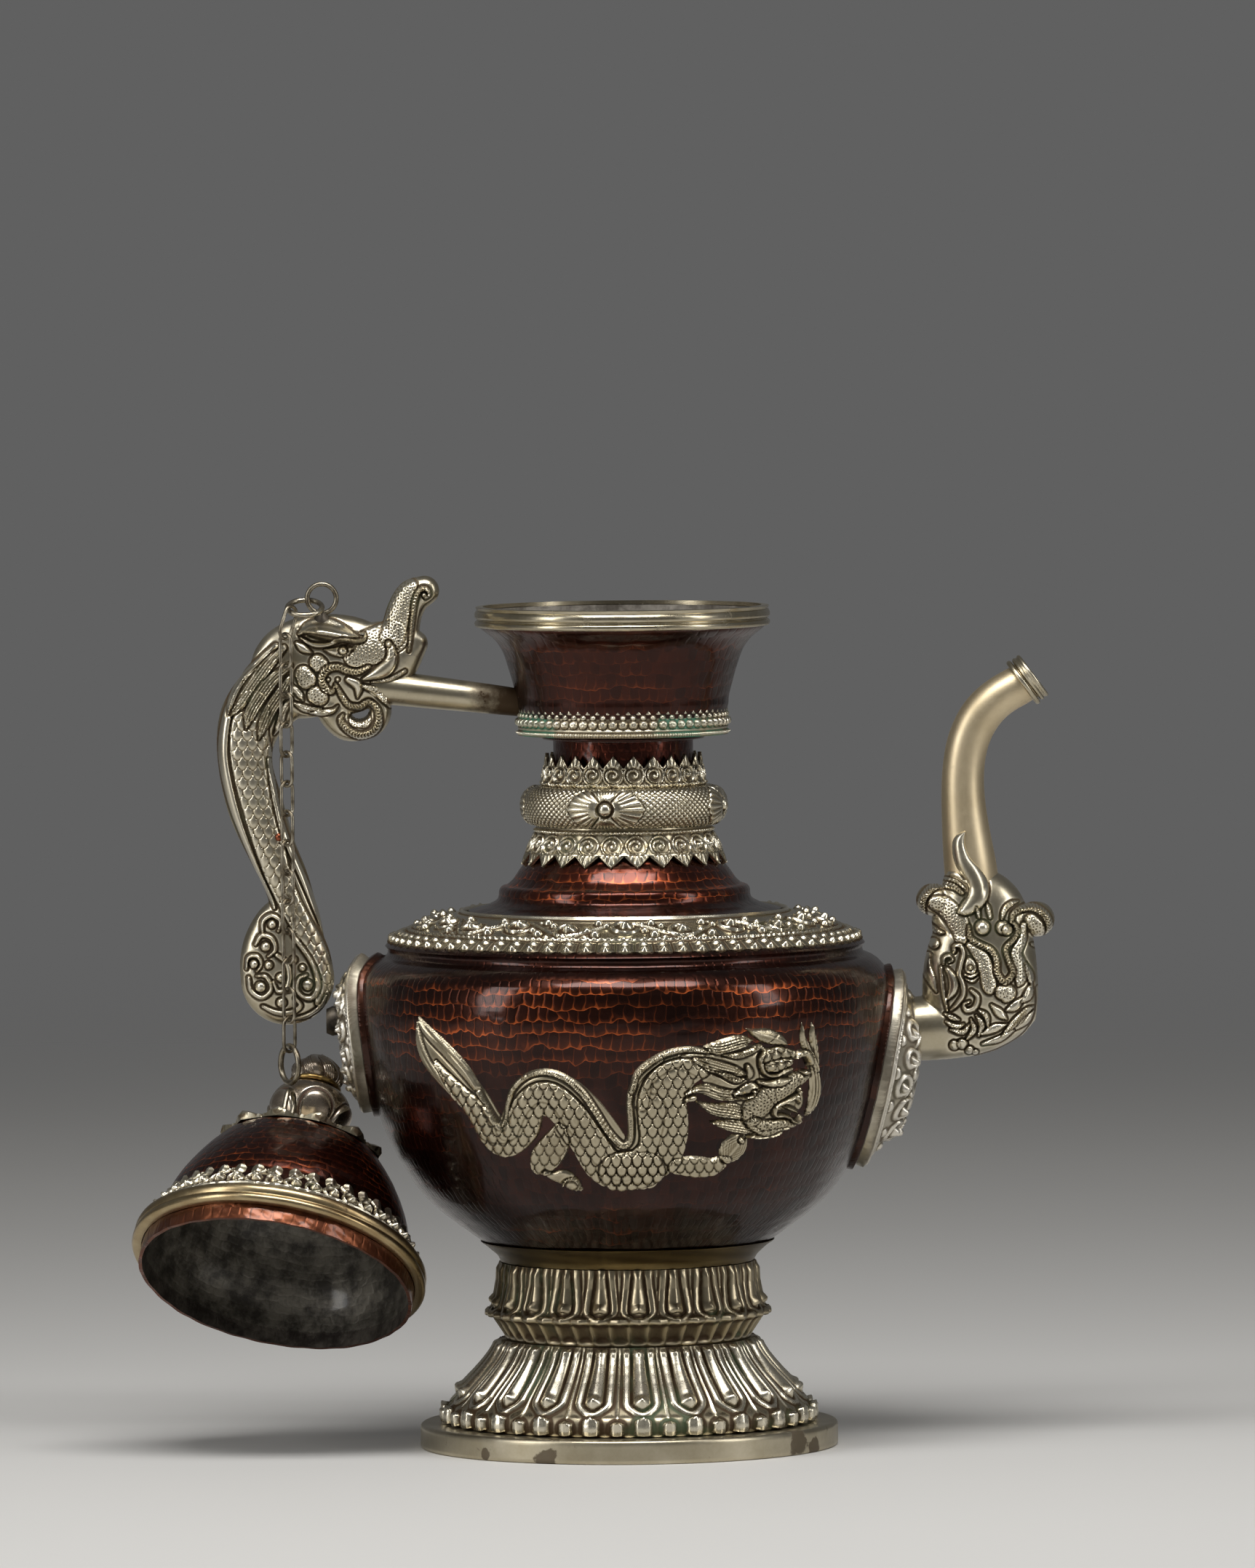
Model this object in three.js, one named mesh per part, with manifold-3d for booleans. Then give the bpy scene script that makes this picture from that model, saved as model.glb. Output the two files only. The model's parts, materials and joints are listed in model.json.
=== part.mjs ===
// A lidded ewer in hammered copper with white metal mounts: a lotus foot, a round body,
// a knopped neck under a flared cup, a makara handle, a makara spout, and a lid on a chain.
// Millimetres, +Z up. The ewer stands on Z = 0, with the spout towards +X.
import * as THREE from 'three';
import { mergeVertices } from 'three/addons/utils/BufferGeometryUtils.js';
import Module from 'manifold-3d';

const wasm = await Module();
wasm.setup();

// Fits and general sizes
const SEAT_GAP = 0.3;            // left between pieces that touch
const CROSS_GAP = 0.55;          // the same, where two wires cross askew
const OVERRUN = 4;               // how far a cutting solid runs past what it cuts
const SHEET = 1.5;               // wall of the raised copper
const MOUNT_SHEET = 1.3;         // wall of the white metal mounts

// Foot
const BASE_RADIUS = 74.8;
const BASE_HEIGHT = 8.6;
const BASE_SEAT = 5.6;           // how far the ring reaches in under the lotus
const BASE_EDGE = 0.5;
const LOTUS_LOWER_RADIUS = 67.4;
const LOTUS_LOWER_HEIGHT = 29.8;
const LOTUS_UPPER_RADIUS = 51.6;
const LOTUS_UPPER_HEIGHT = 27.3;
const LOTUS_WALL = 3.2;
const PETAL_RELIEF = 1.5;
const PETAL_COUNT = 22;
const PETAL_STEPS = 2;
const FOOT_COLLAR_EDGE = 0.7;     // the rim of the collar outside the bowl
const FOOT_SHELF_RADIUS = 40;
const FOOT_SHELF = 1.6;

// Body
const BODY_RADIUS = 95.5;
const BODY_HEIGHT = 112.2;       // from the bottom of the bowl to the ridge
const SHOULDER_RISE = 10.5;      // from the ridge to the foot of the neck
const BODY_STEPS = 28;
const BASE_SEAM_SHARE = 0.293;    // up the body, where the dish is joined to the wall
const TOP_SEAM_SHARE = 0.988;     // and where the wall is joined to the shoulder plate

// Shoulder ornament
const ORNAMENT_HEIGHT = 2.4;
const ORNAMENT_TIP = 1.8;
const ORNAMENT_LEAVES = 32;

// Neck
const NECK_FOOT_SHARE = 0.5853;   // of the body's radius
const NECK_CONE_HEIGHT = 28;     // from the flange to where the tube starts
const NECK_TUBE_RADIUS = 25;
const NECK_HEIGHT = 61.6;
const NECK_FLANGE_RADIUS = 29;
const NECK_FLANGE_HEIGHT = 1.3;
const NECK_STEPS = 24;
const COLLAR_LEAVES = 24;
const LOWER_COLLAR_HEIGHT = 12.4;
const KNOP_RADIUS = 36.7;
const KNOP_HEIGHT = 13.4;
const UPPER_COLLAR_HEIGHT = 11.8;
const UPPER_COLLAR_RADIUS = 28.9;
const LEAF_HEIGHT = 4.2;

// Mouth cup
const CUP_HEIGHT = 44.3;
const CUP_MOUTH_RADIUS = 51.3;
const CUP_SEAT_RADIUS = 35.5;
const BEAD_BAND_HEIGHT = 10;
const BEAD_BAND_RADIUS = 38.3;
const RIM_RADIUS = 52.8;
const RIM_HEIGHT = 7.3;
const RIM_CAP = 1.3;

// Handle, measured from a corner below its bulb
const HANDLE_REACH = 5.5;        // from the body to that corner
const HANDLE_RISE_SHARE = 0.7353; // of the body's height
const HANDLE_HEIGHT = 161;
const HANDLE_DEPTH = 18;
const EYE_RADIUS = 5.2;          // middle of the wire
const EYE_WIRE = 0.9;
const EYE_SIDE = 2.9;            // in front of the middle of the handle
const EYE_FOOT = 4;              // the blob of solder under the eye
const EYE_FOOT_RADIUS = 2.2;
const STRUT_RISE = 2.9;          // above the foot of the cup
const STRUT_START_RADIUS = 6.2;
const STRUT_END_RADIUS = 4.5;
const RIVET_RADIUS = 1.5;
const RIVET_HEIGHT = 1.2;
const BROW_OFFSET = 7.2;

// Plates that carry the handle and the spout on the body
const BACK_PLATE = 2;
const HANDLE_PLATE_RISE_SHARE = 0.7041; // of the body's height
const HANDLE_PLATE_HALF_SHARE = 0.2585;
const HANDLE_PLATE_HALF_WIDTH = 21;
const HANDLE_BOSS = 7;
const SPOUT_PLATE_RISE_SHARE = 0.5927;
const SPOUT_PLATE_HALF_SHARE = 0.3253;
const SPOUT_PLATE_HALF_WIDTH = 27;
const SPOUT_BOSS = 11;
const PLATE_BORDER = 3;
const PLATE_MARGIN = 2.2;
const PLATE_STEPS = 24;
const HANDLE_STUB_RISE = 2;
const HANDLE_STUB_RADIUS = 5.2;
const HANDLE_STUB_REACH = 16;

// Spout, measured from the lower corner of its head
const SPOUT_REACH = 10.2;        // from the body to that corner
const SPOUT_RISE_SHARE = 0.6105;  // of the body's height
const SPOUT_HEIGHT = 140;
const SPOUT_DEPTH = 31;
const SPOUT_WALL = 1.7;
const SPOUT_STUB_RISE = 11.5;
const SPOUT_STUB_RADIUS = 11.2;
const SPOUT_BORE_RADIUS = 5.4;
const SPOUT_CHANNEL_REACH = 18.8;
const SPOUT_RING_RADIUS = 9.5;
const SPOUT_RING = 1.9;
const SPOUT_CAP_RADIUS = 9.1;
const SPOUT_CAP = 3.6;
const TUSK_OFFSET = 11.6;
const TIP_EDGE = 0.4;
const TIP_STEPS = 16;
const PIPE_SIDES = 8;
const HEAD_SIDES = 10;
const LUMP_SIDES = 6;
const LUMP_STEPS = 8;

// Dragons laid on the body
const DRAGON_LENGTH_SHARE = 1.466; // of the body's radius
const DRAGON_HEIGHT_SHARE = 0.5348; // of the body's height
const DRAGON_LEFT_SHARE = -0.7644;
const DRAGON_RISE_SHARE = 0.2807;
const DRAGON_RELIEF = 2.4;

// Chain
const TOP_RING_RADIUS = 6.15;
const TOP_RING_WIRE = 1;
const TOP_RING_OUT = 6;          // from the middle of the eye, away from the neck
const TOP_RING_SIDE = 3.1;       // and towards the front
const TOP_RING_DROP = 3.1;       // and down
const TOP_RING_TILT = THREE.MathUtils.degToRad(24);
const TOP_RING_HOOK = THREE.MathUtils.degToRad(141);
const LINK_COUNT = 15;
const LINK_LENGTH = 13.45;
const LINK_WIDTH = 6.8;
const LINK_WIRE = 0.65;
const FIRST_LINK_LEAN = THREE.MathUtils.degToRad(24);
const LINK_TURN = THREE.MathUtils.degToRad(45);
const LID_RING_RADIUS = 6.6;
const LID_RING_WIRE = 1.05;
const LID_RING_TURN = THREE.MathUtils.degToRad(-60);
const LINK_SIDES = 6;
const LINK_STEPS = 8;
const BORE_STEPS = 10;
const RING_STEPS = 14;

// Lid
const LID_CLEARANCE = 0.4;       // the skirt in the mouth of the cup
const LID_SHEET = 1.2;
const LID_HEIGHT = 59;           // dome, from the mouth plane
const LID_SKIRT_DEPTH = 6;
const LID_RIM_RADIUS = 53.2;
const LID_RIM_HEIGHT = 7.4;
const LID_SCROLL_RELIEF = 2.2;
const LID_LEAF_TIP = 2.4;
const LID_LEAVES = 8;
const LEAF_STEPS = 4;
const KNOB_RADIUS = 15;
const KNOB_HEIGHT = 19.6;
const KNOB_RING_RADIUS = 9.6;
const KNOB_RING = 1.9;
const BUD_RADIUS = 9.4;
const BUD_HEIGHT = 11.4;
const STAPLE_RADIUS = 20.1;      // from the lid's axis
const STAPLE_TOP = 67.4;           // above the mouth plane
const STAPLE_ARCH = 4;
const STAPLE_WIRE = 1;
const LID_BALANCE = 32.5;          // height of the lid's centre of gravity
const LID_TURN = THREE.MathUtils.degToRad(18.5);
const LID_STEPS = 28;
const STAPLE_STEPS = 24;

// Places up the ewer, each piece standing on the one below
const LOTUS_LOWER_Z = BASE_HEIGHT + SEAT_GAP;
const LOTUS_UPPER_Z = LOTUS_LOWER_Z + LOTUS_LOWER_HEIGHT + SEAT_GAP;
const FOOT_COLLAR_Z = LOTUS_UPPER_Z + LOTUS_UPPER_HEIGHT + SEAT_GAP;
const BODY_Z = FOOT_COLLAR_Z + FOOT_SHELF + SEAT_GAP;
const RIDGE_Z = BODY_Z + BODY_HEIGHT;
const NECK_Z = RIDGE_Z + SHOULDER_RISE + SEAT_GAP;
const NECK_FLANGE_Z = NECK_Z + NECK_HEIGHT + SEAT_GAP;
const CUP_Z = NECK_FLANGE_Z + NECK_FLANGE_HEIGHT + SEAT_GAP;
const RIM_Z = CUP_Z + CUP_HEIGHT + SEAT_GAP + RIM_CAP - RIM_HEIGHT;

// Places beside the body
const HANDLE_X = -BODY_RADIUS - HANDLE_REACH;
const HANDLE_Z = BODY_Z + HANDLE_RISE_SHARE * BODY_HEIGHT;
const HANDLE_PLATE_Z = BODY_Z + HANDLE_PLATE_RISE_SHARE * BODY_HEIGHT;
const HANDLE_PLATE_HALF_HEIGHT = HANDLE_PLATE_HALF_SHARE * BODY_HEIGHT;
const HANDLE_STUB_Z = HANDLE_Z + HANDLE_STUB_RISE;
const SPOUT_X = BODY_RADIUS + SPOUT_REACH;
const SPOUT_Z = BODY_Z + SPOUT_RISE_SHARE * BODY_HEIGHT;
const SPOUT_PLATE_Z = BODY_Z + SPOUT_PLATE_RISE_SHARE * BODY_HEIGHT;
const SPOUT_PLATE_HALF_HEIGHT = SPOUT_PLATE_HALF_SHARE * BODY_HEIGHT;
const SPOUT_STUB_Z = SPOUT_Z + SPOUT_STUB_RISE;
const SPOUT_CHANNEL_X = SPOUT_X + SPOUT_CHANNEL_REACH;
const NECK_FOOT_RADIUS = NECK_FOOT_SHARE * BODY_RADIUS;

// Outlines, as shares of a radius and a height
const BODY_SHARES = [
  [0, 0], [0.466, 0], [0.54, 0.047], [0.603, 0.085], [0.712, 0.154], [0.78, 0.212],
  [0.841, 0.293], [0.9, 0.386], [0.963, 0.548], [0.995, 0.726], [1, 0.816], [0.99, 0.896],
  [0.921, 0.958], [0.871, 0.979], [0.889, 1],
];
const SHOULDER_SHARES = [[0.869, 0.12], [0.775, 0.59], [0.681, 0.9], [0.597, 1], [0.503, 1]];
const CONE_SHARES = [
  [1, 0.03], [0.877, 0.096], [0.805, 0.19], [0.801, 0.329], [0.733, 0.361],
  [0.648, 0.611], [0.614, 0.661], [0.537, 0.875],
];
const BOSS_SHARE = 0.68;
const ORNAMENT_SHARES = [0.45, 0.75, 1, 0.5];
const CONE_STEP = 6;             // the cone point where the lower collar starts
const BODY_INNER_ROWS = [0, 1, 3, 5, 7, 9, 11, 13, 16, 18, 19];
const NECK_INNER_ROWS = [2, 3, 5, 6, 8, 9, 10];
const CUP_INNER_ROWS = [0, 1, 2, 4, 6, 8, 9, 10];
const LID_INNER_ROWS = [0, 1, 2, 4, 6, 8, 10];
const CUP_SHARES = [
  [0.737, 0.289], [0.762, 0.406], [0.791, 0.524], [0.823, 0.641], [0.852, 0.711],
  [0.895, 0.777], [1, 0.867], [1, 1],
];
const LID_SHARES = [
  [1, 0], [1, 0.23], [0.899, 0.38], [0.879, 0.475], [0.82, 0.593], [0.729, 0.729],
  [0.607, 0.864], [0.567, 0.898], [0.405, 0.953], [0.202, 0.99], [0, 1],
];
const LID_BAND_STEPS = [1, 3];   // the lid points that the scroll band spans
const LID_PLATE_STEPS = [7, 10]; // and the leaf plate
const LOTUS_LOWER_SHARES = [[0.985, 0], [1, 0.17], [0.955, 0.25], [0.9, 0.45], [0.79, 0.64], [0.69, 1]];
const LOTUS_LOWER_RELIEF_SHARES = [0, 0.3, 1, 0.9, 0.8, 0.1];
const LOTUS_UPPER_SHARES = [[0.88, 0], [0.92, 0.16], [1, 0.35], [0.975, 0.5], [0.93, 0.64], [0.88, 1]];
const LOTUS_UPPER_RELIEF_SHARES = [0.1, 0.4, 1, 0.9, 0.7, 0.1];
const FOOT_COLLAR_SHARES = [[0.864, 0], [0.876, 0.2], [0.945, 0.65], [1, 1]];
const LOWER_COLLAR_SHARES = [[1.055, 0], [1.01, 0.3], [0.935, 0.65], [0.91, 1]];
const KNOP_SHARES = [[0.83, 0], [0.94, 0.1], [0.99, 0.3], [1, 0.5], [0.99, 0.7], [0.94, 0.9], [0.83, 1]];
const UPPER_COLLAR_SHARES = [[1, 0], [0.99, 0.15], [0.955, 0.5], [0.94, 1]];
const BEAD_BAND_SHARES = [[0.985, 0], [1, 0.1], [0.975, 0.2], [0.995, 0.45], [0.975, 0.75], [0.962, 1]];
const RIM_SHARES = [[0.992, 0], [1, 0.16], [0.985, 0.28], [1, 0.42], [1, 0.86], [0.988, 1]];
const LID_RIM_SHARES = [[0.985, 0], [1, 0.2], [0.985, 0.42], [1, 0.6], [0.99, 1]];
const KNOB_SHARES = [[0.56, 0], [0.78, 0.18], [0.96, 0.42], [1, 0.62], [0.86, 0.88], [0.56, 1]];
const BUD_SHARES = [[0.8, 0], [1, 0.2], [0.93, 0.42], [0.62, 0.7], [0.24, 0.92]];

// Stations along a form: place, half height and half depth, as shares of its size and depth
const GRIP_SHARES = [
  [-0.15, 0.745, 0.078, 0.417], [-0.18, 0.714, 0.073, 0.417], [-0.2, 0.68, 0.07, 0.417],
  [-0.212, 0.631, 0.063, 0.417], [-0.211, 0.578, 0.06, 0.417], [-0.202, 0.534, 0.061, 0.417],
  [-0.19, 0.491, 0.062, 0.417], [-0.175, 0.447, 0.059, 0.417], [-0.153, 0.391, 0.054, 0.417],
  [-0.127, 0.332, 0.051, 0.417], [-0.112, 0.28, 0.051, 0.417], [-0.112, 0.242, 0.062, 0.422],
  [-0.123, 0.208, 0.08, 0.444], [-0.129, 0.174, 0.092, 0.461], [-0.127, 0.143, 0.101, 0.472],
  [-0.123, 0.109, 0.104, 0.472], [-0.118, 0.078, 0.099, 0.461], [-0.116, 0.045, 0.085, 0.422],
  [-0.114, 0.021, 0.064, 0.344], [-0.112, 0.004, 0.032, 0.222],
];
const HEAD_SHARES = [
  [-0.146, 0.748, 0.081, 0.406], [-0.115, 0.78, 0.084, 0.4], [-0.087, 0.795, 0.109, 0.456],
  [-0.043, 0.805, 0.112, 0.489], [0.006, 0.804, 0.111, 0.5], [0.056, 0.807, 0.091, 0.478],
  [0.099, 0.823, 0.078, 0.444], [0.137, 0.842, 0.053, 0.389], [0.168, 0.851, 0.028, 0.289],
];
const TRUNK_SHARES = [
  [0.127, 0.839, 0.053, 0.389], [0.135, 0.882, 0.043, 0.356], [0.145, 0.922, 0.04, 0.333],
  [0.163, 0.954, 0.039, 0.311], [0.189, 0.968, 0.033, 0.289], [0.201, 0.948, 0.021, 0.278],
];
const CHIN_SHARES = [
  [-0.025, 0.739, 0.04, 0.389], [-0.015, 0.699, 0.035, 0.378], [0.009, 0.668, 0.03, 0.356],
  [0.04, 0.66, 0.025, 0.344], [0.071, 0.67, 0.025, 0.344], [0.088, 0.696, 0.025, 0.344],
  [0.087, 0.73, 0.025, 0.344],
];
const PIPE_SHARES = [
  [0.135, 0.421, 0.069], [0.13, 0.489, 0.068], [0.121, 0.557, 0.063], [0.113, 0.636, 0.057],
  [0.11, 0.707, 0.054], [0.114, 0.764, 0.053], [0.123, 0.811, 0.053], [0.138, 0.85, 0.053],
  [0.158, 0.884, 0.053], [0.185, 0.914, 0.052], [0.219, 0.939, 0.051], [0.259, 0.959, 0.051],
  [0.293, 0.984, 0.051],
];
const SPOUT_HEAD_SHARES = [
  [0.088, 0.001, 0.057, 0.161], [0.102, 0.014, 0.096, 0.29], [0.126, 0.057, 0.13, 0.419],
  [0.144, 0.107, 0.145, 0.484], [0.151, 0.164, 0.148, 0.5], [0.152, 0.221, 0.146, 0.484],
  [0.156, 0.271, 0.137, 0.452], [0.159, 0.314, 0.125, 0.419], [0.151, 0.364, 0.126, 0.403],
  [0.142, 0.407, 0.121, 0.387], [0.136, 0.45, 0.09, 0.355], [0.134, 0.475, 0.076, 0.323],
];
const TUSK_SHARES = [
  [0.149, 0.336, 0.024, 0.077], [0.172, 0.379, 0.026, 0.084], [0.178, 0.421, 0.023, 0.084],
  [0.155, 0.457, 0.021, 0.077], [0.121, 0.486, 0.021, 0.071], [0.106, 0.521, 0.02, 0.065],
  [0.114, 0.561, 0.016, 0.055], [0.125, 0.596, 0.007, 0.032],
];
// Lumps of the two heads: place, radius and half depth
const BROW_SHARES = [
  [-0.084, 0.885, 0.01, 0.089], [-0.043, 0.88, 0.016, 0.122], [0, 0.873, 0.015, 0.133],
  [0.037, 0.867, 0.012, 0.122], [0.062, 0.87, 0.007, 0.078],
];
const RIVET_SHARES = [-0.137, 0.425, 0.36];
const EYE_SEAT_SHARES = [-0.0385, 0.8957];
const STRUT_START_SHARES = [0.0559, 0.7578];
const EYE_SHARES = [0.013, 0.844, 0.019, 0.56];
const TRUNK_CURL_SHARES = [0.196, 0.963, 0.028, 0.3];
const SPOUT_EAR_SHARES = [[0.03, 0.412, 0.041, 0.32], [0.291, 0.36, 0.045, 0.32]];
const SPOUT_EYE_SHARES = [0.14, 0.29, 0.028, 0.52];

// Outline of a dragon, tail first along the back and home along the belly
const DRAGON_SHARES = [
  [0.007, 0.983], [0.043, 0.9], [0.107, 0.8], [0.171, 0.6], [0.214, 0.45], [0.25, 0.667],
  [0.3, 0.75], [0.357, 0.75], [0.407, 0.65], [0.45, 0.5], [0.507, 0.317], [0.518, 0.5],
  [0.543, 0.733], [0.6, 0.833], [0.679, 0.867], [0.75, 0.9], [0.814, 0.95], [0.886, 0.883],
  [0.936, 0.783], [0.943, 0.95], [0.979, 0.95], [0.993, 0.783], [0.993, 0.6], [0.964, 0.383],
  [0.95, 0.55], [0.929, 0.467], [0.943, 0.383], [0.9, 0.317], [0.85, 0.283], [0.786, 0.35],
  [0.714, 0.433], [0.671, 0.533], [0.664, 0.3], [0.721, 0.183], [0.786, 0.3], [0.814, 0.25],
  [0.807, 0.167], [0.707, 0.067], [0.636, 0.083], [0.557, 0.033], [0.457, 0.033], [0.429, 0.083],
  [0.393, 0], [0.307, 0.1], [0.279, 0.217], [0.307, 0.35], [0.264, 0.2], [0.193, 0.25],
  [0.143, 0.4], [0.114, 0.533], [0.043, 0.65], [0.007, 0.783],
];

// Finishes
const COPPER = new THREE.MeshStandardMaterial({ color: 0x6b2a18, roughness: 0.28, metalness: 0.9 });
const WHITE_METAL = new THREE.MeshStandardMaterial({ color: 0xb0a68c, roughness: 0.38, metalness: 1 });
const BRASS = new THREE.MeshStandardMaterial({ color: 0xb8954f, roughness: 0.35, metalness: 1 });
const WIRE = new THREE.MeshStandardMaterial({ color: 0x9a8e78, roughness: 0.4, metalness: 1 });

// Two corners nearer than this are one corner
const SAME_CORNER = 1e-4;

// A closed geometry as a solid, faces out
function solid(geometry) {
  const bare = geometry.clone();
  bare.deleteAttribute('normal');
  bare.deleteAttribute('uv');
  const merged = mergeVertices(bare, SAME_CORNER);
  const corners = merged.getAttribute('position');
  const faces = [];
  let volume = 0;
  const [a, b, c] = [new THREE.Vector3(), new THREE.Vector3(), new THREE.Vector3()];
  for (let i = 0; i < merged.index.count; i += 3) {
    const [p, q, r] = [0, 1, 2].map((k) => merged.index.getX(i + k));
    if (p === q || q === r || r === p) continue;
    faces.push([p, q, r]);
    [a, b, c].forEach((corner, k) => corner.fromBufferAttribute(corners, [p, q, r][k]));
    volume += a.dot(b.cross(c));
  }
  const triVerts = new Uint32Array(faces.flatMap(([p, q, r]) => (volume < 0 ? [p, r, q] : [p, q, r])));
  const vertProperties = new Float32Array(corners.array);
  return new wasm.Manifold(new wasm.Mesh({ numProp: 3, vertProperties, triVerts }));
}

// A solid as a geometry
function geometryOf(body) {
  const mesh = body.getMesh();
  const geometry = new THREE.BufferGeometry();
  geometry.setAttribute('position', new THREE.BufferAttribute(new Float32Array(mesh.vertProperties), 3));
  geometry.setIndex(new THREE.BufferAttribute(new Uint32Array(mesh.triVerts), 1));
  geometry.computeVertexNormals();
  return geometry;
}

// An outline of shares brought to size: [radius, height] pairs standing on a height
function sized(shares, radius, height, z = 0) {
  return shares.map(([out, up]) => [out * radius, z + up * height]);
}

// An outline moved square to itself, outwards for a positive distance
function offset(outline, distance) {
  const square = ([r0, z0], [r1, z1]) => new THREE.Vector2(z1 - z0, r0 - r1).normalize();
  return outline.map(([r, z], i) => {
    const sides = [];
    if (i > 0) sides.push(square(outline[i - 1], outline[i]));
    if (i < outline.length - 1) sides.push(square(outline[i], outline[i + 1]));
    const out = sides.reduce((sum, side) => sum.add(side), new THREE.Vector2()).normalize();
    const stretch = distance / Math.max(out.dot(sides[sides.length - 1]), 0.5);
    return [r === 0 ? 0 : r + out.x * stretch, z + out.y * stretch];
  });
}

// An outline with its wall, as one closed outline; the inner side keeps the named rows
function walled(outline, wall, rows) {
  const inner = offset(outline, -wall).filter((at, row) => rows.includes(row));
  return [...outline, ...inner.reverse()];
}

// A ring or a bowl turned about Z; relief moves a point of the outline at a step of the turn
function turned(outline, steps, relief = null) {
  const onAxis = outline[0][0] === 0 && outline[outline.length - 1][0] === 0;
  const profile = (onAxis ? outline : [...outline, outline[0]]).map(([r, z]) => new THREE.Vector2(r, z));
  const geometry = new THREE.LatheGeometry(profile, steps);
  if (relief) {
    const places = geometry.getAttribute('position');
    for (let turn = 0; turn <= steps; turn += 1) {
      const angle = (turn / steps) * Math.PI * 2;
      profile.forEach((point, row) => {
        const [out, up] = relief(row % outline.length, turn % steps);
        const radius = point.x + out;
        const [x, y] = [radius * Math.sin(angle), radius * Math.cos(angle)];
        places.setXYZ(turn * profile.length + row, x, point.y + up, y);
      });
    }
  }
  return geometry.rotateX(Math.PI / 2);
}

// A turned outline filled to its axis
function filled(outline, steps) {
  const ends = [outline[0], outline[outline.length - 1]];
  const inner = outline.filter(([r]) => r > 0);
  return solid(turned([[0, ends[0][1]], ...inner, [0, ends[1][1]]], steps));
}

// Stations of a form that runs in the XZ plane, from shares of its size and depth
function stations(shares, x, z, size, depth, y = 0) {
  return shares.map(([along, up, half, deep]) => ({
    x: x + along * size,
    y,
    z: z + up * size,
    half: half * size,
    deep: deep === undefined ? half * size : deep * depth,
  }));
}

// Stations with a clearance all round, and their ends run on
function grown(course, clearance, run = clearance) {
  const last = course.length - 1;
  return course.map((at, i) => {
    const next = i === 0 ? course[1] : course[last - 1];
    const share = i === 0 || i === last ? run / Math.hypot(at.x - next.x, at.z - next.z) : 0;
    return {
      x: at.x + (at.x - next.x) * share, y: at.y, z: at.z + (at.z - next.z) * share,
      half: at.half + clearance, deep: at.deep + clearance,
    };
  });
}

// A form lofted through oval sections that stand square to the line of its stations
function lofted(course, sides) {
  const places = [];
  const faces = [];
  course.forEach((at, i) => {
    const before = course[Math.max(i - 1, 0)];
    const after = course[Math.min(i + 1, course.length - 1)];
    const reach = Math.hypot(after.x - before.x, after.z - before.z);
    for (let k = 0; k < sides; k += 1) {
      const angle = (k / sides) * Math.PI * 2;
      const across = (Math.cos(angle) * at.half) / reach;
      places.push(at.x - (after.z - before.z) * across, at.y + Math.sin(angle) * at.deep);
      places.push(at.z + (after.x - before.x) * across);
    }
  });
  for (let i = 0; i < course.length - 1; i += 1) {
    for (let k = 0; k < sides; k += 1) {
      const [p, q] = [i * sides + k, i * sides + ((k + 1) % sides)];
      faces.push(p, q, q + sides, p, q + sides, p + sides);
    }
  }
  const end = (course.length - 1) * sides;
  for (let k = 1; k < sides - 1; k += 1) {
    faces.push(0, k + 1, k, end, end + k, end + k + 1);
  }
  const geometry = new THREE.BufferGeometry();
  geometry.setAttribute('position', new THREE.Float32BufferAttribute(places, 3));
  geometry.setIndex(faces);
  return geometry;
}

// A round bar between two heights along an axis, centred on a place
function bar(radius, length, steps, axis, x, y, z) {
  const geometry = new THREE.CylinderGeometry(radius, radius, length, steps);
  if (axis === 'x') geometry.rotateZ(Math.PI / 2);
  if (axis === 'z') geometry.rotateX(Math.PI / 2);
  return solid(geometry.translate(x, y, z));
}

// A flat sided oval bar that runs out along X
function ovalBar(halfWidth, halfHeight, z) {
  const reach = BODY_RADIUS + SPOUT_BOSS + OVERRUN;
  const geometry = new THREE.CylinderGeometry(1, 1, reach, PLATE_STEPS).rotateZ(Math.PI / 2);
  return solid(geometry.scale(1, halfWidth, halfHeight).translate(reach / 2, 0, z));
}

// A wire ring standing in the plane of Y and Z
function standingRing(radius, wire, steps) {
  return new THREE.TorusGeometry(radius, wire, LINK_SIDES, steps).rotateY(-Math.PI / 2);
}

const bendRadius = LINK_WIDTH / 2 - LINK_WIRE;
const linkDraw = (LINK_LENGTH - LINK_WIDTH) / 2;

// A long link: a ring drawn out along Z
function linkShape() {
  const geometry = new THREE.TorusGeometry(bendRadius, LINK_WIRE, LINK_SIDES, LINK_STEPS);
  const places = geometry.getAttribute('position');
  for (let i = 0; i < places.count; i += 1) {
    places.setX(i, places.getX(i) + Math.sign(places.getX(i)) * linkDraw);
  }
  return geometry.rotateY(-Math.PI / 2);
}

const ewer = new THREE.Group();

// Hang a named piece in a group
function piece(name, body, finish, parent = ewer) {
  const geometry = body instanceof THREE.BufferGeometry ? geometryOf(solid(body)) : geometryOf(body);
  const mesh = new THREE.Mesh(geometry, finish.clone());
  mesh.name = name;
  parent.add(mesh);
  return mesh;
}

// Foot: a plain ring, two tiers of lotus petals and the collar that cradles the bowl
const baseInner = LOTUS_LOWER_RADIUS - BASE_SEAT;
piece('base_ring', turned([
  [BASE_RADIUS, 0], [BASE_RADIUS, BASE_HEIGHT - BASE_EDGE], [BASE_RADIUS - BASE_EDGE, BASE_HEIGHT],
  [baseInner, BASE_HEIGHT], [baseInner, 0],
], BODY_STEPS), WHITE_METAL);

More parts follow.
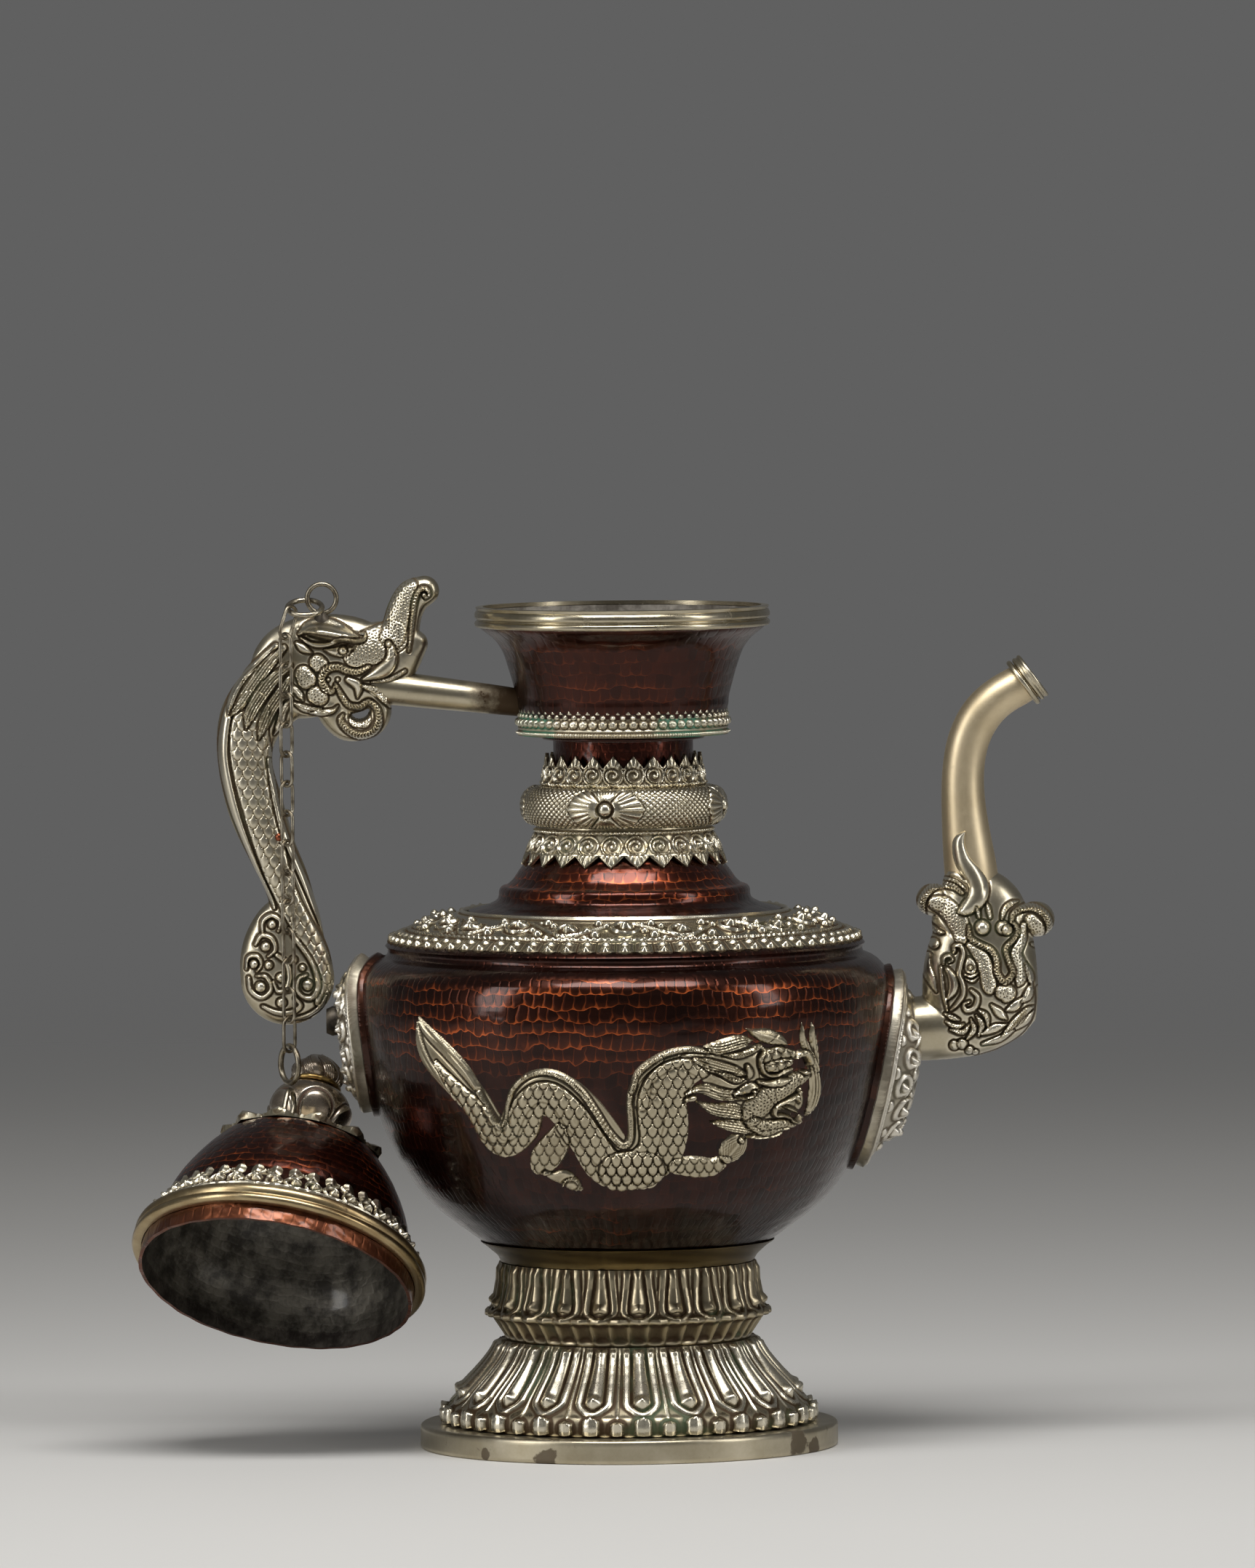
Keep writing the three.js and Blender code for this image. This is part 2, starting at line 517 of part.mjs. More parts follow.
function lotusTier(shares, reliefShares, radius, height, z) {
  const outer = sized(shares, radius, height, z);
  const inner = [outer[outer.length - 1], outer[0]].map(([r, up]) => [r - LOTUS_WALL, up]);
  return turned([...outer, ...inner], PETAL_COUNT * PETAL_STEPS, (row, turn) => {
    const crest = turn % PETAL_STEPS === 0 ? 1 : -0.5;
    return [row < outer.length ? PETAL_RELIEF * reliefShares[row] * crest : 0, 0];
  });
}

piece('foot_lotus_lower', lotusTier(
  LOTUS_LOWER_SHARES, LOTUS_LOWER_RELIEF_SHARES, LOTUS_LOWER_RADIUS, LOTUS_LOWER_HEIGHT, LOTUS_LOWER_Z,
), WHITE_METAL);
piece('foot_lotus_upper', lotusTier(
  LOTUS_UPPER_SHARES, LOTUS_UPPER_RELIEF_SHARES, LOTUS_UPPER_RADIUS, LOTUS_UPPER_HEIGHT, LOTUS_UPPER_Z,
), WHITE_METAL);

const bodyOutline = sized(BODY_SHARES, BODY_RADIUS, BODY_HEIGHT, BODY_Z);
const shoulderOutline = sized(SHOULDER_SHARES, BODY_RADIUS, SHOULDER_RISE, RIDGE_Z);
const [cradleCorner, cradleLip] = offset(bodyOutline, SEAT_GAP).slice(1, 3);
const collarRadius = cradleLip[0] + FOOT_COLLAR_EDGE;
const collarOutline = sized(FOOT_COLLAR_SHARES, collarRadius, cradleLip[1] - FOOT_COLLAR_Z, FOOT_COLLAR_Z);
piece('foot_collar', turned([
  ...collarOutline, cradleLip, cradleCorner,
  [FOOT_SHELF_RADIUS, cradleCorner[1]], [FOOT_SHELF_RADIUS, FOOT_COLLAR_Z],
], BODY_STEPS), WHITE_METAL);

// Body: a raised bowl of a dish, a wall and a shoulder plate, open to the neck above
function grownBody(clearance) {
  return filled(offset([...bodyOutline, ...shoulderOutline], clearance), BODY_STEPS);
}

const channelStart = BODY_RADIUS - OVERRUN;
const spoutChannel = bar(
  SPOUT_BORE_RADIUS, SPOUT_CHANNEL_X - channelStart, BORE_STEPS, 'x',
  (SPOUT_CHANNEL_X + channelStart) / 2, 0, SPOUT_STUB_Z,
);
const bowl = solid(turned(walled([...bodyOutline, ...shoulderOutline], SHEET, BODY_INNER_ROWS), BODY_STEPS));
const [baseSeam, topSeam] = [BASE_SEAM_SHARE, TOP_SEAM_SHARE].map((share) => BODY_Z + share * BODY_HEIGHT);
const [below, above] = [[0, 0, -1], [0, 0, 1]];
const wallAndPlate = bowl.trimByPlane(above, baseSeam + SEAT_GAP);
piece('vessel_base', bowl.trimByPlane(below, -baseSeam), COPPER);
piece('vessel_body', wallAndPlate.trimByPlane(below, -topSeam).subtract(spoutChannel), COPPER);
piece('shoulder_plate', bowl.trimByPlane(above, topSeam + SEAT_GAP), COPPER);

// Shoulder ornament: a ring of leaves laid on the shoulder
const ornamentSeat = offset([...bodyOutline.slice(-1), ...shoulderOutline.slice(0, 4)], SEAT_GAP).slice(1);
const ornamentHeights = ORNAMENT_SHARES.map((share) => share * ORNAMENT_HEIGHT);
const ornamentTop = ornamentSeat.map(([r, z], i) => [r, z + ornamentHeights[i]]);
const ornamentOutline = [...ornamentTop, ...[...ornamentSeat].reverse()];
piece('shoulder_ornament', turned(ornamentOutline, ORNAMENT_LEAVES * 2, (row, turn) => {
  const atEdge = row === 0 || row === ornamentOutline.length - 1;
  return [atEdge && turn % 2 === 0 ? ORNAMENT_TIP : 0, 0];
}), WHITE_METAL);

// Neck: a cone on the shoulder that draws in to a tube
const coneOutline = sized(CONE_SHARES, NECK_FOOT_RADIUS, NECK_CONE_HEIGHT, NECK_Z);
const tubeFoot = [NECK_TUBE_RADIUS, NECK_Z + NECK_CONE_HEIGHT];
const neckOutline = [
  [NECK_FOOT_RADIUS, NECK_Z], ...coneOutline, tubeFoot, [NECK_TUBE_RADIUS, NECK_Z + NECK_HEIGHT],
];
const neckWall = walled(neckOutline, SHEET, NECK_INNER_ROWS);
const neckMouth = neckWall[neckWall.length - 1][0];
piece('neck_cone', turned([...neckWall, [neckMouth, NECK_Z]], NECK_STEPS), COPPER);

// Leaves cut into one edge of a collar
function leaved(outline, edgeRow, edge, drop) {
  return turned(outline, COLLAR_LEAVES * 2, (row, turn) => {
    const atEdge = row === edgeRow || row === edge;
    return [0, atEdge && turn % 2 === 1 ? drop : 0];
  });
}

const sleeveRadius = NECK_TUBE_RADIUS + SEAT_GAP;
const [collarFoot, collarBend] = offset(coneOutline.slice(CONE_STEP), SEAT_GAP);
const lowerCollarZ = collarFoot[1];
const lowerCollar = sized(LOWER_COLLAR_SHARES, collarFoot[0], LOWER_COLLAR_HEIGHT, lowerCollarZ);
const lowerCollarTop = lowerCollarZ + LOWER_COLLAR_HEIGHT;
piece('neck_collar_lower', leaved(
  [
    ...lowerCollar, [sleeveRadius, lowerCollarTop], [sleeveRadius, tubeFoot[1] + SEAT_GAP],
    collarBend, collarFoot,
  ], 0, lowerCollar.length + 3, LEAF_HEIGHT / 2,
), WHITE_METAL);

const knopZ = lowerCollarTop + SEAT_GAP;
piece('neck_knop', turned([
  ...sized(KNOP_SHARES, KNOP_RADIUS, KNOP_HEIGHT, knopZ),
  [sleeveRadius, knopZ + KNOP_HEIGHT], [sleeveRadius, knopZ],
], NECK_STEPS), WHITE_METAL);

const upperCollarZ = knopZ + KNOP_HEIGHT + SEAT_GAP;
const upperCollar = sized(UPPER_COLLAR_SHARES, UPPER_COLLAR_RADIUS, UPPER_COLLAR_HEIGHT, upperCollarZ);
piece('neck_collar_upper', leaved(
  [...upperCollar, [sleeveRadius, upperCollarZ + UPPER_COLLAR_HEIGHT], [sleeveRadius, upperCollarZ]],
  upperCollar.length - 1, upperCollar.length, -LEAF_HEIGHT,
), WHITE_METAL);

// Mouth: a flange on the tube, the flared cup, its bead band and its rim
const tubeBore = NECK_TUBE_RADIUS - SHEET;
piece('neck_flange', turned([
  [NECK_FLANGE_RADIUS, NECK_FLANGE_Z], [NECK_FLANGE_RADIUS, NECK_FLANGE_Z + NECK_FLANGE_HEIGHT],
  [tubeBore, NECK_FLANGE_Z + NECK_FLANGE_HEIGHT], [tubeBore, NECK_FLANGE_Z],
], NECK_STEPS), COPPER);

const bandTop = CUP_Z + BEAD_BAND_HEIGHT;
const cupOutline = [
  [CUP_SEAT_RADIUS, CUP_Z], [CUP_SEAT_RADIUS, bandTop + SEAT_GAP],
  ...sized(CUP_SHARES, CUP_MOUTH_RADIUS, CUP_HEIGHT, CUP_Z),
];
const cupWall = walled([[tubeBore, CUP_Z], ...cupOutline], SHEET, CUP_INNER_ROWS);
piece('mouth_cup', turned(cupWall, BODY_STEPS), COPPER);

const bandOutline = sized(BEAD_BAND_SHARES, BEAD_BAND_RADIUS, BEAD_BAND_HEIGHT, CUP_Z);
const bandSeat = CUP_SEAT_RADIUS + SEAT_GAP;
piece('bead_band', turned([...bandOutline, [bandSeat, bandTop], [bandSeat, CUP_Z]], BODY_STEPS), WHITE_METAL);

const rimSeat = CUP_MOUTH_RADIUS + SEAT_GAP;
const mouthRadius = CUP_MOUTH_RADIUS - SHEET;
const rimTop = RIM_Z + RIM_HEIGHT;
piece('rim_ring', turned([
  ...sized(RIM_SHARES, RIM_RADIUS, RIM_HEIGHT, RIM_Z),
  [mouthRadius, rimTop], [mouthRadius, rimTop - RIM_CAP], [rimSeat, rimTop - RIM_CAP], [rimSeat, RIM_Z],
], BODY_STEPS), WHITE_METAL);

// A back plate and a stepped boss on the side of the body, facing +X
const seatOnBody = grownBody(SEAT_GAP);
const seatOnPlate = grownBody(SEAT_GAP + BACK_PLATE + SEAT_GAP);

function backPlate(halfWidth, halfHeight, z) {
  return ovalBar(halfWidth, halfHeight, z).intersect(grownBody(SEAT_GAP + BACK_PLATE)).subtract(seatOnBody);
}

function boss(halfWidth, halfHeight, z, height) {
  const [width, tall] = [halfWidth - PLATE_MARGIN, halfHeight - PLATE_MARGIN];
  const border = ovalBar(width, tall, z).intersect(grownBody(PLATE_BORDER + BACK_PLATE));
  const middle = ovalBar(width * BOSS_SHARE, tall * BOSS_SHARE, z).intersect(grownBody(height));
  return border.add(middle).subtract(seatOnPlate);
}

piece('spout_back_plate', backPlate(
  SPOUT_PLATE_HALF_WIDTH, SPOUT_PLATE_HALF_HEIGHT, SPOUT_PLATE_Z,
).subtract(spoutChannel), COPPER);
piece('spout_medallion', boss(
  SPOUT_PLATE_HALF_WIDTH, SPOUT_PLATE_HALF_HEIGHT, SPOUT_PLATE_Z, SPOUT_BOSS,
).subtract(spoutChannel), WHITE_METAL);
piece('handle_back_plate', backPlate(
  HANDLE_PLATE_HALF_WIDTH, HANDLE_PLATE_HALF_HEIGHT, HANDLE_PLATE_Z,
), COPPER).rotation.z = Math.PI;
piece('handle_medallion', boss(
  HANDLE_PLATE_HALF_WIDTH, HANDLE_PLATE_HALF_HEIGHT, HANDLE_PLATE_Z, HANDLE_BOSS,
), WHITE_METAL).rotation.z = Math.PI;

// Spout: a makara head on a stub that breathes out a bent pipe
const pipeCourse = stations(PIPE_SHARES, SPOUT_X, SPOUT_Z, SPOUT_HEIGHT);
const pipe = solid(lofted(pipeCourse, PIPE_SIDES));
const pipeBore = solid(lofted(grown(pipeCourse, -SPOUT_WALL, OVERRUN), PIPE_SIDES));
const pipeSocket = solid(lofted(grown(pipeCourse, SEAT_GAP), PIPE_SIDES));
piece('spout_pipe', pipe.subtract(pipeBore), WHITE_METAL);

// A lump with a flat oval section, both sides of a head alike
function lump([along, up, size, deep], x, z, height, depth) {
  return bar(size * height, 2 * deep * depth, LUMP_STEPS, 'y', x + along * height, 0, z + up * height);
}

function spoutTusk(side) {
  const course = stations(TUSK_SHARES, SPOUT_X, SPOUT_Z, SPOUT_HEIGHT, SPOUT_DEPTH, side * TUSK_OFFSET);
  return solid(lofted(course, LUMP_SIDES));
}

const stubEnd = SPOUT_X + SPOUT_STUB_RADIUS;
const spoutStub = bar(
  SPOUT_STUB_RADIUS, stubEnd - BODY_RADIUS, PLATE_STEPS, 'x', (stubEnd + BODY_RADIUS) / 2, 0, SPOUT_STUB_Z,
);
const bendTop = pipeCourse[0].z + OVERRUN;
const bend = bar(
  SPOUT_BORE_RADIUS, bendTop - SPOUT_STUB_Z + SPOUT_BORE_RADIUS, BORE_STEPS, 'z',
  SPOUT_CHANNEL_X, 0, (bendTop + SPOUT_STUB_Z - SPOUT_BORE_RADIUS) / 2,
);
const spoutHead = [
  solid(lofted(stations(SPOUT_HEAD_SHARES, SPOUT_X, SPOUT_Z, SPOUT_HEIGHT, SPOUT_DEPTH), HEAD_SIDES)),
  spoutStub, spoutTusk(-1), spoutTusk(1),
  ...[...SPOUT_EAR_SHARES, SPOUT_EYE_SHARES].map((at) => (
    lump(at, SPOUT_X, SPOUT_Z, SPOUT_HEIGHT, SPOUT_DEPTH)
  )),
].reduce((head, part) => head.add(part));
piece('spout_head', spoutHead
  .subtract(pipeSocket)
  .subtract(spoutChannel)
  .subtract(bend)
  .subtract(grownBody(SPOUT_BOSS + SEAT_GAP)), WHITE_METAL);

// The ring and the lipped cap on the end of the pipe
const [pipeBend, pipeEnd] = pipeCourse.slice(-2);
const tipLean = Math.atan2(pipeEnd.x - pipeBend.x, pipeEnd.z - pipeBend.z);
const tipSeat = pipeEnd.half + SEAT_GAP;

function onTip(name, radius, height, back) {
  const ring = piece(name, turned([
    [radius - TIP_EDGE, 0], [radius, TIP_EDGE], [radius, height - TIP_EDGE], [radius - TIP_EDGE, height],
    [tipSeat, height], [tipSeat, 0],
  ], TIP_STEPS), WHITE_METAL);
  ring.position.set(pipeEnd.x - back * Math.sin(tipLean), 0, pipeEnd.z - back * Math.cos(tipLean));
  ring.rotation.y = tipLean;
}

onTip('spout_tip_cap', SPOUT_CAP_RADIUS, SPOUT_CAP, SPOUT_CAP - TIP_EDGE);
onTip('spout_tip_ring', SPOUT_RING_RADIUS, SPOUT_RING, SPOUT_CAP - TIP_EDGE + SEAT_GAP + SPOUT_RING);

// A place on the handle
function onHandle([along, up]) {
  return [HANDLE_X + along * HANDLE_HEIGHT, HANDLE_Z + up * HANDLE_HEIGHT];
}

// Handle: a makara head that swallows the strut, on a grip that ends in a bulb
const gripCourse = stations(GRIP_SHARES, HANDLE_X, HANDLE_Z, HANDLE_HEIGHT, HANDLE_DEPTH);
const [strutStartX, strutStartZ] = onHandle(STRUT_START_SHARES);
const strutCourse = [
  { x: strutStartX, y: 0, z: strutStartZ, half: STRUT_START_RADIUS, deep: STRUT_START_RADIUS },
  { x: -CUP_SEAT_RADIUS, y: 0, z: CUP_Z + STRUT_RISE, half: STRUT_END_RADIUS, deep: STRUT_END_RADIUS },
];
const grip = solid(lofted(gripCourse, PIPE_SIDES));
const gripSeat = solid(lofted(grown(gripCourse, SEAT_GAP), PIPE_SIDES));
const [rivetX, rivetZ] = onHandle(RIVET_SHARES);
const rivetFace = RIVET_SHARES[2] * HANDLE_DEPTH;
const rivet = bar(RIVET_RADIUS, RIVET_HEIGHT + RIVET_HEIGHT, LUMP_STEPS, 'y', rivetX, -rivetFace, rivetZ);
piece('handle_grip', grip, WHITE_METAL);
piece('handle_rivet', rivet.subtract(gripSeat), COPPER);

const [eyeX, eyeFootZ] = onHandle(EYE_SEAT_SHARES);
const eyeZ = eyeFootZ + EYE_FOOT + EYE_RADIUS;

function eyeRing(wire) {
  const ring = new THREE.TorusGeometry(EYE_RADIUS, wire, LINK_SIDES, RING_STEPS);
  return ring.rotateX(Math.PI / 2).translate(eyeX, -EYE_SIDE, eyeZ);
}

piece('handle_eye', eyeRing(EYE_WIRE), WIRE);

function headForm(shares, sides, y = 0) {
  return solid(lofted(stations(shares, HANDLE_X, HANDLE_Z, HANDLE_HEIGHT, HANDLE_DEPTH, y), sides));
}

const solder = bar(EYE_FOOT_RADIUS, EYE_FOOT, LUMP_STEPS, 'z', eyeX, -EYE_SIDE, eyeFootZ + EYE_FOOT / 2);
const handleHead = [
  solder,
  headForm(HEAD_SHARES, HEAD_SIDES), headForm(TRUNK_SHARES, PIPE_SIDES), headForm(CHIN_SHARES, LUMP_STEPS),
  headForm(BROW_SHARES, LUMP_SIDES, -BROW_OFFSET), headForm(BROW_SHARES, LUMP_SIDES, BROW_OFFSET),
  ...[EYE_SHARES, TRUNK_CURL_SHARES].map((at) => lump(at, HANDLE_X, HANDLE_Z, HANDLE_HEIGHT, HANDLE_DEPTH)),
].reduce((head, part) => head.add(part));
piece('handle_head', handleHead
  .subtract(gripSeat)
  .subtract(solid(lofted(grown(strutCourse, SEAT_GAP), PIPE_SIDES)))
  .subtract(solid(eyeRing(EYE_WIRE + SEAT_GAP))), WHITE_METAL);

piece('handle_strut', solid(lofted(strutCourse, PIPE_SIDES))
  .subtract(filled(offset(cupOutline, SEAT_GAP), BODY_STEPS))
  .subtract(filled([...offset(bandOutline, SEAT_GAP), [bandSeat, bandTop + SEAT_GAP]], BODY_STEPS)),
WHITE_METAL);

const stubMiddle = HANDLE_X + HANDLE_STUB_REACH / 2 - OVERRUN;
const handleStub = bar(HANDLE_STUB_RADIUS, HANDLE_STUB_REACH, LUMP_STEPS, 'x', stubMiddle, 0, HANDLE_STUB_Z)
  .subtract(gripSeat)
  .subtract(grownBody(HANDLE_BOSS + SEAT_GAP));
piece('handle_stub', handleStub, WHITE_METAL);

// Dragons: one on each broad side of the body
function dragonBlank() {
  const outline = DRAGON_SHARES.map(([along, up]) => new THREE.Vector2(
    (DRAGON_LEFT_SHARE + along * DRAGON_LENGTH_SHARE) * BODY_RADIUS,
    BODY_Z + (DRAGON_RISE_SHARE + up * DRAGON_HEIGHT_SHARE) * BODY_HEIGHT,
  ));
  const depth = BODY_RADIUS + DRAGON_RELIEF + OVERRUN;
  const blank = new THREE.ExtrudeGeometry(new THREE.Shape(outline), { depth, bevelEnabled: false });
  return solid(blank.rotateX(Math.PI / 2));
}

const dragon = dragonBlank().intersect(grownBody(SEAT_GAP + DRAGON_RELIEF)).subtract(seatOnBody);
piece('dragon_front', dragon, WHITE_METAL);
piece('dragon_back', dragon, WHITE_METAL).rotation.z = Math.PI;

// Chain: a ring through the eye, long links set crosswise, and the ring that holds the lid
const down = new THREE.Vector3(0, 0, -1);
const topRing = piece('top_ring', new THREE.TorusGeometry(
  TOP_RING_RADIUS, TOP_RING_WIRE, LINK_SIDES, RING_STEPS,
), WIRE);
topRing.position.set(eyeX - TOP_RING_OUT, -EYE_SIDE - TOP_RING_SIDE, eyeZ - TOP_RING_DROP);
topRing.rotation.x = TOP_RING_TILT;
const hook = new THREE.Vector3(Math.cos(TOP_RING_HOOK), -Math.sin(TOP_RING_HOOK), 0)
  .multiplyScalar(TOP_RING_RADIUS)
  .applyEuler(topRing.rotation)
  .add(topRing.position);

// Lay a link with the wire of its upper bend on a place; returns where the wire of the lower bend hangs
function layLink(index, top, lean) {
  const turn = index % 2 === 1 ? LINK_TURN : -LINK_TURN;
  const link = piece(`chain_link_${String(index).padStart(2, '0')}`, linkShape(), WIRE);
  link.rotation.set(-lean, 0, turn - Math.PI / 2, 'ZYX');
  const along = down.clone().applyEuler(link.rotation);
  link.position.copy(top).addScaledVector(along, LINK_LENGTH / 2 - LINK_WIRE);
  return link.position.clone().addScaledVector(along, linkDraw).addScaledVector(down, bendRadius);
}

const firstLean = new THREE.Euler(-FIRST_LINK_LEAN, 0, LINK_TURN - Math.PI / 2, 'ZYX');
const firstAlong = down.clone().applyEuler(firstLean);
const firstTop = hook.clone().addScaledVector(firstAlong, -(TOP_RING_WIRE + LINK_WIRE + CROSS_GAP));
let hangPlace = layLink(1, firstTop, FIRST_LINK_LEAN);
for (let index = 2; index <= LINK_COUNT; index += 1) {
  const gap = index === 2 ? CROSS_GAP : SEAT_GAP;
  hangPlace = layLink(index, hangPlace.clone().addScaledVector(down, -(LINK_WIRE + LINK_WIRE + gap)), 0);
}

const lidRingTop = hangPlace.clone().addScaledVector(down, -(LINK_WIRE + LID_RING_WIRE + SEAT_GAP));
const lidRing = piece('lid_ring', standingRing(LID_RING_RADIUS, LID_RING_WIRE, RING_STEPS), WIRE);
lidRing.rotation.z = LID_RING_TURN - Math.PI / 2;
lidRing.position.copy(lidRingTop).addScaledVector(down, LID_RING_RADIUS);
const lidRingFoot = lidRingTop.clone().addScaledVector(down, LID_RING_RADIUS + LID_RING_RADIUS);

// Lid: it hangs from its staple with its centre of gravity straight below
const staplePlace = lidRingFoot.clone().addScaledVector(down, -(LID_RING_WIRE + STAPLE_WIRE + CROSS_GAP));
const archHeight = STAPLE_TOP - STAPLE_ARCH;
const lidTilt = Math.atan2(STAPLE_RADIUS, archHeight - LID_BALANCE);
const away = new THREE.Vector3(Math.sin(LID_TURN), Math.cos(LID_TURN), 0);
const lidUp = away.clone().multiplyScalar(Math.sin(lidTilt)).addScaledVector(down, -Math.cos(lidTilt));
const lidOut = away.clone().multiplyScalar(-Math.cos(lidTilt)).addScaledVector(down, -Math.sin(lidTilt));
const lidSide = new THREE.Vector3().crossVectors(lidUp, lidOut);
const lid = new THREE.Group();
lid.quaternion.setFromRotationMatrix(new THREE.Matrix4().makeBasis(lidOut, lidSide, lidUp));
lid.position.copy(staplePlace).addScaledVector(down, STAPLE_ARCH);
lid.position.addScaledVector(lidUp, -archHeight).addScaledVector(lidOut, -STAPLE_RADIUS);
ewer.add(lid);

const skirtRadius = mouthRadius - LID_CLEARANCE;
const lidOutline = sized(LID_SHARES, skirtRadius, LID_HEIGHT);
piece('lid_shell', turned(walled(lidOutline, LID_SHEET, LID_INNER_ROWS), LID_STEPS), COPPER, lid);

const lidSeat = skirtRadius + SEAT_GAP;
piece('lid_rim_ring', turned([
  ...sized(LID_RIM_SHARES, LID_RIM_RADIUS, LID_RIM_HEIGHT, LID_SKIRT_DEPTH),
  [lidSeat, LID_SKIRT_DEPTH + LID_RIM_HEIGHT], [lidSeat, LID_SKIRT_DEPTH],
], LID_STEPS), WHITE_METAL, lid);

const bandCourse = lidOutline.slice(...LID_BAND_STEPS);
const scrollSeat = offset(bandCourse, SEAT_GAP);
piece('lid_scroll_band', turned([
  ...offset(bandCourse, SEAT_GAP + LID_SCROLL_RELIEF), ...[...scrollSeat].reverse(),
], LID_STEPS), WHITE_METAL, lid);

const plateCourse = lidOutline.slice(...LID_PLATE_STEPS);
const plateTop = offset(plateCourse, SEAT_GAP + MOUNT_SHEET);
const plateSeat = offset(plateCourse, SEAT_GAP);

// Turned with leaf tips drawn out of the rows that lie on its edge
function leafTurned(outline, edgeRows) {
  return turned(outline, LID_LEAVES * LEAF_STEPS, (row, turn) => (
    [edgeRows.includes(row) && turn % LEAF_STEPS === 0 ? LID_LEAF_TIP : 0, 0]
  ));
}

const leafPlate = [...plateTop, ...[...plateSeat].reverse()];
piece('lid_leaf_plate', leafTurned(leafPlate, [0, leafPlate.length - 1]), WHITE_METAL, lid);

const knobFoot = LID_HEIGHT + SEAT_GAP;
const knobTop = knobFoot + KNOB_HEIGHT;
const knobOutline = sized(KNOB_SHARES, KNOB_RADIUS, KNOB_HEIGHT, knobFoot);
piece('lid_knob', filled(knobOutline, NECK_STEPS), WHITE_METAL, lid);
const knobRingFoot = knobTop + SEAT_GAP;
piece('lid_knob_ring', filled([
  [KNOB_RING_RADIUS, knobRingFoot], [KNOB_RING_RADIUS, knobRingFoot + KNOB_RING],
], PLATE_STEPS), BRASS, lid);
const budFoot = knobRingFoot + KNOB_RING + SEAT_GAP;
piece('lid_bud', turned([
  [0, budFoot], ...sized(BUD_SHARES, BUD_RADIUS, BUD_HEIGHT, budFoot), [0, budFoot + BUD_HEIGHT],
], PLATE_STEPS), WHITE_METAL, lid);

// Staple: a wire arch that stands on the leaf plate
const archTurns = [0, 30, 60, 90, 120, 150, 180].map((turn) => THREE.MathUtils.degToRad(turn));
const arch = archTurns.map((turn) => new THREE.Vector3(
  STAPLE_RADIUS + STAPLE_ARCH * Math.cos(turn), 0, archHeight + STAPLE_ARCH * Math.sin(turn),
));
const stapleSeat = offset(plateCourse, SEAT_GAP + MOUNT_SHEET + SEAT_GAP);
const legs = [STAPLE_ARCH, -STAPLE_ARCH].map((out) => (
  new THREE.Vector3(STAPLE_RADIUS + out, 0, stapleSeat[0][1] + SEAT_GAP)
));
const staplePath = new THREE.CatmullRomCurve3([legs[0], ...arch, legs[1]], false, 'centripetal');
const stapleCircle = new THREE.EllipseCurve(0, 0, STAPLE_WIRE, STAPLE_WIRE);
const stapleSection = new THREE.Shape(stapleCircle.getPoints(LINK_SIDES));
const staple = new THREE.ExtrudeGeometry(stapleSection, {
  steps: STAPLE_STEPS, extrudePath: staplePath, bevelEnabled: false,
});
const stapleCut = [[0, stapleSeat[0][1]], ...stapleSeat, [0, stapleSeat[stapleSeat.length - 1][1]]];
piece('lid_staple', solid(staple).subtract(solid(leafTurned(stapleCut, [1]))), WIRE, lid);

// The part's origin stands under the middle of its overall box
ewer.updateMatrixWorld(true);
const reach = new THREE.Box3().setFromObject(ewer, true);
ewer.position.x = -(reach.min.x + reach.max.x) / 2;
ewer.position.y = -(reach.min.y + reach.max.y) / 2;

export default ewer;
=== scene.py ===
"""Looks of a lidded ewer in hammered copper and white metal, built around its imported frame."""
import json
import logging
import math
from dataclasses import dataclass, field
from enum import Enum
from typing import Any, Callable, Sequence

import bpy
import numpy as np
from mathutils import Euler, Matrix, Vector

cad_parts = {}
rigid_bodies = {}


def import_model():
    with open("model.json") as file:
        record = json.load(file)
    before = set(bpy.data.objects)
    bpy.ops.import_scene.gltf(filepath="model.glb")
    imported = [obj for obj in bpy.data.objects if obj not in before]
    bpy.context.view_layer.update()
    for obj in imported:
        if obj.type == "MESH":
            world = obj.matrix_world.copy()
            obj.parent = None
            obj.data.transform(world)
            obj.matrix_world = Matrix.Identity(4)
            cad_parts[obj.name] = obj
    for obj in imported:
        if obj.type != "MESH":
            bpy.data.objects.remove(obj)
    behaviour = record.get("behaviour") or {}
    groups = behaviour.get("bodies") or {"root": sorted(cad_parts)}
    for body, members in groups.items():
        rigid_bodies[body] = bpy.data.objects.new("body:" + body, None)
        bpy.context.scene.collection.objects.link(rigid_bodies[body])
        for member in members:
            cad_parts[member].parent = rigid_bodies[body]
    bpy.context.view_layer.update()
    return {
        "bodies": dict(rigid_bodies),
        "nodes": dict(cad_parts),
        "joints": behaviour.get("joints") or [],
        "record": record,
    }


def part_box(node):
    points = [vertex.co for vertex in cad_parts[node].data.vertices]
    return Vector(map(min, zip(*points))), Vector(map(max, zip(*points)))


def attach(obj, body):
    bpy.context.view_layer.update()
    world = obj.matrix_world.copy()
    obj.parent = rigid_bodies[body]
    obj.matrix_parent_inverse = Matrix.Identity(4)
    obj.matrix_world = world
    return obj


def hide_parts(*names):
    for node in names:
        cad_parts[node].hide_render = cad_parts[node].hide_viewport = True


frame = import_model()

LOG = logging.getLogger("ewer")
MM = 0.001
TURN = 2 * math.pi
Grid = np.ndarray
Tone = tuple[float, float, float, float]
Outline = Sequence[tuple[float, float]]


class Slot(Enum):
    """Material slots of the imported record."""

    COPPER = "copper"
    WHITE_METAL = "white_metal"
    BRASS = "brass"
    WIRE = "wire"


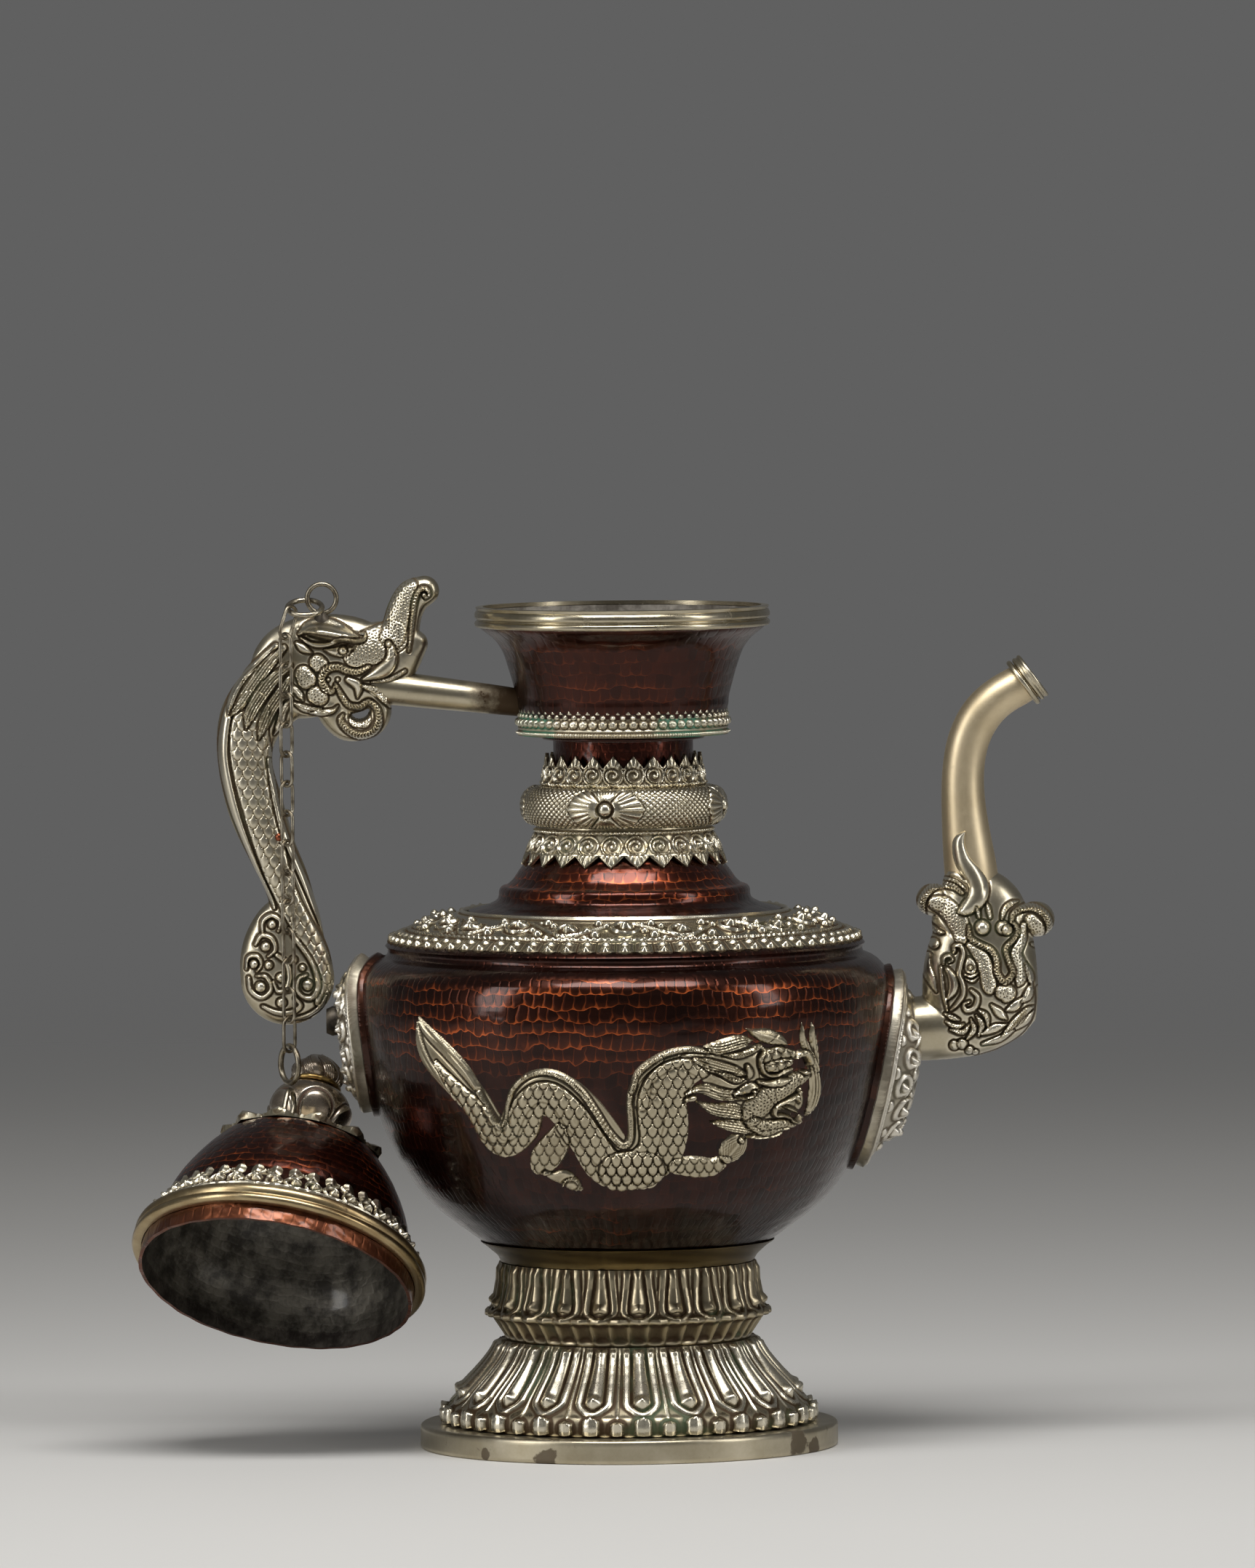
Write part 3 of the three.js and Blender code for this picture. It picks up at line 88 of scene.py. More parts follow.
def rgb(red: int, green: int, blue: int) -> Tone:
    """Turn a colour as it shows into scene light.

    Args:
        red, green, blue: The colour, 0 to 255.

    Returns:
        The linear colour with a full alpha.
    """
    shown = [value / 255 for value in (red, green, blue)]
    light = [v / 12.92 if v <= 0.04045 else ((v + 0.055) / 1.055) ** 2.4 for v in shown]
    return (light[0], light[1], light[2], 1.0)


# Shader maths


class Sock:
    """An output socket on which Python's operators add Math nodes."""

    def __init__(self, paint: "Paint", socket: Any) -> None:
        """Hold a socket and the paint that it belongs to."""
        self.paint = paint
        self.socket = socket

    def maths(self, operation: str, *others: Any) -> "Sock":
        """Add a Math node behind this socket.

        Args:
            operation: The node's operation.
            others: Its other values or sockets.

        Returns:
            The node's output.
        """
        return self.paint.node("ShaderNodeMath", {"operation": operation}, dict(enumerate((self, *others))))

    def __add__(self, other: Any) -> "Sock":
        """Add."""
        return self.maths("ADD", other)

    __radd__ = __add__

    def __sub__(self, other: Any) -> "Sock":
        """Take away."""
        return self.maths("SUBTRACT", other)

    def __rsub__(self, other: Any) -> "Sock":
        """Take this from a number."""
        return self.maths("MULTIPLY_ADD", -1.0, other)

    def __mul__(self, other: Any) -> "Sock":
        """Multiply."""
        return self.maths("MULTIPLY", other)

    __rmul__ = __mul__

    def __mod__(self, other: float) -> "Sock":
        """Keep what is left of whole steps."""
        return self.maths("FLOORED_MODULO", other)

    def floor(self) -> "Sock":
        """Round down."""
        return self.maths("FLOOR")

    def between(self, low: float, high: float) -> "Sock":
        """Rise smoothly from 0 at one value to 1 at another.

        Args:
            low: The value that gives 0.
            high: The value that gives 1, which may be the smaller.

        Returns:
            The mask.
        """
        settings = {"interpolation_type": "SMOOTHSTEP"}
        if low <= high:
            return self.paint.node("ShaderNodeMapRange", settings, {0: self, 1: low, 2: high})
        return 1 - self.paint.node("ShaderNodeMapRange", settings, {0: self, 1: high, 2: low})


class Paint:
    """A node material with a single metal shader."""

    def __init__(self, name: str) -> None:
        """Start an empty material.

        Args:
            name: The material's name.
        """
        self.material = bpy.data.materials.new(name)
        self.material.use_nodes = True
        self.tree = self.material.node_tree
        self.tree.nodes.clear()

    def node(self, kind: str, settings: dict[str, Any], links: dict[Any, Any], out: int | str = 0) -> Sock:
        """Add a node.

        Args:
            kind: The node's type.
            settings: Its settings, and "stops" for the stops of a ramp.
            links: Values or sockets for its inputs, by name or number.
            out: The output that is wanted.

        Returns:
            That output.
        """
        made = self.tree.nodes.new(kind)
        for key, value in settings.items():
            if key != "stops":
                setattr(made, key, value)
                continue
            ramp = made.color_ramp.elements
            while len(ramp) < len(value):
                ramp.new(1.0)
            for stop, (place, tone) in zip(ramp, value):
                stop.position, stop.color = place, tone
        for key, value in links.items():
            if isinstance(value, Sock):
                self.tree.links.new(value.socket, made.inputs[key])
            else:
                made.inputs[key].default_value = value
        return Sock(self, made.outputs[out])

    def mix(self, share: Any, first: Any, second: Any) -> Sock:
        """Mix two colours.

        Args:
            share: How much of the second shows.
            first, second: Colours or sockets.

        Returns:
            The mixed colour.
        """
        return self.node("ShaderNodeMix", {"data_type": "RGBA"}, {0: share, 6: first, 7: second}, 2)

    def vector(self, operation: str, *values: Any, out: int = 0) -> Sock:
        """Add a Vector Math node on some values and return its output."""
        return self.node("ShaderNodeVectorMath", {"operation": operation}, dict(enumerate(values)), out)

    def place(self) -> Sock:
        """Give the place on the piece, in metres in its own frame."""
        return self.node("ShaderNodeTexCoord", {}, {}, "Object")

    def crest(self) -> Sock:
        """Give the height above the surroundings, from -1 in a hollow to 1 on a crest."""
        return self.node("ShaderNodeAttribute", {"attribute_name": "crest"}, {}, "Fac")

    def noise(self, at: Any, scale: float, detail: float = 3.0, roughness: float = 0.55) -> Sock:
        """Give cloudy noise.

        Args:
            at: The place.
            scale: Clouds in a metre.
            detail: Finer layers.
            roughness: How much the finer layers show.

        Returns:
            The noise, mostly 0.3 to 0.7.
        """
        links = {"Vector": at, "Scale": scale, "Detail": detail, "Roughness": roughness}
        return self.node("ShaderNodeTexNoise", {}, links)

    def drawn(self, at: Any, stretch: tuple[float, float, float], scale: float, detail: float = 3.0) -> Sock:
        """Give noise drawn out into streaks by a stretch of each axis."""
        return self.noise(self.vector("MULTIPLY", at, stretch), scale, detail)

    def bump(self, height: Any, depth: float, strength: float = 1.0) -> Sock:
        """Add a Bump node on a height and a depth in metres."""
        return self.node("ShaderNodeBump", {}, {"Strength": strength, "Distance": depth, "Height": height})

    def finish(self, **sockets: Any) -> bpy.types.Material:
        """End in a Principled shader.

        Args:
            sockets: Its inputs, with _ for a space.

        Returns:
            The material.
        """
        links = {key.replace("_", " "): value for key, value in sockets.items()}
        shader = self.node("ShaderNodeBsdfPrincipled", {}, links)
        self._end(shader)
        return self.material

    def _end(self, shader: Sock) -> None:
        """Join a shader to the material's output."""
        last = self.tree.nodes.new("ShaderNodeOutputMaterial")
        self.tree.links.new(shader.socket, last.inputs["Surface"])


# Finishes


@dataclass(frozen=True)
class HammeredCopper:
    """Raised copper under dark lacquer, with hammer facets whose edges are worn bright and also carry a
    painted highlight: brightest along each facet's lower edge and in a band of height where the body colour
    is painted lighter too.
    """

    dark: Tone = rgb(25, 12, 8)
    warm: Tone = rgb(66, 30, 18)
    # edge: colour of the worn facet edges, also used as their painted highlight
    edge: Tone = rgb(196, 96, 46)
    rosy: Tone = rgb(72, 44, 38)
    facet: tuple[float, float] = (3.8, 4.8)
    radius: float = 95.0
    # fade: levels where a band of painted highlight rises and ends; the edge lines show and the body is
    # lighter inside it
    fade: tuple[float, float, float, float] = (132.0, 160.0, 173.5, 170.0)
    showing: float = 0.9
    roughness: float = 0.2
    lined_above: float = 0.0
    tin: Tone = rgb(104, 98, 90)
    old_tin: Tone = rgb(50, 45, 40)
    slot: Slot = Slot.COPPER

    def dress(self, name: str) -> bpy.types.Material:
        """Make the finish.

        Args:
            name: The material's name.

        Returns:
            The material.
        """
        paint = Paint(name)
        at = paint.place()
        axes = [paint.node("ShaderNodeSeparateXYZ", {}, {0: at}, n) for n in range(3)]
        turn = axes[1].maths("ARCTAN2", axes[0])
        cloud = paint.noise(at, 38.0, 4.0)
        wander = paint.noise(at, 90.0, 2.0) - 0.5
        shake = paint.noise(at, 240.0, 1.0) - 0.5
        up = axes[2] * (1000 / self.facet[1]) + wander * 1.2 + shake * 0.6
        row = up.floor()
        foot = 1.0 - (up - row)
        across = turn * (self.radius / self.facet[0]) + row * 0.47 + wander * 0.8 + shake * 0.5
        column = across.floor()
        side = (across - column) * 2.0 - 1.0
        across_square, foot_square = side * side, foot * foot
        curve = across_square * across_square + foot_square * foot_square
        near = 1.0 - curve.maths("SQRT").maths("SQRT")
        cell = paint.node("ShaderNodeCombineXYZ", {}, {0: column, 1: row})
        hue = paint.node("ShaderNodeTexWhiteNoise", {"noise_dimensions": "3D"}, {"Vector": cell}, "Color")
        shade = paint.node("ShaderNodeSeparateColor", {}, {0: hue}, 0)
        struck = paint.node("ShaderNodeTexWhiteNoise", {"noise_dimensions": "1D"}, {"W": row}, "Value")
        # rise and fall mark the band of painted highlight
        rise, fall = (axes[2].between(self.fade[n] * MM, self.fade[n + 1] * MM) for n in (0, 2))
        # Edge lines brightest at each facet's lower edge: worn edges plus painted highlight; the painted glow
        # spreads below them
        row_line = foot.between(0.9, 1.0) * cloud.between(0.42, 0.56) * (struck * 0.9 + 0.1)
        line = near.between(0.07, 0.0) * (foot * 0.5 + 0.18)
        painted_glow = foot.between(0.35, 1.0) * struck * 0.2 + near.between(0.26, 0.0) * 0.06
        patch = paint.noise(at, 22.0, 2.0).between(0.56, 0.68) * 0.3
        # seen: where the lines show, in random clouds and patches, strongest in the painted highlight band
        seen = ((cloud.between(0.38, 0.6) * 0.8 + 0.2) * rise + patch + 0.03) * fall * self.showing
        edge_wear_and_highlight = ((line * 0.8 + row_line * 0.9 + painted_glow) * seen).maths("MINIMUM", 1.0)
        # rise lightens the body colour inside the band: painted highlight
        body = paint.mix((cloud - 0.2) * 0.6 + shade * 0.3 + rise * 0.25 - 0.12, self.dark, self.warm)
        tarnish = paint.noise(at, 16.0, 3.0).between(0.56, 0.72)
        body = paint.mix(tarnish * 0.55, body, self.rosy)
        color = paint.mix(edge_wear_and_highlight, body, self.edge)
        offset = paint.node("ShaderNodeCombineXYZ", {}, {0: side, 1: foot - 0.5})
        tilt = paint.vector("SUBTRACT", hue, (0.5, 0.5, 0.5))
        lean = paint.vector("DOT_PRODUCT", offset, tilt, out=1)
        fine = paint.drawn(at, (1.0, 1.0, 3.0), 700.0)
        height = lean * 0.4 + near.between(0.0, 0.35) * 0.5 + fine * 0.05
        bump = paint.bump(height, 0.22 * MM, 0.7)
        rough = self.roughness + cloud * 0.14 + edge_wear_and_highlight * 0.16
        metallic: Any = 0.93
        if self.lined_above:
            outward = paint.vector("SUBTRACT", at, (0.0, 0.0, self.lined_above * MM))
            facing = paint.node("ShaderNodeTexCoord", {}, {}, "Normal")
            inside = paint.vector("DOT_PRODUCT", facing, outward, out=1).maths("LESS_THAN", 0.0)
            stains = paint.noise(at, 120.0, 6.0, 0.66)
            color = paint.mix(inside, color, paint.mix(stains.between(0.36, 0.66), self.old_tin, self.tin))
            rough = rough + inside * 0.22
            metallic = 0.93 - inside * 0.35
        return paint.finish(
            Base_Color=color, Metallic=metallic, Roughness=rough, Normal=bump, Coat_Weight=0.3,
            Coat_Roughness=0.12,
        )


@dataclass(frozen=True)
class WhiteMetal:
    """Chased white metal, bright where hands rub it and brown and green in its hollows."""

    bright: Tone = rgb(222, 214, 194)
    dull: Tone = rgb(158, 147, 121)
    brown: Tone = rgb(64, 47, 26)
    green: Tone = rgb(66, 88, 58)
    hollows: float = 0.9
    verdigris: float = 0.35
    spots: float = 0.25
    roughness: float = 0.3
    burnt: tuple[float, float] | None = None
    blots: tuple[tuple[float, float, float, float], ...] = ()
    slot: Slot = Slot.WHITE_METAL

    def dress(self, name: str) -> bpy.types.Material:
        """Make the finish.

        Args:
            name: The material's name.

        Returns:
            The material.
        """
        paint = Paint(name)
        at = paint.place()
        crest = paint.crest()
        cloud = paint.noise(at, 60.0, 4.0)
        grain = paint.noise(at, 900.0, 3.0, 0.65)
        patch = paint.noise(at, 150.0, 5.0, 0.6)
        deep = (crest * -1 + (patch - 0.5) * 0.9).between(0.05, 0.75) * self.hollows
        worn = (crest + (cloud - 0.5) * 0.8).between(-0.25, 0.55)
        metal = paint.mix(worn * 0.8 + (grain - 0.5) * 0.2 + 0.1, self.dull, self.bright)
        spot = (patch * 0.7 + grain * 0.3).between(0.6, 0.7) * self.spots
        stain = deep + spot
        if self.burnt:
            low, high = self.burnt
            across = paint.vector("DOT_PRODUCT", at, (1, 0, 0), out=1) + (patch - 0.5) * 0.03
            stain = stain + across.between(low * MM, high * MM)
        for x, y, z, size in self.blots:
            away = paint.vector("DISTANCE", at, (x * MM, y * MM, z * MM), out=1)
            stain = stain + (away + (patch - 0.5) * (2.0 * size * MM)).between(
                size * MM, 0.8 * size * MM,
            ) * 0.8
        stain = stain.maths("MINIMUM", 1.0)
        colour = paint.mix(stain, metal, self.brown)
        growth = (deep + 0.25) * paint.noise(at, 45.0, 4.0).between(0.52, 0.68) * self.verdigris
        colour = paint.mix(growth.maths("MINIMUM", 1.0), colour, self.green)
        rough = self.roughness + stain * 0.3 + (grain - 0.5) * 0.1
        metallic = 1 - (stain * 0.45 + growth * 0.5)
        scratch = paint.drawn(at, (1.0, 1.0, 7.0), 420.0)
        bump = paint.bump(patch * 0.4 + grain * 0.12 + scratch * 0.3, 0.1 * MM, 0.4)
        return paint.finish(Base_Color=colour, Metallic=metallic, Roughness=rough, Normal=bump)


@dataclass(frozen=True)
class PlainMetal:
    """Wire, brass or bare sheet, clouded and a little scratched."""

    light: Tone
    dark: Tone
    roughness: float = 0.34
    scale: float = 220.0
    contrast: float = 1.0
    metallic: float = 1.0
    slot: Slot = Slot.WHITE_METAL

    def dress(self, name: str) -> bpy.types.Material:
        """Make the finish.

        Args:
            name: The material's name.

        Returns:
            The material.
        """
        paint = Paint(name)
        at = paint.place()
        cloud = paint.noise(at, self.scale, 5.0, 0.6)
        grain = paint.noise(at, 1100.0, 2.0)
        share = ((cloud - 0.5) * (3.0 * self.contrast) + 0.5 + (grain - 0.5) * 0.4).maths("MAXIMUM", 0.0)
        colour = paint.mix(share.maths("MINIMUM", 1.0), self.dark, self.light)
        bump = paint.bump(cloud * 0.6 + grain * 0.4, 0.1 * MM, 0.5)
        rough = self.roughness + (cloud - 0.5) * -0.3 + (grain - 0.5) * 0.15
        return paint.finish(Base_Color=colour, Metallic=self.metallic, Roughness=rough, Normal=bump)


COPPER = HammeredCopper()
SILVERY = WhiteMetal()
DRAGON_SILVER = WhiteMetal(
    rgb(184, 174, 150), rgb(122, 111, 88), rgb(44, 32, 19), hollows=0.9, verdigris=0.12, spots=0.12,
    roughness=0.3,
)
MATTE_SILVER = WhiteMetal(
    rgb(214, 208, 196), rgb(166, 158, 140), hollows=0.75, verdigris=0.2, spots=0.1, roughness=0.36,
)
PLATE_COPPER = HammeredCopper(dark=rgb(38, 22, 16), warm=rgb(84, 48, 32), showing=0.0, roughness=0.3)
PIPE_METAL = WhiteMetal(
    rgb(234, 219, 188), rgb(190, 172, 138), hollows=0.3, verdigris=0.05, spots=0.15, roughness=0.44,
)
SMOOTH_SILVER = WhiteMetal(
    rgb(206, 196, 180), rgb(150, 134, 116), rgb(72, 50, 38), hollows=0.9, verdigris=0.1, roughness=0.26,
)
WORN_GOLD = WhiteMetal(
    rgb(206, 190, 152), rgb(136, 112, 76), rgb(66, 44, 24), hollows=0.8, verdigris=0.1, spots=0.7,
)
BRASS = PlainMetal(rgb(186, 160, 104), rgb(116, 92, 52), 0.32, slot=Slot.BRASS)
WIRE = PlainMetal(rgb(176, 168, 150), rgb(92, 82, 66), 0.34, slot=Slot.WIRE)
STRUT_METAL = WhiteMetal(hollows=0.5, verdigris=0.0, spots=0.5, burnt=(-58.0, -42.0))
SOLDERED = PlainMetal(rgb(96, 88, 76), rgb(34, 29, 24), 0.5, 160.0, 1.0, 0.7)
BARE_COPPER = PlainMetal(rgb(168, 98, 70), rgb(84, 44, 30), 0.3, 120.0, slot=Slot.COPPER)


# Meshes


@dataclass
class Skin:
    """A surface in millimetres: corners, four cornered faces and the crest of each corner."""

    corners: Grid
    faces: Grid
    crest: Grid

    def __add__(self, other: "Skin") -> "Skin":
        """Join two surfaces into one piece.

        Args:
            other: The second surface.

        Returns:
            Both as one.
        """
        return Skin(
            np.vstack([self.corners, other.corners]),
            np.vstack([self.faces, other.faces + len(self.corners)]),
            np.concatenate([self.crest, other.crest]),
        )

    def moved(self, matrix: Matrix) -> "Skin":
        """Carry the surface with a matrix in millimetres."""
        grid = np.array(matrix)
        return Skin(self.corners @ grid[:3, :3].T + grid[:3, 3], self.faces, self.crest)


def hill(distance: Grid, width: float) -> Grid:
    """Give a smooth hill, 1 at no distance and 0 from a width on."""
    return np.cos(np.clip(distance / width, -1, 1) * np.pi / 2) ** 2


def ball(x: Grid, y: Grid, radius: float) -> Grid:
    """Give the height of a half ball over a place beside its middle."""
    return np.sqrt(np.clip(radius ** 2 - x ** 2 - y ** 2, 0, None))


def smooth(low: float, high: float, value: Grid) -> Grid:
    """Rise smoothly from 0 at a low value to 1 at a high one."""
    share = np.clip((value - low) / (high - low), 0, 1)
    return share * share * (3 - 2 * share)


def zigzag(turn: Grid, count: int, phase: float = 0.5) -> Grid:
    """Give a pointed line round the turn, 0 at each of a count of tips and 1 between them."""
    place = turn / TURN * count + phase
    return 2 * np.abs(place - np.floor(place + 0.5))


def spiral(x: Grid, y: Grid, radius: float, turns: float = 1.5, hand: float = 1.0) -> Grid:
    """Give a curl of raised wire round a place.

    Args:
        x, y: Distance from the curl's middle, in millimetres.
        radius: The curl's size.
        turns: How often the wire goes round.
        hand: 1 or -1 for the way that it winds.

    Returns:
        The height, 0 to 1.
    """
    out = np.hypot(x, y) / radius
    phase = out * turns - np.arctan2(y, x * hand) / TURN
    wire = hill((phase % 1.0) - 0.5, 0.36)
    return np.maximum(wire, hill(out, 0.34)) * smooth(1.06, 0.92, out)


def blurred(height: Grid, times: int, wraps: bool = True) -> Grid:
    """Smooth a grid of heights, round the turn and along the outline.

    Args:
        height: The heights.
        times: How often each is mixed with its neighbours.
        wraps: Whether the grid closes round its turn.

    Returns:
        The smoothed heights.
    """
    soft = height
    for _ in range(times):
        edge = np.pad(soft, ((1, 1), (0, 0)), "edge")
        soft = (edge[:-2] + edge[2:] + 2 * soft) / 4
        side = np.pad(soft, ((0, 0), (1, 1)), "wrap" if wraps else "edge")
        soft = (side[:, :-2] + side[:, 2:] + 2 * soft) / 4
    return soft


@dataclass
class Ground:
    """Where the corners of a turned surface lie."""

    turn: Grid
    arc: Grid
    radius: Grid
    level: Grid
    length: float

    @property
    def share(self) -> Grid:
        """Give the share of the outline, 0 at its start."""
        return self.arc / self.length

    def cell(self, count: int, phase: float = 0.0) -> tuple[Grid, Grid, Grid]:
        """Divide the turn into cells.

        Args:
            count: How many.
            phase: Cells by which they are moved round.

        Returns:
            The distance from the middle of a cell, its width, both in millimetres, and its number.
        """
        place = self.turn / TURN * count + phase
        number = np.floor(place + 0.5)
        width = TURN * self.radius / count
        return (place - number) * width, width + 0 * place, number % count


Relief = Callable[[Ground], Grid]
Edges = Callable[[Grid], tuple[Grid, Grid]]


def turned(
    outline: Outline, steps: int, pitch: float = 0.6, relief: Relief | None = None,
    wall: float = 0.0, edges: Edges | None = None, back: Outline = (), blur: int = 7,
) -> Skin:
    """Turn an outline about the axis and raise a relief on it.

    Args:
        outline: Radius and height of each point, so that the outside lies on the right going up.
        steps: Corners round the turn.
        pitch: Distance of the rows.
        relief: Height of the relief over each place, square to the outline.
        wall: Thickness of a shell that has the same outline inside.
        edges: Where the surface starts and ends at each turn, in millimetres of outline.
        back: An outline of its own for the back, from the end of the front to its start.
        blur: How wide the surroundings are that crests are measured against.

    Returns:
        The surface.
    """
    line = np.array(outline, float)
    arcs = np.concatenate([[0], np.cumsum(np.hypot(*np.diff(line, axis=0).T))])
    length = arcs[-1]
    rows = max(int(length / pitch), 2) + 1
    turn = np.linspace(0, TURN, steps, endpoint=False)[None, :]
    share = np.linspace(0, 1, rows)[:, None]
    start, end = edges(turn) if edges else (0 * turn, length + 0 * turn)
    arc = start + (end - start) * share
    grid = Ground(
        turn + 0 * arc, arc, np.interp(arc, arcs, line[:, 0]), np.interp(arc, arcs, line[:, 1]), length,
    )
    height = relief(grid) if relief else np.zeros_like(arc)
    crest = np.clip((height - blurred(height, blur)) / 0.28, -1, 1)

    def laid(arc: Grid, rise: Grid) -> Grid:
        """Give places over the outline, at a height square to it.

        Args:
            arc: Place of each corner along the outline.
            rise: Its height.

        Returns:
            Its place.
        """
        step = 0.4
        ends = np.clip(np.stack([arc - step, arc + step]), 0, length)
        out, up = (np.interp(ends, arcs, line[:, n]) for n in (0, 1))
        run = np.hypot(out[1] - out[0], up[1] - up[0]) + 1e-9
        radius = np.interp(arc, arcs, line[:, 0]) + rise * (up[1] - up[0]) / run
        level = np.interp(arc, arcs, line[:, 1]) - rise * (out[1] - out[0]) / run
        return np.stack([radius * np.sin(turn), -radius * np.cos(turn), level], axis=-1)

    front = laid(arc, height)
    layers, crests = [front], [crest]
    if wall:
        inner = start + (end - start) * np.linspace(1, 0, max(int(length / 4), 2) + 1)[:, None]
        layers.append(laid(inner, np.full_like(inner, -wall)))
    elif len(back):
        ring = np.array(back, float)[:, None, :]
        radius, level = ring[..., 0] + 0 * turn, ring[..., 1] + 0 * turn
        layers.append(np.stack([radius * np.sin(turn), -radius * np.cos(turn), level], axis=-1))
    if len(layers) == 2:
        crests.append(np.zeros(layers[1].shape[:2]))
    places = np.vstack(layers)
    return Skin(
        places.reshape(-1, 3), tube_faces(len(places), steps, len(layers) == 2), np.vstack(crests).ravel(),
    )


def tube_faces(rows: int, steps: int, closed: bool) -> Grid:
    """Give the faces of a grid that closes on itself round its steps, and along its rows where closed.

    Args:
        rows: Rows of the grid.
        steps: Corners in a row.
        closed: Whether the last row joins the first.

    Returns:
        The corners of each face.
    """
    row, step = np.meshgrid(np.arange(rows if closed else rows - 1), np.arange(steps), indexing="ij")
    after, beside = (row + 1) % rows, (step + 1) % steps
    corners = [row * steps + step, row * steps + beside, after * steps + beside, after * steps + step]
    return np.stack(corners, axis=-1).reshape(-1, 4)


def smoothed(line: Outline, times: int = 1) -> list[tuple[float, float]]:
    """Round the corners of an outline by cutting each of them.

    Args:
        line: The outline.
        times: How often its corners are cut.

    Returns:
        The rounder outline.
    """
    points = [tuple(p) for p in line]
    for _ in range(times):
        cut = [points[0]]
        for (r0, z0), (r1, z1) in zip(points, points[1:]):
            cut += [
                (0.75 * r0 + 0.25 * r1, 0.75 * z0 + 0.25 * z1),
                (0.25 * r0 + 0.75 * r1, 0.25 * z0 + 0.75 * z1),
            ]
        points = cut + [points[-1]]
    return points


def sized(shares: Outline, radius: float, height: float, level: float = 0.0) -> list[tuple[float, float]]:
    """Bring an outline of shares to its size, standing on a level."""
    return [(out * radius, level + up * height) for out, up in shares]


def mesh_of(name: str, skin: Skin) -> bpy.types.Object:
    """Make an object of a surface.

    Args:
        name: Its name.
        skin: The surface.

    Returns:
        The object, linked to the scene.
    """
    mesh = bpy.data.meshes.new(name)
    mesh.vertices.add(len(skin.corners))
    mesh.vertices.foreach_set("co", (skin.corners * MM).astype(np.float32).ravel())
    mesh.loops.add(skin.faces.size)
    mesh.loops.foreach_set("vertex_index", skin.faces.astype(np.int32).ravel())
    mesh.polygons.add(len(skin.faces))
    mesh.polygons.foreach_set(
        "loop_start", np.arange(0, skin.faces.size, skin.faces.shape[1], dtype=np.int32),
    )
    mesh.update(calc_edges=True)
    mesh.shade_smooth()
    mesh.set_sharp_from_angle(angle=math.radians(52))
    layer = mesh.attributes.new("crest", "FLOAT", "POINT")
    layer.data.foreach_set("value", skin.crest.astype(np.float32))
    made = bpy.data.objects.new(name, mesh)
    bpy.context.scene.collection.objects.link(made)
    return made


@dataclass
class Shop:
    """Where pieces are finished, put in place and hung on their bodies."""

    axis: Vector
    finishes: dict[Any, bpy.types.Material] = field(default_factory=dict)

    def finish(self, kind: Any) -> bpy.types.Material:
        """Give the material of a finish, made once.

        Args:
            kind: The finish.

        Returns:
            Its material.
        """
        if kind not in self.finishes:
            self.finishes[kind] = kind.dress(f"{type(kind).__name__}_{len(self.finishes):02d}")
        return self.finishes[kind]

    def place(
        self, name: str, skin: Skin | bpy.types.Object, finish: Any, nodes: Sequence[str] = (),
        body: str = "ewer", at: Matrix | None = None,
    ) -> bpy.types.Object:
        """Put a piece in place.

        Args:
            name: The piece's name.
            skin: Its surface in its own frame, or an object.
            finish: The finish.
            nodes: The CAD nodes that it stands for.
            body: The body that it rides.
            at: Its own frame, in metres; the ewer's axis where there is none.

        Returns:
            The object.
        """
        made = mesh_of(name, skin) if isinstance(skin, Skin) else skin
        made.data.materials.clear()
        made.data.materials.append(self.finish(finish))
        made.matrix_world = at or Matrix.Translation(self.axis)
        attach(made, body)
        if nodes:
            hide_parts(*nodes)
        LOG.info("%s: %d faces on %s", name, len(made.data.polygons), body)
        return made


# Foot


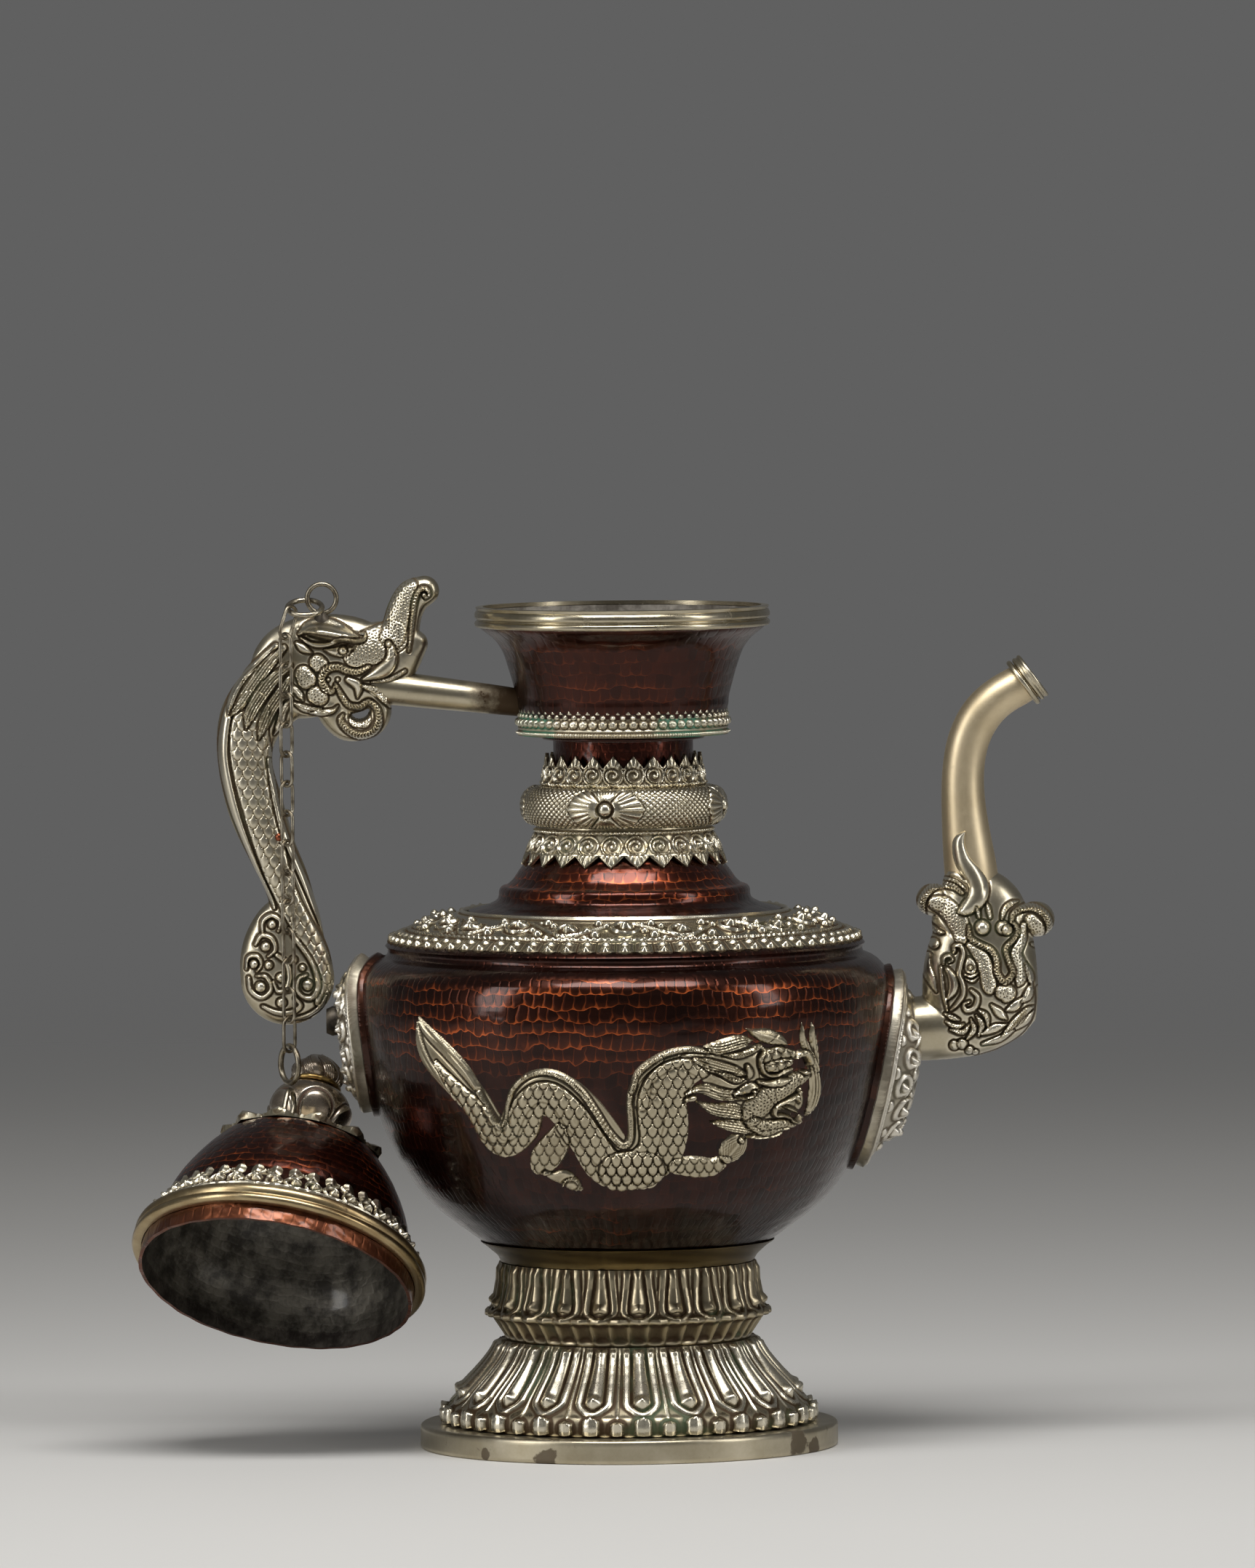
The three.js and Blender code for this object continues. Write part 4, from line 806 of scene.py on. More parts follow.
@dataclass
class Foot:
    """The plain ring, two tiers of lotus petals and the collar under the bowl."""

    base_radius: float = 74.8
    base_height: float = 8.6
    base_wall: float = 13.0
    lower_radius: float = 67.4
    lower_height: float = 29.8
    upper_radius: float = 51.6
    upper_height: float = 27.3
    petals: int = 22
    turn: float = -0.27
    wall: float = 3.2
    gap: float = 0.3
    collar_radius: float = 52.6
    collar_height: float = 7.2

    @property
    def upper_foot(self) -> float:
        """Give the level of the upper tier."""
        return self.base_height + self.lower_height + 2 * self.gap

    @property
    def top(self) -> float:
        """Give the level of the collar."""
        return self.upper_foot + self.upper_height + self.gap

    def tongue(self, ground: Ground, low: float, width: Grid, rise: float) -> Grid:
        """Give a long rounded tongue in each cell, with its rim.

        Args:
            ground: The surface.
            low: Where the tip is, in millimetres of outline.
            width: Half its width.
            rise: Its height.

        Returns:
            The height.
        """
        x, cell, _ = ground.cell(self.petals, self.turn)
        x = np.abs(x)
        below = np.clip(low + width - ground.arc, 0, None)
        out = np.where(below > 0, np.hypot(x, below) + 0.25 * np.minimum(x, below), x) - width
        inside = np.clip(-out / width, 0, 1)
        tongue = rise * (0.62 * np.sqrt(inside * (2 - inside)) + 0.38 * inside)
        tip = smooth(0.0, 3.36, ground.arc - low) * hill(ground.arc - low - 2.6, 3.6)
        tongue = tongue + tip * rise * 0.55 * np.clip(1 - x / (width * 0.95), 0, 1)
        rim = rise * 0.46 * np.clip(hill(out - 2.0, 1.9) * 1.5, 0, 1)
        rib = rise * 0.24 * hill(cell / 2 - x, 0.7)
        return np.maximum(tongue, np.maximum(rim, rib))

    def lining(self, radius: float, high_share: float, low_share: float, outline: Outline) -> Outline:
        """Give the inside of a tier.

        Args:
            radius: The tier's radius.
            high_share, low_share: Shares of it at the top and at the foot.
            outline: The tier's outside.

        Returns:
            The outline of the back.
        """
        ends = ((high_share, outline[-1][1]), (low_share, outline[0][1]))
        return [(share * radius - self.wall, level) for share, level in ends]

    def lower_relief(self, ground: Ground) -> Grid:
        """Give the relief of the lower tier.

        Args:
            ground: The surface.

        Returns:
            The height over each place.
        """
        share = ground.share
        fade = smooth(1.0, 0.93, share) * 0.75 + 0.25
        tongue = self.tongue(ground, 10.2, 2.3 + 1.15 * smooth(0.95, 0.3, share), 2.3) * fade
        tongue = tongue * smooth(0.13, 0.24, share)
        x, cell, number = ground.cell(self.petals * 2, self.turn * 2)
        large = number % 2 == 0
        half = cell * np.where(large, 0.37, 0.3)
        block = np.clip((half - np.abs(x)) / 1.1, 0, 1) * (1 - 0.34 * np.abs(x) / half)
        top = np.where(large, 7.2, 6.0) - 0.28 * np.abs(x)
        window = smooth(0.7, 1.5, ground.arc) * smooth(0.0, 1.3, top - ground.arc)
        cap = 0.5 * hill(ground.arc - top + 1.2, 1.1) * np.clip(1 - np.abs(x) / half, 0, 1)
        return np.maximum(tongue, (block * 2.5 + cap) * window) + 0.25 * hill(ground.arc - 0.4, 0.8)

    def upper_relief(self, ground: Ground) -> Grid:
        """Give the relief of the upper tier.

        Args:
            ground: The surface.

        Returns:
            The height over each place.
        """
        arc, share = ground.arc, ground.share
        edge = 0.36 * ground.length
        tongue = self.tongue(ground, edge + 1.6, 1.7 + 1.5 * smooth(1.0, 0.45, share), 1.9)
        tongue = tongue * smooth(edge - 0.6, edge + 1.2, arc) * (0.4 + 0.6 * smooth(1.0, 0.9, share))
        x, cell, _ = ground.cell(self.petals * 2, self.turn * 2)
        point = np.clip(1 - 2 * np.abs(x) / cell, 0, 1)
        lip = (0.5 + 1.5 * point) * hill(arc - edge, 2.3)
        hollow = -1.5 * (1 - (2 * np.abs(x) / cell) ** 2) * smooth(0.3, 2.0, arc) * smooth(
            edge, edge - 2.2, arc,
        )
        return np.maximum(tongue, lip) + hollow

    def build(self, shop: Shop) -> None:
        """Build and dress the foot.

        Args:
            shop: Where it is finished and put in place.
        """
        out, low = self.base_radius, self.base_height
        inner = out - self.base_wall
        ring = [
            (out - 0.5, 0), (out, 0.5), (out, low - 1.0), (out - 0.35, low - 0.3), (out - 1.0, low),
            (inner + 0.3, low),
        ]
        plain = WhiteMetal(
            hollows=0.2, verdigris=0.05, spots=0.5, roughness=0.34,
            blots=(
                (-29.7, -68.6, 1.5, 4.5), (-51.0, -54.8, 2.6, 2.6), (60.0, -44.6, 4.0, 5.5),
                (66.0, -35.0, 2.0, 4.0),
            ),
        )
        ring_skin = turned(
            ring, 220, 0.9, lambda g: 0.05 * np.sin(5 * g.turn) - 0.05, back=[(inner, low), (inner, 0)],
        )
        shop.place("foot_ring", ring_skin, plain, ["base_ring"])
        shares = [
            (0.96, 0), (0.975, 0.08), (0.965, 0.2), (0.925, 0.27), (0.87, 0.42), (0.775, 0.64), (0.705, 0.84),
            (0.675, 1),
        ]
        outline = smoothed(sized(shares, self.lower_radius, self.lower_height, self.base_height + self.gap))
        inside = self.lining(self.lower_radius, 0.67, 0.97, outline)
        aged = WhiteMetal(hollows=1.0, verdigris=0.5, spots=0.25, roughness=0.28)
        shop.place(
            "lotus_lower", turned(outline, self.petals * 36, 0.5, self.lower_relief, back=inside, blur=10),
            aged, ["foot_lotus_lower"],
        )
        shares = [
            (0.85, 0), (0.885, 0.1), (0.955, 0.3), (0.965, 0.36), (0.93, 0.42), (0.905, 0.55), (0.885, 0.75),
            (0.88, 1),
        ]
        outline = sized(shares, self.upper_radius, self.upper_height, self.upper_foot)
        inside = self.lining(self.upper_radius, 0.87, 0.86, outline)
        shop.place(
            "lotus_upper", turned(outline, self.petals * 32, 0.45, self.upper_relief, back=inside, blur=10),
            WhiteMetal(
                rgb(176, 164, 138), rgb(112, 100, 76), hollows=1.0, verdigris=0.4, spots=0.4, roughness=0.32,
            ),
            ["foot_lotus_upper"],
        )
        shares = [(0.864, 0), (0.872, 0.12), (0.885, 0.3), (0.93, 0.6), (0.975, 0.85), (1, 0.97), (1, 1)]
        outline = smoothed(sized(shares, self.collar_radius, self.collar_height, self.top))
        out, foot = self.collar_radius, self.top
        cradle = [
            (out - 0.8, outline[-1][1] + 0.2), (0.84 * out, foot + 1.8), (0.76 * out, foot + 1.6),
            (0.76 * out, foot),
        ]
        shop.place(
            "bowl_collar",
            turned(outline, 240, 0.7, lambda g: 0.06 * np.sin(7 * g.turn + g.arc), back=cradle),
            WhiteMetal(
                dull=rgb(70, 57, 34), bright=rgb(116, 100, 66), hollows=0.3, verdigris=0.15, spots=0.6,
                roughness=0.38,
            ),
            ["foot_collar"],
        )


def span(*nodes: str) -> tuple[float, float, float]:
    """Give the lowest and highest level and the half width of CAD nodes, in millimetres.

    Args:
        nodes: Their names.

    Returns:
        The two levels and the half width.
    """
    boxes = [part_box(node) for node in nodes]
    low, high = min(box[0].z for box in boxes), max(box[1].z for box in boxes)
    return low / MM, high / MM, max(box[1].x - box[0].x for box in boxes) / 2 / MM


def wavy(amount: float) -> Relief:
    """Give the slight unevenness of beaten sheet, up to an amount in millimetres.

    Args:
        amount: Its greatest height.

    Returns:
        The relief.
    """
    def relief(ground: Ground) -> Grid:
        """Give the height over each place.

        Args:
            ground: The surface.

        Returns:
            The height over each place.
        """
        turn, arc = ground.turn, ground.arc
        waves = np.sin(9 * turn + 0.13 * arc) + np.sin(23 * turn - 0.31 * arc + 1.7) * np.sin(0.47 * arc)
        return amount * (waves + 0.6 * np.sin(41 * turn + 0.9 * arc) * np.sin(1.15 * arc + 2 * turn)) / 2.6
    return relief


# Body


@dataclass
class Body:
    """The hammered bowl with the ornament that lies on its shoulder."""

    radius: float = 95.5
    height: float = 112.2
    shoulder: float = 10.5
    wall: float = 1.5
    leaves: int = 76
    scrolls: int = 22
    leaf_tip: float = 1.7
    ornament_width: float = 29.6
    shares: Outline = (
        (0.002, 0), (0.44, 0), (0.466, 0), (0.54, 0.047), (0.603, 0.085), (0.712, 0.154), (0.78, 0.212),
        (0.841, 0.293),
        (0.9, 0.386), (0.963, 0.548), (0.995, 0.726), (1, 0.816), (0.99, 0.896), (0.955, 0.935),
        (0.921, 0.954),
        (0.888, 0.968),
    )

    def relief(self, ground: Ground) -> Grid:
        """Give the unevenness of the bowl and the moulding under its ornament.

        Args:
            ground: The surface.

        Returns:
            The height over each place.
        """
        level = ground.level - self.level - self.height
        ridge = 0.9 * hill(level + 0.6, 1.5) * (ground.radius > 60)
        return wavy(0.16)(ground) * smooth(4, 0, level + 5) + ridge - 0.35 * hill(level + 4.2, 1.4)

    def ornament(self, ground: Ground) -> Grid:
        """Give the relief of the ring of leaves, balls and scrolls.

        Args:
            ground: The surface.

        Returns:
            The height over each place.
        """
        arc = ground.arc
        x, cell, _ = ground.cell(self.leaves)
        half = cell / 2
        leaf = np.clip(
            1 - np.abs(x) / half, 0, 1,
        ) ** 0.6 * (0.5 + 0.5 * smooth(0, 2.2, arc)) * smooth(8.2, 6.2, arc)
        leaf = 1.0 * leaf + 1.35 * hill(np.hypot(x, 0.8 * (arc - 2.0)), 1.7)
        knob = ball(x, arc - 5.6, 1.75) + 0.35 * hill(np.hypot(x, arc - 5.6) - 2.5, 0.6)
        low = np.maximum(leaf, knob) * smooth(8.6, 7.9, arc)
        rope = (0.9 + 0.3 * np.cos(190 * ground.turn + 2.2 * arc)) * hill(arc - 9.2, 1.0)
        x, cell, number = ground.cell(self.scrolls)
        side = np.where(number % 2 == 0, 1.0, -1.0)
        middle = 17.2 + 1.6 * side
        band = 1.5 * spiral(x, arc - middle, 5.6, 1.3, 1.0) + 1.5 * ball(x, arc - middle, 1.9) / 1.9
        stem = 1.0 * hill(arc - 17.2 - 5.2 * side * np.cos(np.pi * x / cell), 0.9)
        y, _, _ = ground.cell(self.scrolls, 0.5)
        for across, up, size in ((0.0, 12.6, 1.7), (0.0, 22.4, 1.6), (-3.2, 15.6, 1.3), (3.2, 19.6, 1.3)):
            band = np.maximum(band, 1.25 * ball(y - across, arc - up, size))
        bud = np.abs(np.abs(x) - cell * 0.33)
        band = np.maximum(band, 0.9 * hill(np.hypot(bud, arc - middle - 4.5 * side), 1.5))
        band = np.maximum(band, stem) * smooth(10.3, 11.3, arc)
        band = band * smooth(ground.length - 1.8, ground.length - 2.6, arc)
        rim = 1.3 * hill(arc - ground.length + 0.9, 1.0)
        return np.maximum.reduce([low, rope, band, rim]) - 0.25

    def build(self, shop: Shop) -> None:
        """Build and dress the bowl and its ornament.

        Args:
            shop: Where it is finished and put in place.
        """
        nodes = ("vessel_base", "vessel_body", "shoulder_plate")
        self.level = span(*nodes)[0]
        shoulder = [(0.889, 0.985), (0.889, 1.0)] + [
            (out, 1 + up * self.shoulder / self.height)
            for out, up in ((0.869, 0.12), (0.775, 0.59), (0.681, 0.9), (0.597, 1), (0.503, 1))
        ]
        outline = sized(list(self.shares) + shoulder, self.radius, self.height, self.level)
        outline = outline[:3] + smoothed(outline[3:])
        bowl = turned(outline, 420, 1.1, self.relief, wall=self.wall)
        shop.place("bowl", bowl, COPPER, nodes)
        ridge = self.level + self.height
        seat = [
            (85.0, ridge + 0.5), (83.0, ridge + 1.75), (74.2, ridge + 6.8), (65.2, ridge + 10.1),
            (57.2, ridge + 11.2),
        ]
        ring = turned(
            smoothed(seat), self.leaves * 18, 0.42, self.ornament, wall=0.55, blur=9,
            edges=lambda turn: (
                self.leaf_tip * zigzag(turn, self.leaves, 0.0), 0 * turn + self.ornament_width,
            ),
        )
        shop.place(
            "shoulder_leaves", ring, WhiteMetal(hollows=1.0, verdigris=0.2, spots=0.1, roughness=0.24),
            ["shoulder_ornament"],
        )


# Neck


@dataclass
class Neck:
    """The copper cone and tube with its knop between two leafed collars."""

    foot_radius: float = 55.9
    cone_height: float = 28.0
    tube_radius: float = 25.0
    height: float = 61.6
    wall: float = 1.5
    leaves: int = 24
    leaf: float = 4.6
    knop_radius: float = 36.7
    medallions: int = 4
    turn: float = 0.03
    shares: Outline = (
        (1, 0), (1, 0.03), (0.877, 0.096), (0.822, 0.15), (0.805, 0.19), (0.801, 0.329), (0.733, 0.361),
        (0.648, 0.611), (0.614, 0.661), (0.537, 0.875),
    )

    def scrolls(self, ground: Ground, middle: float, size: float, low: float, tip: float) -> Grid:
        """Give a collar's relief.

        Args:
            ground: The surface.
            middle: Where the row of curls runs, in millimetres of outline.
            size: The radius of a curl.
            low: Where the leaves join the band.
            tip: Where their points are.

        Returns:
            The height.
        """
        x, cell, _ = ground.cell(self.leaves, 0.5)
        arc = ground.arc
        curl = 1.0 * spiral(x, arc - middle, size, 1.2, 1.0)
        arch = 0.8 * hill(np.hypot(x, arc - middle) - size - 0.6, 0.6)
        share = np.clip((arc - low) / (tip - low), 0, 1)
        half = cell / 2 * (1 - share) + 0.01
        inside = np.clip(1 - np.abs(x) / half, 0, 1)
        hatch = 0.16 * np.cos(np.abs(x) * (4.2 - 1.4 * share) - share * 3.0)
        leaf = (0.35 * np.sqrt(inside) + hatch * smooth(0.05, 0.3, inside) + 0.25 * inside) * smooth(
            0, 0.12, share,
        )
        line = 0.3 * hill(arc - low, 0.5)
        return np.maximum(np.maximum(curl, arch) * (share <= 0), np.maximum(leaf, line))

    def rope(self, ground: Ground, at: float, width: float, twist: float = 2.2) -> Grid:
        """Give a twisted line round a collar."""
        return (0.75 + 0.3 * np.cos(120 * ground.turn + twist * ground.arc)) * hill(ground.arc - at, width)

    def knop(self, ground: Ground) -> Grid:
        """Give the lattice and the four petalled lozenges of the knop.

        Args:
            ground: The surface.

        Returns:
            The height over each place.
        """
        arc = ground.arc - ground.length / 2
        across = ground.turn * self.knop_radius
        first, second = (np.abs(np.sin((across + way * arc * 1.25) * np.pi / 2.5)) for way in (1, -1))
        lattice = 0.62 * np.minimum(first, second) ** 0.6
        x, _, _ = ground.cell(self.medallions, self.turn * self.medallions)
        x = x * self.knop_radius / np.maximum(ground.radius, 1)
        wide, tall, waist = 15.0, 8.6, 7.2
        out, up = np.abs(x), np.abs(arc)
        outer = np.maximum(out - waist, 0) / (wide - waist)
        lozenge = np.maximum(up / tall, 0) + outer ** 1.6
        cross = (up - tall * out / waist) * waist / math.hypot(waist, tall)
        dome = np.clip(1 - lozenge, 0, 1) ** 0.4 * np.clip(np.abs(cross) / 3.4, 0, 1) ** 0.5
        rays = 0.2 * np.cos(np.arctan2(arc, out) * 34) * smooth(5.0, 6.5, np.hypot(x, arc))
        flower = 0.45 + 0.75 * dome + rays - 0.6 * hill(cross, 0.55) * (lozenge < 1)
        flower = flower - 0.6 * hill((lozenge - 1.0) * 4.0, 0.45)
        middle = 1.5 * ball(x, arc, 2.2) / 2.2 - 0.8 * hill(np.hypot(x, arc) - 2.8, 0.6)
        flower = np.where(np.hypot(x, arc) < 3.4, 0.5 + middle, flower)
        inside = smooth(1.04, 0.98, lozenge)
        return lattice * (1 - inside) + flower * inside

    def build(self, shop: Shop) -> None:
        """Build and dress the neck.

        Args:
            shop: Where it is finished and put in place.
        """
        foot = span("neck_cone")[0]
        outline = sized(self.shares, self.foot_radius, self.cone_height, foot)
        outline += [(self.tube_radius, foot + self.cone_height), (self.tube_radius, foot + self.height)]
        outline = outline[:2] + smoothed(outline[2:])
        # fade sets the band of painted highlight on the neck's copper
        copper = HammeredCopper(
            radius=40.0, facet=(4.2, 3.0), fade=(195.5, 198.5, 209.0, 204.0), showing=0.9,
            warm=rgb(92, 40, 24),
        )
        shop.place("neck", turned(outline, 280, 0.8, wavy(0.1), wall=self.wall), copper, ["neck_cone"])
        silver = WhiteMetal(hollows=0.95, verdigris=0.3, spots=0.15, roughness=0.27)
        low, high, radius = span("neck_collar_lower")
        tall = high - low
        outline = [
            (radius + 0.3, low - 1.4), (radius - 2.2, low + 0.34 * tall), (radius - 4.6, low + 0.72 * tall),
            (radius - 5.2, high - 0.1),
        ]
        length = sum(math.dist(a, b) for a, b in zip(outline, outline[1:]))
        skin = turned(
            smoothed(outline), self.leaves * 34, 0.34, wall=1.0, blur=6,
            edges=lambda turn: (self.leaf * zigzag(turn, self.leaves), 0 * turn + length),
            relief=lambda g: self.scrolls(g, 8.2, 3.1, 4.9, 0.3) + self.rope(g, length - 1.6, 1.0),
        )
        shop.place("collar_lower", skin, silver, ["neck_collar_lower"])
        low, high, radius = span("neck_knop")
        shares = (
            (0.83, 0), (0.9, 0.03), (0.95, 0.12), (0.985, 0.28), (0.995, 0.5), (0.985, 0.72), (0.95, 0.88),
            (0.9, 0.97), (0.83, 1),
        )
        outline = smoothed(sized(shares, radius - 0.5, high - low, low))
        skin = turned(outline, 760, 0.32, self.knop, back=[(25.4, high), (25.4, low)], blur=5)
        shop.place("knop", skin, silver, ["neck_knop"])
        low, high, radius = span("neck_collar_upper")
        tall = high - low
        outline = [
            (radius + 0.2, low), (radius - 0.3, low + 0.3 * tall), (radius - 0.9, low + 0.6 * tall),
            (radius - 1.2, high),
        ]
        skin = turned(
            outline, self.leaves * 32, 0.34, wall=0.9, blur=6,
            edges=lambda turn: (0 * turn, tall - self.leaf * zigzag(turn, self.leaves)),
            relief=lambda g: self.scrolls(g, 4.8, 2.9, tall - 4.4, tall) + self.rope(g, 1.0, 0.9),
        )
        shop.place("collar_upper", skin, silver, ["neck_collar_upper"])


# Mouth


@dataclass
class Mouth:
    """The flange, the flared cup with its band of beads, and its rim."""

    beads: int = 64
    petal: float = 2.2
    bore: float = 23.5
    floor_radius: float = 35.5
    wall: float = 1.5
    shares: Outline = (
        (0.737, 0.25), (0.737, 0.289), (0.762, 0.406), (0.791, 0.524), (0.823, 0.641), (0.852, 0.711),
        (0.895, 0.777), (0.95, 0.825), (0.99, 0.86), (1, 0.9), (1, 1),
    )

    def bead_rows(self, ground: Ground) -> Grid:
        """Give the rows of the bead band, from the milled line up to the petals.

        Args:
            ground: The surface.

        Returns:
            The height over each place.
        """
        arc = ground.arc
        milled = (0.75 + 0.35 * np.cos(ground.turn * 230)) * hill(arc - 0.95, 0.95)
        plain = 0.5 * hill(arc - 2.55, 0.7)
        x, _, _ = ground.cell(self.beads)
        away = np.hypot(x, arc - 4.75)
        large = 1.0 * ball(x, arc - 4.75, 1.65) + 0.14 * np.cos(away * 7.5) * (away < 1.5)
        small = 0.95 * ball(x, arc - 7.2, 1.05) + 0.22 * hill(np.hypot(x, arc - 7.2), 0.4)
        y, cell, _ = ground.cell(self.beads, 0.5)
        petal = 0.75 * np.clip(1 - np.abs(y) / (cell / 2 * np.clip((10.6 - arc) / 2.2, 0.02, 1)), 0, 1) ** 0.6
        return np.maximum.reduce([milled, plain, large, small, petal * smooth(7.9, 8.5, arc)]) - 0.15

    def build(self, shop: Shop) -> None:
        """Build and dress the mouth.

        Args:
            shop: Where it is finished and put in place.
        """
        low, high, radius = span("neck_flange")
        bore, wall, floor = self.bore, self.wall, self.floor_radius
        rim = [(radius - 0.3, low), (radius, low + 0.3), (radius, high - 0.3), (radius - 0.3, high)]
        shop.place("flange", turned(rim, 160, 0.4, back=[(bore, high), (bore, low)]), COPPER, ["neck_flange"])
        low, high, radius = span("mouth_cup")
        outline = [(bore, low), (floor - 0.3, low), (floor, low + 0.3)]
        outline += smoothed(sized(self.shares, radius, high - low, low))
        # fade sets the band of painted highlight on the cup's copper
        copper = HammeredCopper(
            radius=42.0, facet=(3.8, 4.4), fade=(258.0, 272.0, 293.0, 286.0), showing=0.16,
            warm=rgb(72, 29, 13),
            dark=rgb(23, 11, 7), rosy=rgb(92, 41, 18), lined_above=high, tin=rgb(150, 144, 134),
            old_tin=rgb(92, 86, 78),
        )
        inner = [(r - wall, z) for r, z in outline[::-1] if z > low + 1.4]
        inner = [(radius - wall, high)] + inner[1:]
        inner += [(floor - wall, low + wall + 0.4), (floor - wall - 2.0, low + wall), (bore, low + wall)]
        cup = turned(outline, 320, 0.9, wavy(0.12), back=inner)
        shop.place("cup", cup, copper, ["mouth_cup"])
        low, high, radius = span("bead_band")
        outline = [
            (radius - 0.6, low), (radius - 0.9, low + 2.0), (radius - 1.2, low + 6.0), (radius - 1.5, high),
        ]
        tall = high - low
        skin = turned(
            outline, self.beads * 16, 0.3, self.bead_rows, wall=0.9, blur=5,
            edges=lambda turn: (0 * turn, tall - self.petal * zigzag(turn, self.beads)),
        )
        green = WhiteMetal(hollows=0.9, verdigris=1.2, spots=0.1, green=rgb(62, 112, 88), roughness=0.3)
        shop.place("beads", skin, green, ["bead_band"])
        low, high, radius = span("rim_ring")
        shares = (
            (0.975, 0), (0.992, 0.02), (1, 0.12), (1, 0.24), (0.99, 0.31), (0.982, 0.34), (0.982, 0.38),
            (0.992, 0.42),
            (1, 0.52), (1, 0.66), (0.992, 0.78), (0.984, 0.82), (0.988, 0.88), (0.994, 0.97), (0.985, 1),
        )
        outline = sized(shares, radius, high - low, low)
        back = [
            (radius - 3.0, high), (radius - 3.0, high - 1.3), (radius - 1.15, high - 1.3),
            (radius - 1.15, low),
        ]
        bright = WhiteMetal(hollows=0.5, verdigris=0.15, spots=0.35, roughness=0.24)
        shop.place("rim", turned(outline, 300, 0.25, wavy(0.06), back=back), bright, ["rim_ring"])


# Chased forms


Place = tuple[float, float, float]
Path = Sequence[Place]
Window = tuple[float, float, float, float]
Stations = Sequence[tuple[float, float, float, float]]


class Look(Enum):
    """How the top of a chased stroke is worked."""

    ROUND = "round"
    ROPED = "roped"
    RIBBED = "ribbed"
    COMBED = "combed"
    SCALED = "scaled"
    LEAF = "leaf"
    PITTED = "pitted"
    FLAT = "flat"


def scales(along: Grid, across: Grid, long: float, wide: float) -> Grid:
    """Give overlapping round scales that point along a course.

    Args:
        along: Place along the course, in millimetres.
        across: Place beside its middle.
        long: Distance of the rows.
        wide: Width of a scale.

    Returns:
        The height, 0 to 1.
    """
    height = np.zeros_like(along)
    for back in (0, 1):
        row = np.floor(along / long) - back
        side = across / wide + 0.5 * (row % 2)
        side = (side - np.floor(side) - 0.5) * wide
        away = along - (row + 0.55) * long
        out = np.hypot(np.maximum(away, 0) / (0.95 * long), side / (0.53 * wide))
        tip = 0.72 + 0.28 * np.clip(away / long + 0.5, 0, 1)
        pad = 0.3 + 0.7 * np.sqrt(np.clip(1 - out ** 2, 0, 1)) * tip
        height = np.where(out < 1, pad, height)
    return height


Strokes = Sequence[tuple[Look, float, float, Path]]
Balls = Sequence[tuple[float, float, float, float, float]]
LEAN = math.radians(0.495)


@dataclass(frozen=True)
class Sheet:
    """A drawing of the chasing, upright against the ewer: its upper left corner and unit, in millimetres."""

    left: float
    top: float
    unit: float

    def place(self, x: float, y: float, half: float) -> Place:
        """Give the place and half width of a point drawn on the sheet, which leans a little.

        Args:
            x, y: The point on the sheet.
            half: Its half width there.

        Returns:
            The place and half width in millimetres.
        """
        across, down = x * self.unit, y * self.unit
        left = self.left + across * math.cos(LEAN) - down * math.sin(LEAN)
        return left, self.top - across * math.sin(LEAN) - down * math.cos(LEAN), half * self.unit


def placed(shares: Stations, x: float, z: float, size: float, depth: float) -> Stations:
    """Give stations from shares of a size and a depth, measured from a corner."""
    return [(x + along * size, z + up * size, half * size, deep * depth) for along, up, half, deep in shares]


